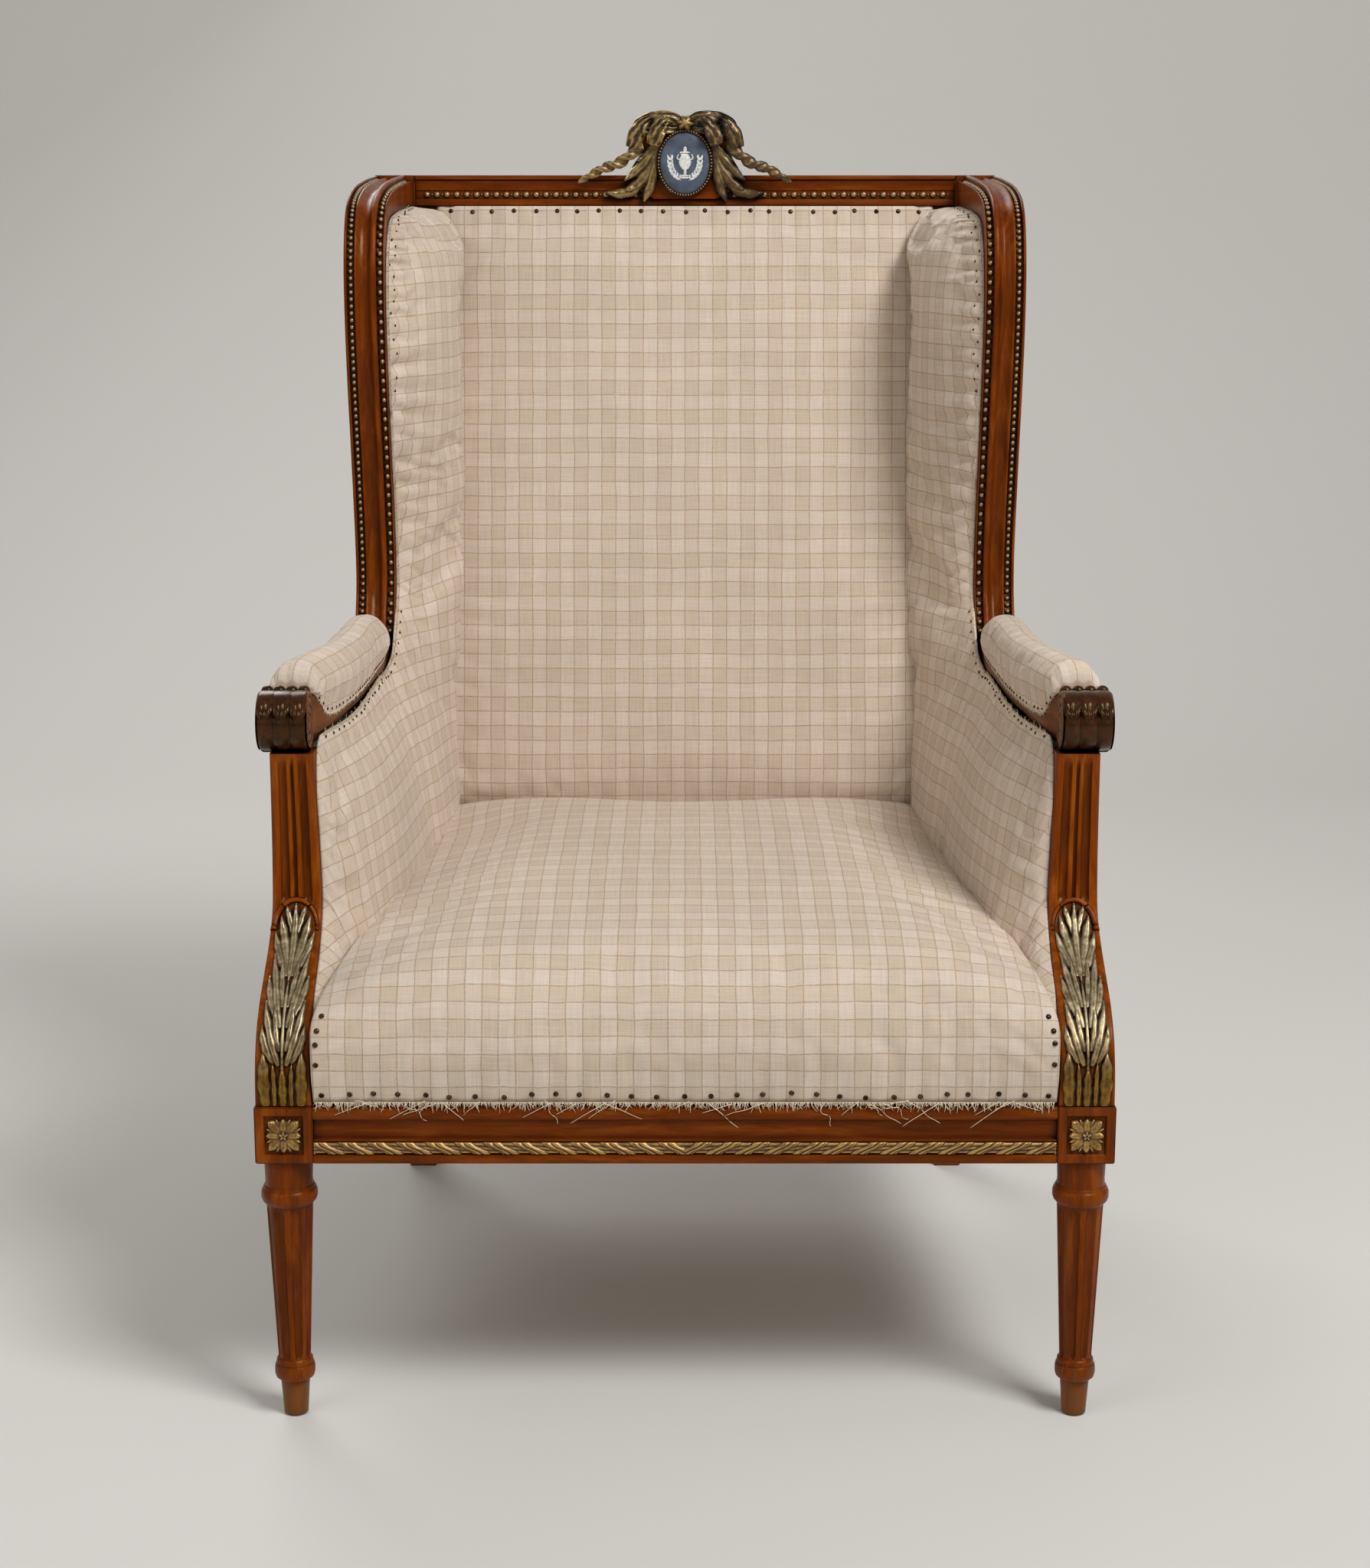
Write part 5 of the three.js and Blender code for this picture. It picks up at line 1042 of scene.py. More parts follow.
def arm_post(side):
    """The swept post, fluted above the leaf, with a raised arch round the leaf's head."""

    def place(share, column):
        across, behind = column
        front, back, inner, width, z = post_at(share)
        x = side * (inner + width * across)
        if behind:
            return x, min(back, 47.8) if z < RAIL_TOP + GAP else back, z
        flute = 3.6 * ease(z, 421, 426) * (1 - ease(share, 0.95, 1))
        edge = min(across, 1 - across) * width
        rounded = 1.8 * max(0.0, 1 - edge / 1.8) ** 2
        return x, front + flute * post_flutes(across) + rounded, z

    arch = []
    for turn in evenly(40, 0, math.pi):
        z = 402.0 + 23.0 * math.sin(turn)
        front, _, inner, width, _ = post_at(post_share(z))
        arch.append(at(side * (inner + width / 2 + (width / 2 - 2.8) * math.cos(turn)), front - 0.2, z))
    columns = [(across, False) for across in evenly(56)] + [(1, True), (0, True)]
    return gather([sweep(evenly(120), columns, place), thread(arch, 3.0 * MM, 12)])


def post_leaf(side):
    def place(x, t, relief):
        front, _, inner, width, z = post_at(post_share(BLOCK_TOP + 1.0 + t))
        return at(side * (inner + width / 2 + x * width / 43.0), front - relief, z)

    return carved_patch(41.0, 142.0, 0.5, POST_LEAF, place)


def petals(reach, width, height, count, turn):
    """Petals round the middle of a flower, as fronds."""
    tips = [(reach * math.cos(angle + turn), reach * math.sin(angle + turn)) for angle in round_turn(count)]
    return [((x * 0.1, t * 0.1), (x * 0.5, t * 0.5), (x, t), width, height) for x, t in tips]


def rosette(side, outer):
    """The carved flower that fills a block's panel, on its front or on its outer side."""
    flower = petals(17.0, 4.6, 3.2, 4, math.pi / 4) + petals(13.8, 3.9, 3.4, 4, 0)
    flower += petals(15.2, 2.0, 2.4, 8, math.pi / 8) + petals(3.6, 1.5, 4.6, 5, 0.3)

    def place(x, t, relief):
        z = BLOCK_MIDDLE - 15.0 + t
        if outer:
            return at(side * (LEG_X + BLOCK_WIDTH / 2 - PANEL_FLOOR + relief), LEG_S + x, z)
        return at(side * LEG_X + x, PANEL_FLOOR - relief, z)

    return carved_patch(31.0, 30.0, 0.5, shifted(flower, 0, 15.0), place, 0.1)


# Depth behind the rail's face, then height.
RAIL_SECTION = (
    (0.6, 231), (0, 231.8), (0, 237.6), (0.6, 238.4), (2.4, 238.8), (2.4, 249.8), (0.9, 250.3), (0.9, 251.6),
    (5.2, 252.2), (5.2, 266.4), (4.2, 267.6), (1.6, 268.4), (0.7, 269.6), (0, 272.2), (0, 275.6), (0.7, 278),
    (2.0, 279.6), (3.4, 280), (7.0, 280), (7.0, 295), (34, 295), (34, 231),
)


def front_rail():
    ends = evenly(30, -BLOCK_INNER_X, BLOCK_INNER_X)
    return sweep(ends, RAIL_SECTION, lambda x, row: (x, 1.0 + row[0], row[1]))


RIBBON_Z = 244.2
RIBBON_HALF = 5.2
RIBBON_TURN = 24.0


def gilt_ribbon():
    """A ribbon wound about a rod along the front rail, mirrored at the middle, with beads in its gaps."""
    columns, rows, half = 1100, 20, BLOCK_INNER_X - 0.6

    def place(u, v):
        x, across = lerp(-half, half, u), lerp(-RIBBON_HALF, RIBBON_HALF, v)
        rod = 3.4 * math.sqrt(max(0.0, 1 - (across / 5.3) ** 2))
        slant = across * 1.5 + 1.4 * math.sin(across / RIBBON_HALF * math.pi)
        turn = (abs(x) - slant) / RIBBON_TURN % 1
        strap = 1 - (abs(turn - 0.31) / 0.31) ** 4 if turn < 0.62 else 0.0
        bead = 0.0 if strap else 0.9 * abs(math.cos(across / RIBBON_HALF * math.pi * 1.5))
        groove = 0.9 * math.exp(-(((turn - 0.3) / 0.05) ** 2)) + 0.6 * math.exp(-(((turn - 0.5) / 0.03) ** 2))
        lift = rod * 0.5 + 2.2 * max(strap, 0.0) ** 0.5 - groove * (strap > 0.3) + bead
        return at(x, 3.6 - lift, RIBBON_Z + across)

    def behind(u, v):
        return at(lerp(-half, half, u), 4.6, RIBBON_Z + lerp(-RIBBON_HALF, RIBBON_HALF, v))

    return quilt(columns, rows, place, behind)


def smooth_loop(rows, count):
    """A closed outline through rows of coordinates, as count places."""
    wrapped = list(rows[-2:]) + list(rows) + list(rows[:2])
    last = len(wrapped) - 1
    return [read_rows(wrapped, (2 + len(rows) * k / count) / last) for k in range(count)]


ARM_SECTION = (
    (-0.5, -0.75), (-0.5, -0.45), (-0.5, -0.2), (-0.44, 0), (0, 0.01), (0.44, 0), (0.5, -0.2), (0.5, -0.6),
    (0.42, -0.85), (0.3, -1), (-0.36, -1), (-0.46, -0.85),
)


def arm_rail(side):
    def place(share, edge):
        s = lerp(SCROLL_S, stile_front(ARM_TOP - ARM_THICKNESS) - GAP, share)
        z = ARM_TOP + arm_depth(share) * edge[1]
        if s < SCROLL_S + 20.0:
            z = max(z, POST_HEAD_Z + GAP)
        wide = arm_width(s) - 5.0 * (1 - ease(s, SCROLL_S + 20.0, SCROLL_S + 34.0))
        return side * (arm_middle(s) + wide * edge[0]), s, z

    return sweep(evenly(70), smooth_loop(ARM_SECTION, 48), place)


def volute_groove(radius, angle):
    """Depth of the spiral cut on the side of a scroll."""
    lines = (4.5 + 7.6 * (angle / (2 * math.pi) + turn) for turn in range(3))
    depth = max(math.exp(-(((radius - line) / 1.1) ** 2)) for line in lines)
    return 2.6 * depth * ease(radius, 3.0, 5.0) * (1 - ease(radius, 21.0, 23.0))


def scroll_radius(across, angle, edge):
    """Radius of the roll's face: a plain drum under a leaf that ends in three curled lobes."""
    lobe = abs(math.sin(3 * math.pi * across)) ** 0.5
    turn = (angle + math.pi / 2) % (2 * math.pi) - math.pi / 2
    foot = lerp(0.62, 0.16, lobe)
    over = ease(turn, foot - 0.05, foot + 0.05)
    drum = 24.6 - 1.4 * (1 - lobe)
    leaf = 28.0 - lerp(3.2, 0.5, ease(turn, foot, 1.35)) * (1 - lobe)
    leaf -= 1.3 * ease(turn, foot + 0.2, foot + 0.5)
    ribs = 0.5 - 0.5 * math.cos(24 * math.pi * across + 1.2 * math.sin(3 * turn))
    leaf -= 1.5 * ribs * lobe * (1 - ease(turn, foot + 0.35, foot + 0.7))
    return lerp(drum, leaf, over) - 1.2 * (1 - ease(edge, 0, 2.2))


def arm_scroll(side):
    """The roll at the arm's end: a leaf with three lobes over its front and a spiral on each side."""
    half = SCROLL_WIDTH / 2
    profile = [(-half, r) for r in evenly(44, 0, 24.0)]
    profile += [(x, None) for x in evenly(96, -half, half)]
    profile += [(half, r) for r in evenly(44, 24.0, 0)]

    def place(row, angle):
        x, r = row
        if r is None:
            r = scroll_radius((x + half) / SCROLL_WIDTH, angle, min(x + half, half - x))
        else:
            x = math.copysign(abs(x) - volute_groove(r, angle), x)
        return side * (SCROLL_X + x), SCROLL_S - r * math.cos(angle), SCROLL_Z + r * math.sin(angle)

    parts = [sweep(profile, round_turn(200), place)]
    for k in range(4):
        x = side * (SCROLL_X - 15.5 + 10.4 * k)
        parts.append(dome(at(x, 150.0, 601.5), Vector((0, -0.25, 1)), 5.4 * MM, 4.6 * MM, 14, 5))
    return gather(parts)


# Share of the way from the front of the wing to the stile, then share of the height above the arm.
WING_LINE = (
    (-0.02, -0.12), (0.1, 0.02), (0.185, 0.11), (0.18, 0.22), (0.11, 0.4), (0.03, 0.58), (0, 0.73), (0.03, 0.84),
    (0.14, 0.925), (0.36, 0.968), (0.68, 0.99), (1, 1),
)
# Share of the width from the outer side, then share of the depth below the highest line.
WING_SECTION = (
    (0, 1), (0, 0.5), (0, 0.16), (0.012, 0.06), (0.045, 0.02), (0.075, 0.05), (0.09, 0.17), (0.17, 0.18),
    (0.245, 0.17), (0.262, 0.09), (0.3, 0.08), (0.34, 0.12), (0.42, 0.19), (0.52, 0.22), (0.6, 0.18), (0.65, 0.08),
    (0.69, 0.01), (0.73, 0), (0.78, 0.02), (0.8, 0.1), (0.815, 0.24), (0.89, 0.26), (0.95, 0.25), (0.965, 0.19),
    (1, 0.21), (1, 0.5), (1, 1),
)


def wing_stations(side, count):
    """Places and outward directions at even steps along a wing's highest line."""
    fine = []
    for i in range(801):
        back, up = read_rows(WING_LINE, i / 800)
        s = lerp(WING_FRONT_S, STILE_TOP_S, back)
        fine.append(Vector((side * wing_outer(s), s, lerp(ARM_TOP, STILE_TOP, up))))
    length = sum((b - a).length for a, b in zip(fine, fine[1:]))
    steps = along_path(fine, length / count - 1e-6)
    made = [(place, Vector((0, -along.z, along.y)).normalized()) for place, along in steps]
    made[-1] = (made[-1][0], Vector((0, 0, 1)))
    return made


def wing_point(side, place, out, across, deep):
    p = place - out * deep * WING_DEPTH
    p.x -= side * across * WING_WIDTH
    return p


def wing_moulding(side):
    def place(station, share):
        p = wing_point(side, *station, *read_rows(WING_SECTION, share))
        return p.x, min(p.y, stile_front(p.z) - GAP), max(p.z, ARM_TOP)

    return sweep(wing_stations(side, 170), evenly(104), place)


def wing_beads(side):
    parts = []
    for pitch, across, deep, radius in ((6.0, 0.17, 0.165, 2.5), (9.0, 0.885, 0.235, 2.8)):
        places = [(at(*p), p, out) for p, out in wing_stations(side, 700)]
        walked, want = 0.0, 4.0
        for (a, p, out), (b, _, _) in zip(places, places[1:]):
            walked += (b - a).length / MM
            if walked < want or p.z < ARM_TOP + 6.0 or p.y > 640.0:
                continue
            want = walked + pitch
            middle = at(*wing_point(side, p, out, across, deep))
            parts.append(dome(middle, out, radius * MM, radius * 1.15 * MM, 10, 4))
    return gather(parts)


TOP_SECTION = (
    (6, 1002), (6, 1007), (2.6, 1007), (2.1, 1007.6), (2.1, 1013.2), (2.6, 1013.8), (4.6, 1014.2), (4.6, 1021.8),
    (3.7, 1022.2), (3.6, 1023.6), (3.2, 1026), (2.2, 1028.6), (0.9, 1030.6), (0.7, 1031.2), (2.0, 1031.5),
    (2.0, 1032.5), (0.3, 1032.9), (0, 1033.8), (0.2, 1035.6), (1.4, 1037), (34, 1037), (34, 985), (14, 985),
    (14, 1002),
)


def top_moulding():
    def place(turn, row):
        return turn * (stile_inner(row[1]) - GAP), stile_front(row[1]) + row[0], row[1]

    return sweep(evenly(40, -1, 1), TOP_SECTION, place)


TOP_BEAD_Z = 1018.0
TOP_BEAD_PITCH = 10.0


def top_beads():
    """Large beads 10 mm apart along the top rail, with a small one in each gap."""
    parts = []
    for k in range(-26, 27):
        middle = at(k * TOP_BEAD_PITCH, stile_front(TOP_BEAD_Z) + 4.6, TOP_BEAD_Z)
        parts.append(dome(middle, Vector((0, -1, 0.1)), 3.3 * MM, 3.6 * MM, 12, 5))
        between = middle + Vector((TOP_BEAD_PITCH / 2 * MM, 0, 0))
        parts.append(dome(between, Vector((0, -1, 0)), 1.2 * MM, 1.4 * MM, 6, 3))
    return gather(parts)


# Crest: bow, twisted tails and leaves round an oval stoneware plaque

CREST_RISE = CREST_TOP - PLAQUE_Z
# Across, height over the plaque's middle, stand-out, width and roll in turns.
BOW_STRAPS = (
    (
        (4, 40, 5, 9, 0), (13, 44, 8, 12, 0.04), (25, 44, 9, 13, -0.05), (36, 43, 8, 13, 0.06), (46, 38, 6, 12, 0.1),
        (50, 30, 4, 9, 0.15),
    ),
    ((6, 34, 3, 7, 0), (17, 33, 4, 10, -0.06), (30, 33, 4, 12, 0.05), (42, 32, 4, 12, 0)),
    ((17, 43, 9, 6, 0), (23, 38, 12, 12, 0.05), (28, 29, 13, 17, -0.04), (32, 18, 9, 13, 0.04)),
    ((36, 43, 9, 6, 0), (43, 37, 13, 12, -0.06), (49, 27, 12, 17, 0.05), (53, 15, 7, 12, 0)),
)
# Across, height over the plaque's middle, stand-out, width and turns of the twist.
TAIL_LINE = (
    (42, 17, 5, 13, 0), (52, 11, 6, 14, 0.3), (61, 3, 6, 13, 0.65), (71, -2, 6, 12, 1.0), (81, -5, 6, 11, 1.4),
    (91, -10, 5, 10, 1.8), (100, -15, 5, 7, 2.15), (107, -19, 4, 3, 2.4),
)
CREST_LEAF = (
    ((27, 24), (30, 2), (37, -22), 5.4, 5.0), ((28, 10), (32, -18), (41, -37), 5.6, 6.4),
    ((31, 4), (42, -22), (60, -27), 6.2, 6.6), ((40, -16), (54, -34), (78, -29), 5.0, 6.0),
    ((31, 14), (42, -4), (60, -17), 5.2, 6.6), ((29, 20), (38, 6), (48, 2), 4.6, 5.4),
)


def strap(side, rows, count, thickness, pleat):
    """A ribbon carried along rows of places, rolled about its own length and creased along it."""
    seed = rows[0][0]
    rings = []
    for u in evenly(count):
        x, up, out, width, roll = read_rows(rows, u)
        before, after = read_rows(rows, max(u - 0.02, 0)), read_rows(rows, min(u + 0.02, 1))
        along = Vector((after[0] - before[0], before[2] - after[2], after[1] - before[1])).normalized()
        face = Matrix.Rotation(2 * math.pi * roll, 3, along) @ Vector((0, -1, 0))
        across = along.cross(face).normalized()
        face = across.cross(along)
        middle = Vector((x, CREST_FACE_S - out, PLAQUE_Z + up))
        ring = []
        for v in evenly(14, -1, 1):
            lift = thickness * (1 - 0.6 * v * v) + pleat * math.cos(2.2 * math.pi * v + 3 * u) * (1 - v * v) ** 0.3
            lift += 3.0 * abs(ripple(u * 3.2, v * 1.3, seed + 1)) + 1.0 * ripple(u * 8, v * 3, seed)
            ring.append(middle + across * v * width / 2 * (1 + 0.12 * ripple(u * 7.0, v, seed)) + face * lift)
        for v in evenly(8, 1, -1):
            ring.append(middle + across * v * width / 2 * 0.96 - face * thickness * (0.5 - 0.3 * v * v))
        rings.append([at(side * p.x, p.y, p.z) for p in ring])
    return loft(rings)


def twisted_tail(side):
    """A ribbon's end wound up on itself, so that its folds run slantwise."""

    def place(u, angle):
        x, up, out, width, turns = read_rows(TAIL_LINE, u)
        turned = angle + 2 * math.pi * turns
        r = width / 2 * (0.62 + 0.38 * abs(math.cos(turned)) ** 1.5 - 0.1 * abs(math.cos(3 * turned)))
        s = CREST_FACE_S - out + 0.7 * r * math.cos(angle)
        return side * (x + 0.35 * r * math.sin(angle)), s, PLAQUE_Z + up + r * math.sin(angle)

    return sweep(evenly(120), round_turn(40), place)


def crest_knot():
    def place(turn, angle):
        r = math.sin(turn) * (1 + 0.13 * math.cos(6 * angle + 1.1 * math.sin(turn * 2)))
        s = CREST_FACE_S - 4 - 8.5 * math.cos(turn)
        return 9.2 * r * math.cos(angle), s, PLAQUE_Z + 39 + 7.2 * r * math.sin(angle)

    return sweep(evenly(24, 0, math.pi), round_turn(48), place)


def crest_ground():
    half = ((0.3, -0.78), (0.5, -0.5), (0.5, -0.1), (0.42, 0.2), (0.44, 0.66), (0.34, 0.86), (0.14, 0.9), (0, 0.84))
    places = [(across * CREST_HALF, PLAQUE_Z + up * CREST_RISE) for across, up in half]
    outline = places + [(-x, z) for x, z in places[-2::-1]]
    # Depth of each ring, and how far it is drawn in towards the middle
    depths = ((CREST_FACE_S + 0.6, 1.2), (CREST_FACE_S + 1.4, 0), (STILE_TOP_S + 16.5, 0), (STILE_TOP_S + 18, 1.5))
    return sweep(depths, outline, lambda row, p: (p[0] - math.copysign(row[1], p[0]) * (p[0] != 0), row[0], p[1]))


def crest_leaf(side):
    middle, foot = 51.0, -44.0

    def place(x, t, relief):
        return at(side * (x + middle), CREST_FACE_S + 1.0 - relief, PLAQUE_Z + foot + t)

    return carved_patch(64.0, 72.0, 0.6, shifted(CREST_LEAF, -middle, -foot), place, -0.8, 5.0)


def around_oval(inset, count, share=1.0):
    """Places across and up round an oval, set in from the outside of the bezel."""
    half_x, half_z = (BEZEL_WIDTH / 2 - inset) * share, (BEZEL_HEIGHT / 2 - inset) * share
    return [(half_x * math.cos(angle), half_z * math.sin(angle)) for angle in round_turn(count)]


BEZEL_BACK_S = CREST_FACE_S - 2 * GAP
PLAQUE_INSET = 3.4
BEZEL_POINTS = 96
# Offset from the line of the beads, then depth before the back of the bezel.
BEZEL_SECTION = (
    (1.8, 0), (1.8, 4.6), (1.4, 5.6), (1.0, 5.8), (0.8, 4.6), (-1.1, 4.5), (-1.3, 5.2), (-1.7, 5.2), (-1.8, 0),
)


def bezel_ring():
    ovals = [(deep, around_oval(1.8 - out, BEZEL_POINTS)) for out, deep in BEZEL_SECTION]
    points, faces = loft([[at(x, BEZEL_BACK_S - deep, PLAQUE_Z + z) for x, z in oval] for deep, oval in ovals], False)
    last = len(points) - BEZEL_POINTS
    for k in range(BEZEL_POINTS):
        after = (k + 1) % BEZEL_POINTS
        faces.append((last + k, last + after, after, k))
    return points, faces


def bezel_beads():
    places = [at(x, BEZEL_BACK_S - 4.6, PLAQUE_Z + z) for x, z in around_oval(1.9, 61)]
    return gather(dome(place, Vector((0, -1, 0)), 1.15 * MM, 1.3 * MM, 8, 3) for place in places)


def plaque_body():
    rings = []
    for share, deep in ((1, 0), (1, 3.4), (0.97, 3.9), (0.75, 4.4), (0.45, 4.8), (0.15, 5.0)):
        rings.append([at(x, BEZEL_BACK_S - deep, PLAQUE_Z + z) for x, z in around_oval(PLAQUE_INSET, 72, share)])
    return loft(rings)


def plaque_relief():
    """An urn between two laurel sprays, in low relief."""
    urn = [
        ((0, -3), (0, 1), (0, 6), 5.6, 1.5), ((-3.6, 8), (0, 7.4), (3.6, 8), 1.1, 1.2),
        ((-4.8, 10), (0, 10.6), (4.8, 10), 1.0, 1.3), ((0, 11), (0, 13), (0, 15.5), 1.6, 1.1),
        ((0, -12), (0, -9), (0, -6), 1.5, 1.1), ((-3.4, -12.6), (0, -12.4), (3.4, -12.6), 1.0, 1.2),
        ((-5.6, -14.6), (0, -14.6), (5.6, -14.6), 0.9, 1.0),
    ]
    sprays = [((5, 3), (10, 4), (6.2, 8.5), 0.7, 0.9), ((4, -17), (17, -13), (14, 8), 0.5, 0.7)]
    for k in range(7):
        u = 0.1 + 0.13 * k
        x, z = ((1 - u) ** 2 * a + 2 * u * (1 - u) * b + u * u * c for a, b, c in ((4, 17, 14), (-17, -13, 8)))
        sprays.append(((x, z), (x + 2.4, z + 0.6), (x + 3.0, z + 4.4), 1.15, 0.9))
        sprays.append(((x, z), (x - 2.2, z + 1.6), (x - 1.6, z + 4.8), 1.1, 0.9))
    half_x, half_z = BEZEL_WIDTH / 2 - PLAQUE_INSET, BEZEL_HEIGHT / 2 - PLAQUE_INSET

    def place(x, t, relief):
        z = t - 20.0
        ground = 5.0 - 1.1 * ((x / half_x) ** 2 + (z / half_z) ** 2)
        return at(x, BEZEL_BACK_S - ground - 0.5 * relief, PLAQUE_Z + z)

    return carved_patch(42.0, 38.0, 0.28, shifted(urn + both_ways(sprays), 0, 20.0), place, -0.4, 1.2)


# Nails, frayed edges and the cloth that closes the outside


def surface_of(piece):
    mesh = piece.data
    return BVHTree.FromPolygons([v.co for v in mesh.vertices], [tuple(f.vertices) for f in mesh.polygons])


def ahead(surface, x, s, z):
    """The place and the normal of a surface straight behind a point in front of the chair."""
    place, normal, _, _ = surface.ray_cast(at(x, s, z), Vector((0, 1, 0)))
    if place is None:
        raise RuntimeError(f"no cloth behind {x:.0f}, {z:.0f}")
    return place, normal


def nail_heads(places, size):
    """Domed heads, each a little tipped, standing on their places."""
    dice = random.Random(5)
    parts = []
    for place, out in places:
        tipped = out + Vector((dice.uniform(-0.14, 0.14), 0, dice.uniform(-0.14, 0.14)))
        parts.append(dome(place + out * 0.1 * MM, tipped, size / 2, size * 0.3, 14, 5))
    return gather(parts)


# Heights of the nails under the seat's crown and under the top rail, and depths in front of all the cloth there
SEAT_NAIL_Z = RAIL_TOP - 5.6
BACK_NAIL_Z = 1001.6
SEAT_CLEAR_S = -40.0
BACK_CLEAR_S = 380.0


def front_nail_places(surface, pitch):
    dice = random.Random(11)
    places = []
    count = round(2 * (BLOCK_INNER_X - 8.0) * MM / pitch)
    for k in range(count + 1):
        x = lerp(-BLOCK_INNER_X + 8.0, BLOCK_INNER_X - 8.0, k / count) + dice.uniform(-2.2, 2.2) * (0 < k < count)
        z = SEAT_NAIL_Z + 1.6 * math.sin(k * 0.8) + dice.uniform(-0.9, 0.9)
        places.append(ahead(surface, x, SEAT_CLEAR_S, z))
    for side in (-1, 1):
        for x, z in ((302.6, 316), (302.4, 335), (301.2, 347), (297.5, 357)):
            places.append(ahead(surface, side * x, SEAT_CLEAR_S, z + dice.uniform(-1.5, 1.5)))
    return places


def back_nail_places(surface, pitch):
    dice = random.Random(12)
    places = []
    half = BACK_PAD_HALF - 14.0
    count = round(2 * half * MM / pitch)
    for k in range(count + 1):
        x = lerp(-half, half, k / count) + dice.uniform(-1.6, 1.6)
        places.append(ahead(surface, x, BACK_CLEAR_S, BACK_NAIL_Z + dice.uniform(-0.9, 0.9)))
    return places


def frayed_edge(edge, dice, step, shortest, longest, radius, lie):
    """Loose yarns along an edge, given as places with the direction that they hang in.

    lie is the direction off the wood that carries them.
    """
    parts = []
    for place, along in along_path([p for p, _ in edge], step * MM):
        nearest = min(edge, key=lambda row: (row[0] - place).length_squared)
        hang = nearest[1]
        length = lerp(shortest, longest, dice.random() ** 2.4) * MM
        lean = along * dice.gauss(0, 0.35)
        curl = dice.gauss(0, 0.5)
        path = []
        at_now = place - hang * 1.2 * MM + lie * 0.35 * MM
        heading = (hang + lean).normalized()
        for _ in range(6):
            path.append(at_now.copy())
            heading = (heading + along * curl * 0.28 + lie * dice.gauss(0.02, 0.07)).normalized()
            at_now = at_now + heading * length / 5
        parts.append(thread(path, radius * MM * dice.uniform(0.8, 1.2)))
    return parts


def front_fringe():
    """The frayed lower edge of the seat's cover, with a few long yarns that have come loose."""
    dice = random.Random(21)
    down, out = Vector((0, 0.1, -1)).normalized(), Vector((0, -1, 0))
    edge = [(at(x, 0.9, RAIL_TOP - 11.6), down) for x in evenly(240, -304.0, 304.0)]
    parts = frayed_edge(edge, dice, 0.62, 3.0, 10.0, 0.33, out)
    for _ in range(34):
        start = at(dice.uniform(-300.0, 300.0), -0.6, RAIL_TOP - 10.5 + dice.uniform(-1, 2))
        heading = Vector((dice.choice((-1, 1)) * dice.uniform(0.5, 1.2), 0.0, -dice.uniform(0.25, 0.8)))
        length = dice.uniform(10.0, 38.0) * MM
        turn = dice.gauss(0, 0.5)
        path = [start]
        for k in range(14):
            swing = turn * math.sin(k * 0.7 + turn * 5)
            heading = Vector((heading.x + swing * 0.5, 0.0, heading.z + 0.3 * swing)).normalized()
            step = path[-1] + heading * length / 14
            depth = FRONT_Y + (-0.9 if step.z > (RAIL_TOP - 15.0) * MM else 0.1) * MM
            step.y = lerp(path[-1].y, depth, 0.5)
            path.append(step)
        parts.append(thread(path, 0.34 * MM, 4))
    return gather(parts)


def side_edge_line(side, inset, first, last, count=420):
    """Places on a side's cover at a distance in millimetres from its tacked edge."""
    edges = side_edges()
    line = []
    for k in range(count + 1):
        share = lerp(first, last, k / count)
        _, s0, z0 = side_place(edges, share, 0.0, side)
        _, s1, z1 = side_place(edges, share, 1.0, side)
        line.append(at(*side_place(edges, share, inset / math.hypot(s1 - s0, z1 - z0), side)))
    return line


def side_trim(side):
    """Nails near the tacked edge of a side's cover, and the yarns that stand out past it."""
    inside, edge = side_edge_line(side, 5.0, 0.27, 0.985), side_edge_line(side, 0.0, 0.27, 0.985)
    off = Vector((-side, 0, 0))
    hung = []
    for near, far in zip(edge, inside):
        step = near - far
        step.x = 0
        hung.append((near + off * 0.8 * MM, step.normalized()))
    dice = random.Random(31 + side)
    yarns = frayed_edge(hung, dice, 0.85, 1.5, 8.0, 0.3, off)
    heads = []
    for first, last in ((0.27, 0.5), (0.7, 0.97)):
        for place, _ in along_path(side_edge_line(side, 3.4, first, last), 13.6 * MM, 3 * MM):
            heads.append((place + off * 0.4 * MM, off))
    return yarns, heads


def arm_skirt_line(side, edge):
    """The lower edge of an arm pad's cover, on its inner or outer side (edge 0 or 1), from the front."""
    rings, _ = arm_pad_rings(side)
    low, high = ((0, 5), (ARM_PAD_AROUND, ARM_PAD_AROUND - 5))[edge]
    return [(ring[low], ring[high]) for ring in rings]


def arm_trim(side):
    dice = random.Random(41 + side)
    yarns, heads = [], []
    for edge in (0, 1):
        line = arm_skirt_line(side, edge)[6:]
        off = Vector(((-side if edge == 0 else side), 0, 0))
        hung = [(low + off * 0.3 * MM, (low - high).normalized()) for low, high in line]
        yarns += frayed_edge(hung, dice, 0.9, 1.2, 5.0, 0.28, off)
        rows = [low.lerp(high, 0.5) for low, high in line]
        heads += [(place + off * 0.3 * MM, off) for place, _ in along_path(rows, 9.2 * MM, 4 * MM)]
    return yarns, heads


# Cloth, webbing and springs behind the pads

SHEET = 1.5
TACK_LIP = 15.0
TACK_SETBACK = 7.0
STILE_DEPTH = 38.0
HESSIAN_RISE = 42.0


def side_rail_x(s):
    return lerp(360.5, STILE_SEAT_X + STILE_WIDTH - 1.0, (s - 48.0) / (STILE_SEAT_S - 48.0))


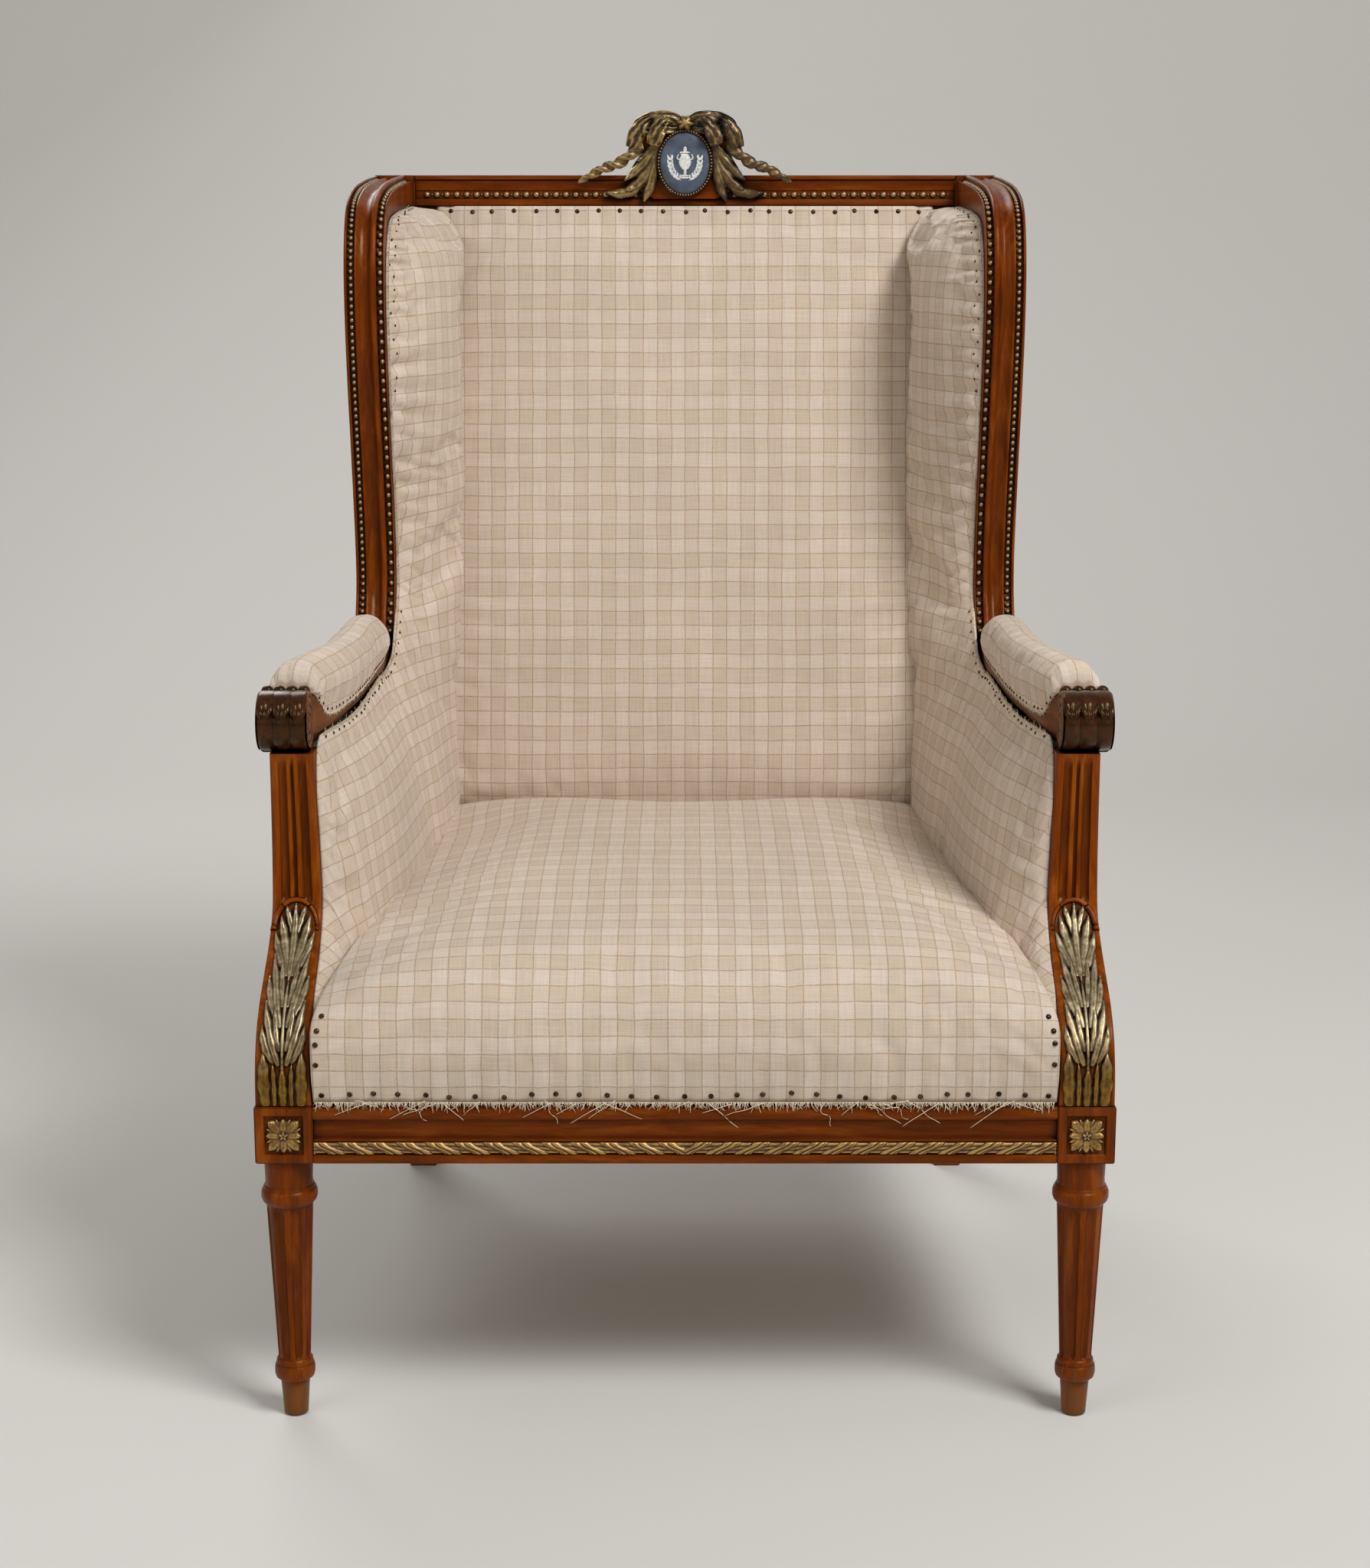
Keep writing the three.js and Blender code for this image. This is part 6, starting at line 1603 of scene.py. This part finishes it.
def outer_arm_place(side, u, v, deep):
    s = lerp(post_at(post_share(ARM_TOP - ARM_THICKNESS))[1] + GAP, stile_front(ARM_TOP) - GAP, u)
    top = ARM_TOP - arm_depth((s - SCROLL_S) / (STILE_SEAT_S - SCROLL_S)) - GAP
    z = lerp(RAIL_TOP + GAP, top, v)
    s = lerp(post_at(post_share(z))[1] + GAP, stile_front(z) - GAP, u)
    low, high = side_rail_x(s) - TACK_SETBACK, arm_middle(s) + arm_width(s) * 0.36
    edge = math.sin(math.pi * u) * math.sin(math.pi * v)
    slack = 1.6 * ripple(u * 4.0, v * 3.0, 61 + side) * edge - 2.4 * edge
    return at(side * (lerp(low, high, v) + slack - deep), s, z)


def outer_wing_place(side, stations, u, v, deep):
    k = lerp(0.11, 0.97, u) * (len(stations) - 1)
    place, out = stations[int(k)]
    after = stations[min(int(k) + 1, len(stations) - 1)]
    place, out = place.lerp(after[0], k % 1), out.lerp(after[1], k % 1).normalized()
    rim = place - out * (WING_DEPTH + 4 * GAP)
    z = min(rim.z, lerp(ARM_TOP + GAP, rim.z, ease(u, 0, 0.08)))
    s = lerp(rim.y, max(stile_front(z) - GAP, rim.y), v)
    x = lerp(wing_outer(rim.y), stile_inner(z) + STILE_WIDTH, v) - TACK_SETBACK
    slack = 1.8 * math.sin(math.pi * u) * math.sin(math.pi * v) * (ripple(u * 6.0, v * 2.0, 67 + side) - 0.8)
    return at(side * (x + slack - deep), s, z)


def outer_back_place(u, v, deep):
    z = lerp(FRAME_BOTTOM + TACK_LIP, STILE_TOP - TACK_LIP, v)
    edge = math.sin(math.pi * u) ** 0.6 * math.sin(math.pi * v) ** 0.6
    slack = 3.0 * ripple(u * 3.0, v * 4.0, 71) * edge
    x = lerp(-1, 1, u) * (stile_inner(z) + STILE_WIDTH / 2)
    return at(x, stile_front(max(z, FRAME_BOTTOM)) + STILE_DEPTH + GAP + min(slack, 1.0) * edge + deep, z)


def finished_sheet(name, columns, rows, place, axis, node):
    """A thin closed cloth from a function of two shares and a depth, in place of its CAD node.

    axis is 0 where the cloth lies across the chair and 1 where it runs from front to back.
    """
    points, faces = quilt(columns, rows, lambda u, v: place(u, v, 0.0), lambda u, v: place(u, v, SHEET))
    piece = new_piece(name, (points, faces), "check_linen", node=node)
    cloth = [(p[axis] / MM, p.z / MM) for p in points]
    lay_cloth(piece, cloth)
    flat = [(max(values) - min(values)) * MM + 0.02 for values in zip(*cloth)]


def edge_nails(place, out, pitch, inset_u, inset_v):
    """Nails round a sheet of two shares, set in from its edges."""
    low_u, high_u, low_v, high_v = inset_u, 1 - inset_u, inset_v, 1 - inset_v
    corners = ((low_u, low_v), (high_u, low_v), (high_u, high_v), (low_u, high_v), (low_u, low_v))
    line = []
    for (u0, v0), (u1, v1) in zip(corners, corners[1:]):
        line += [place(lerp(u0, u1, k / 60), lerp(v0, v1, k / 60), 0.0) for k in range(60)]
    line.append(line[0].copy())
    return [(p + out * 0.2 * MM, out) for p, _ in along_path(line, pitch)][:-1]


def fine_copy(name, node, material, relief):
    """A fine-meshed padded piece with the form of a CAD node, raised by relief(point) in millimetres."""
    made = bmesh.new()
    made.from_mesh(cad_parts[node].data)
    for _ in range(9):
        bmesh.ops.triangulate(made, faces=made.faces[:])
        long = [edge for edge in made.edges if edge.calc_length() > 7.0 * MM]
        if not long:
            break
        bmesh.ops.subdivide_edges(made, edges=long, cuts=1)
    bmesh.ops.triangulate(made, faces=made.faces[:])
    made.normal_update()
    for vert in made.verts:
        vert.co = vert.co + vert.normal * relief(vert.co) * MM
    new_piece(name, mesh_parts(made), material, 50, node)


def hessian_z(x, s):
    u = clamp(x / (side_rail_x(s) - RAIL_THICKNESS), -1, 1)
    v = clamp(lerp(-1, 1, (s - RAIL_THICKNESS) / (STILE_SEAT_S - RAIL_THICKNESS)), -1, 1)
    return RAIL_TOP + GAP + HESSIAN_RISE * (1 - u**4) * (1 - v**4)


def coil_spring(x, s):
    """A waisted spring of round wire, its last turn knotted flat at each end."""
    wire, turns, waist, mouth = 1.85, 3, 26.0, 40.0
    bottom = FRAME_BOTTOM + wire
    top = min(hessian_z(x + mouth, s), hessian_z(x, s - mouth)) - wire - 1.8

    def place(share, turn):
        angle = 2 * math.pi * turns * share
        out = lerp(waist, mouth, (2 * share - 1) ** 2) + wire * math.cos(turn)
        z = lerp(bottom, top, share) + wire * math.sin(turn)
        return x + out * math.cos(angle), s + out * math.sin(angle), z

    return sweep(evenly(turns * 36), round_turn(10), place)


def settle(piece, held, cap, spare, pressure):
    """Let a pad's cloth swell and wrinkle between its nails, with Blender's cloth and no gravity.

    held gives each point's hold from 0 to 1, cap is the most that a point may move in millimetres, and
    spare is how much longer the cloth is than the form that it covers.
    """
    scene = bpy.context.scene
    mesh = piece.data
    group = piece.vertex_groups.new(name="nailed")
    for index, hold in enumerate(held):
        if hold > 0:
            group.add([index], hold, "REPLACE")
    cloth = piece.modifiers.new("linen", "CLOTH")
    rules = cloth.settings
    rules.quality = 5
    rules.mass = 0.2
    rules.tension_stiffness = rules.compression_stiffness = 18.0
    rules.shear_stiffness, rules.bending_stiffness = 6.0, 0.4
    rules.use_pressure, rules.uniform_pressure_force = True, pressure
    rules.shrink_min = -spare
    rules.vertex_group_mass = group.name
    rules.effector_weights.gravity = 0.0
    cloth.collision_settings.use_collision = False
    cloth.point_cache.frame_start, cloth.point_cache.frame_end = 1, 20
    for number in range(1, 21):
        scene.frame_set(number)
    settled = piece.evaluated_get(bpy.context.evaluated_depsgraph_get()).data
    ends = [vert.co.copy() for vert in settled.vertices]
    piece.modifiers.remove(cloth)
    piece.vertex_groups.remove(group)
    scene.frame_set(1)
    limit = cap * MM
    for vert, end in zip(mesh.vertices, ends):
        step = end - vert.co
        if step.length > 0:
            vert.co = vert.co + step.normalized() * limit * math.tanh(step.length / limit)
    mesh.update()


class BERGERE_OT_seat(bpy.types.Operator):
    """Make the stuffed seat, and nail its check cover along the front with a frayed edge"""

    bl_idname = "bergere.seat"
    bl_label = "Seat"

    def execute(self, context):
        settings = context.scene.bergere
        rings, cloth = seat_rings()
        count = len(rings[0])
        cover = cloth_piece("seat_cover", loft(rings), cloth, "seat_cushion")
        held = []
        for c in range(len(rings)):
            rim = min(c, len(rings) - 1 - c)
            for i in range(count):
                hold = 1.0 if i > count - 12 or rim < 2 else 0.92 * math.exp(-i / 3.5)
                held.append(max(hold, 0.9 * math.exp(-rim / 4.0)))
        settle(cover, held, 6.0, 0.012, 3.0)
        places = front_nail_places(surface_of(cover), settings.nail_pitch)
        new_piece("seat_nails", nail_heads(places, settings.nail_size), "nails")
        new_piece("seat_fringe", front_fringe(), "linen_yarn")
        return {"FINISHED"}


class BERGERE_OT_back(bpy.types.Operator):
    """Make the padded back, and nail its cover under the top rail"""

    bl_idname = "bergere.back"
    bl_label = "Back"

    def execute(self, context):
        settings = context.scene.bergere
        columns, rows = BACK_STEPS
        shape, cloth = back_pad_shape()
        cover = cloth_piece("back_cover", shape, cloth, "back_pad")
        rims = [min(c, columns - c, r, rows - r) for c in range(columns + 1) for r in range(rows + 1)]
        held = [math.exp(-rim / 3.0) for rim in rims]
        settle(cover, held + [1.0] * len(held), 5.0, 0.008, 2.0)
        places = back_nail_places(surface_of(cover), settings.nail_pitch)
        new_piece("back_nails", nail_heads(places, settings.nail_size), "nails")
        return {"FINISHED"}


def pleat_wing(cover, side):
    """Draw a side's settled cloth into short pleats, 18 mm apart, between the nails of the wing's bend."""
    along, deep = SIDE_STEPS
    points = cover.data.vertices
    for i in range(along + 1):
        share = i / along
        gathered = ease(share, 0.57, 0.66) * (1 - ease(share, 0.9, 0.95))
        edge = points[i * (deep + 5)].co.copy()
        beat = share * SIDE_EDGE_LENGTH / PLEAT_PITCH + 0.5 * ripple(share * SIDE_EDGE_LENGTH / 30.0, 0.0, 5 + side)
        valley = (1 - abs(math.sin(math.pi * beat))) ** 1.5 * (0.65 + 0.35 * ripple(beat, 0.0, 41 + side))
        for k in range(1, deep if gathered > 0 else 0):
            point = points[i * (deep + 5) + k]
            into = (point.co - edge).length / MM
            lift = gathered * (1.8 - 7.5 * valley) * math.exp(-into / 15.0) * ease(into, 1.0, 6.0)
            point.co.x -= side * lift * MM


def trim(kind, word, yarns, heads, size):
    """The loose yarns and the tacks along the edges of a side's or an arm's cover."""
    new_piece(f"{kind}_yarns_{word}", gather(yarns), "linen_yarn")
    new_piece(f"{kind}_tacks_{word}", nail_heads(heads, size), "nails")


class BERGERE_OT_sides(bpy.types.Operator):
    """Make the padded insides of the arms and wings, tacked to the frame with frayed edges"""

    bl_idname = "bergere.sides"
    bl_label = "Sides"

    def execute(self, context):
        along, deep = SIDE_STEPS
        for word, side in SIDES:
            shape, cloth = side_pad_shape(side)
            cover = cloth_piece(f"side_cover_{word}", shape, cloth, f"side_pad_{word}")
            held = []
            for i in range(along + 1):
                for k in range(deep + 5):
                    rim = min(k, 2 * (deep - k)) if k <= deep else 0
                    held.append(max(math.exp(-((rim / 9.0) ** 2)), math.exp(-min(i, along - i) / 4.0)))
            settle(cover, held, 7.0, 0.03, 2.5)
            pleat_wing(cover, side)
            trim("side", word, *side_trim(side), 0.0026)
        return {"FINISHED"}


class BERGERE_OT_arm_pads(bpy.types.Operator):
    """Make the stuffed pads on the arms, with pleated fronts and tacked skirts"""

    bl_idname = "bergere.arm_pads"
    bl_label = "Arm Pads"

    def execute(self, context):
        for word, side in SIDES:
            rings, cloth = arm_pad_rings(side)
            cover = cloth_piece(f"arm_cover_{word}", loft(rings), cloth, f"arm_pad_{word}")
            held = []
            for i in range(len(rings)):
                for k in range(len(rings[0])):
                    rim = min(k, ARM_PAD_AROUND - k) if k <= ARM_PAD_AROUND else 0
                    held.append(max(math.exp(-rim / 3.0), math.exp(-min(i, len(rings) - 1 - i) / 4.0)))
            settle(cover, held, 4.0, 0.02, 4.0)
            trim("arm", word, *arm_trim(side), 0.0024)
        return {"FINISHED"}


class BERGERE_OT_outside(bpy.types.Operator):
    """Close the outside of the arms, wings and back with nailed cloth"""

    bl_idname = "bergere.outside"
    bl_label = "Outside Covers"

    def execute(self, context):
        settings = context.scene.bergere
        heads = []
        for word, side in SIDES:
            for kind, rail, place, columns, rows, inset in (
                ("arm", "seat_rail", partial(outer_arm_place, side), 90, 60, 0.03),
                ("wing", "wing_frame", partial(outer_wing_place, side, wing_stations(side, 300)), 120, 40, 0.06),
            ):
                node = f"outer_{kind}_cover_{word}"
                finished_sheet(f"outside_{kind}_{word}", columns, rows, place, 1, node)
                heads += edge_nails(place, Vector((side, 0, 0)), settings.nail_pitch, 0.02, inset)
        finished_sheet("outside_back", 80, 110, outer_back_place, 0, "outer_back_cover")

        def over(u, v, deep):
            return outer_back_place(u, v, SHEET)

        heads += edge_nails(over, Vector((0, 1, 0)), settings.nail_pitch, 0.014, 0.01)
        new_piece("outside_nails", nail_heads(heads, settings.nail_size), "nails")
        return {"FINISHED"}


class BERGERE_OT_springing(bpy.types.Operator):
    """Make the webbing, hessian and springs that carry the pads"""

    bl_idname = "bergere.springing"
    bl_label = "Springing"

    def execute(self, context):
        for node in ("seat_webbing", "back_webbing"):
            fine_copy(f"woven_{node}", node, "webbing", lambda p: 0.12 + 0.25 * noise.noise(p * 400.0))

        def sacking(p):
            return 0.35 + 1.2 * noise.noise(p * 24.0) + 0.3 * noise.noise(p * 90.0)

        fine_copy("sacking_over_springs", "seat_hessian", "jute", sacking)
        for k in range(9):
            shape = coil_spring((k % 3 - 1) * 150.0, 160.0 + k // 3 * 150.0)
            new_piece(f"wire_spring_{k + 1}", shape, "spring_wire", node=f"seat_spring_{k + 1}")
        return {"FINISHED"}


class BERGERE_OT_joinery(bpy.types.Operator):
    """Turn the legs and carve the posts, arms, wings and rails"""

    bl_idname = "bergere.joinery"
    bl_label = "Carved Frame"

    def execute(self, context):
        for word, side in SIDES:
            for name, shape, node, grain, sharp in (
                ("turned_leg", gather([turned_leg(side), panelled_block(side)]), "front_leg", "walnut_z", 38),
                ("swept_post", arm_post(side), "arm_post", "post_walnut", 45),
                ("arm_rail", arm_rail(side), "arm", "cheek_walnut", 40),
                ("wing_moulding", wing_moulding(side), "wing_frame", "walnut_z", 42),
            ):
                new_piece(f"{name}_{word}", shape, grain, sharp, f"{node}_{word}")
            scroll = new_piece(f"arm_scroll_{word}", arm_scroll(side), "scroll_walnut", 40)
            scroll.data.materials.append(finish("cheek_walnut"))
            for face in scroll.data.polygons:
                aside = abs(abs(face.center.x) / MM - SCROLL_X)
                face.material_index = int(aside > SCROLL_WIDTH / 2 - 0.4 and face.center.z / MM < SCROLL_Z + 29)
            for name, shape, gold in (
                ("post_leaf", post_leaf(side), "leaf_gilding"),
                ("rosette_front", rosette(side, False), "gilding"),
                ("rosette_side", rosette(side, True), "gilding"),
                ("wing_beads", wing_beads(side), "bead_gilding"),
            ):
                new_piece(f"{name}_{word}", shape, gold, 60)
        new_piece("front_rail_moulding", front_rail(), "walnut_x", 38, "seat_rail_front")
        new_piece("top_rail_moulding", top_moulding(), "walnut_x", 38, "top_rail")
        new_piece("gilt_ribbon", gilt_ribbon(), "gilding", 60)
        new_piece("top_rail_beads", top_beads(), "bead_gilding")
        return {"FINISHED"}


class BERGERE_OT_crest(bpy.types.Operator):
    """Carve the bow, tails and leaves of the crest, and set the plaque in its beaded rim"""

    bl_idname = "bergere.crest"
    bl_label = "Crest"

    def execute(self, context):
        new_piece("crest_ground", crest_ground(), "walnut_x", 50, slot="gilded_carving")
        parts = [crest_knot()]
        for _, side in SIDES:
            parts += [strap(side, rows, 44, 1.5, 0.7) for rows in BOW_STRAPS]
            parts += [twisted_tail(side), crest_leaf(side)]
        new_piece("crest_bow", gather(parts), "dark_gilding", 70, "crest_carving")
        new_piece("bezel_rim", bezel_ring(), "scroll_walnut", 50, "plaque_bezel", "gilded_carving")
        new_piece("bezel_beads", bezel_beads(), "bead_gilding")
        new_piece("blue_plaque", plaque_body(), "jasper_blue", 50, "plaque")
        new_piece("white_relief", plaque_relief(), "jasper_white", 70)
        return {"FINISHED"}


# How a node's name starts, and the finish of its solid where it shows
NODE_FINISHES = (
    (("seat_rail_front", "top_rail"), "walnut_x"),
    (("seat_rail_left", "seat_rail_right", "arm_left", "arm_right"), "walnut_y"),
    (("front_leg", "back_leg", "arm_post", "wing_frame"), "walnut_z"),
    (("crest", "plaque_bezel"), "gilding"),
    ("plaque", "jasper_blue"),
    ("seat_spring", "nails"),
    (("seat_webbing", "back_webbing", "seat_hessian", "outer_"), "jute"),
    ("", "beech"),
)


class BERGERE_OT_frame(bpy.types.Operator):
    """Polish the carved and moulded frame, and finish the rails inside it"""

    bl_idname = "bergere.frame"
    bl_label = "Frame Finish"

    def execute(self, context):
        for name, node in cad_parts.items():
            node.data.materials.clear()
            node.data.materials.append(finish(next(made for start, made in NODE_FINISHES if name.startswith(start))))
        return {"FINISHED"}


class BERGERE_OT_stage(bpy.types.Operator):
    """Lay the pale floor and set the lamps and the camera"""

    bl_idname = "bergere.stage"
    bl_label = "Stage"

    def execute(self, context):
        scene = context.scene
        scene.view_settings.view_transform = "Standard"
        material, _, shader = start_material("pale studio floor")
        feed(shader, {"Base Color": linear("#D8D6D2"), "Roughness": 0.9})
        # The floor runs level to 2.2 m behind the chair and then sweeps up into a wall
        bend = [(2.2 + 1.2 * math.sin(turn), 1.2 * (1 - math.cos(turn))) for turn in evenly(12, 0, math.pi / 2)]
        outline = [(-30.0, 0.0), *bend, (3.4, 30.0)]
        points = [(x, y, z) for x in (-30.0, 30.0) for y, z in outline]
        count = len(outline)
        mesh = bpy.data.meshes.new("floor")
        mesh.from_pydata(points, [], [(i, i + 1, i + 1 + count, i + count) for i in range(count - 1)])
        mesh.shade_smooth()
        mesh.materials.append(material)
        floor = bpy.data.objects.new("floor", mesh)
        scene.world = bpy.data.worlds.new("studio")
        scene.world.use_nodes = True
        feed(scene.world.node_tree.nodes["Background"], {"Color": linear("#F3F0EC"), "Strength": 0.36})
        placed = [floor]
        for name, place, target, size, watts in (
            ("key lamp", (1.7, -2.0, 3.3), 0.6, 1.3, 108.0),
            ("fill lamp", (-2.6, -2.4, 2.1), 0.5, 2.2, 20.0),
            ("rear lamp", (-1.2, 2.4, 2.6), 0.8, 1.6, 30.0),
        ):
            light = bpy.data.lights.new(name, "AREA")
            light.shape, light.size, light.energy = "SQUARE", size, watts
            lamp = bpy.data.objects.new(name, light)
            lamp.location = place
            aim = Vector((0.0, 0.0, target)) - Vector(place)
            lamp.rotation_euler = aim.to_track_quat("-Z", "Y").to_euler()
            placed.append(lamp)
        camera = bpy.data.cameras.new("photograph")
        camera.sensor_fit = "VERTICAL"
        camera.sensor_height = 36.0
        camera.lens = FOCAL_PIXELS / FRAME_PIXELS * camera.sensor_height
        eye = bpy.data.objects.new("photograph", camera)
        eye.location = (0.0, FRONT_Y - 2.1, 0.9985)
        eye.rotation_euler = (math.radians(90.0 - CAMERA_TILT), 0.0, 0.0)
        for thing in placed + [eye]:
            scene.collection.objects.link(thing)
        scene.camera = eye
        return {"FINISHED"}


def length(name, description, default):
    return FloatProperty(name=name, description=description, default=default, unit="LENGTH")


def linen_tone(name, description, default):
    tone = {"size": 3, "subtype": "COLOR_GAMMA", "min": 0, "max": 1}
    return FloatVectorProperty(name=name, description=description, default=default, **tone)


class BergereSettings(bpy.types.PropertyGroup):
    """Sizes and colours of the chair's upholstery and trim"""

    check_width: length("Check Width", "Width of one square of the check", 0.0139)
    check_height: length("Check Height", "Height of one square of the check", 0.0144)
    thread_pitch: length("Thread Pitch", "Spacing of the drawn threads", 0.0012)
    linen_pale: linen_tone("Pale Linen", "Colour of the pale squares", (0.85, 0.79, 0.725))
    linen_dark: linen_tone("Dark Linen", "Colour of the darker squares", (0.803, 0.735, 0.65))
    line_colour: linen_tone("Line", "Colour of the thin threads of the check", (0.58, 0.42, 0.29))
    nail_pitch: length("Nail Pitch", "Spacing of the nails", 0.0214)
    nail_size: length("Nail Head", "Diameter of a nail's head", 0.0047)


OPERATORS = [
    BERGERE_OT_frame, BERGERE_OT_joinery, BERGERE_OT_crest, BERGERE_OT_seat, BERGERE_OT_back, BERGERE_OT_sides,
    BERGERE_OT_arm_pads, BERGERE_OT_outside, BERGERE_OT_springing, BERGERE_OT_stage,
]


class BERGERE_PT_panel(bpy.types.Panel):
    """The chair's sizes, colours and pieces"""

    bl_idname = "BERGERE_PT_panel"
    bl_label = "Wing Bergere"
    bl_space_type = "VIEW_3D"
    bl_region_type = "UI"
    bl_category = "Bergere"

    def draw(self, context):
        layout = self.layout
        settings = context.scene.bergere
        for name in settings.bl_rna.properties.keys():
            if name not in ("rna_type", "name"):
                layout.prop(settings, name)
        for operator in OPERATORS:
            layout.operator(operator.bl_idname)


CLASSES = [BergereSettings, *OPERATORS, BERGERE_PT_panel]


def register():
    for cls in CLASSES:
        bpy.utils.register_class(cls)
    bpy.types.Scene.bergere = PointerProperty(type=BergereSettings)


def unregister():
    del bpy.types.Scene.bergere
    for cls in reversed(CLASSES):
        bpy.utils.unregister_class(cls)


def main():
    register()
    for operator in OPERATORS:
        group, name = operator.bl_idname.split(".")
        getattr(getattr(bpy.ops, group), name)()


if __name__ == "__main__":
    main()
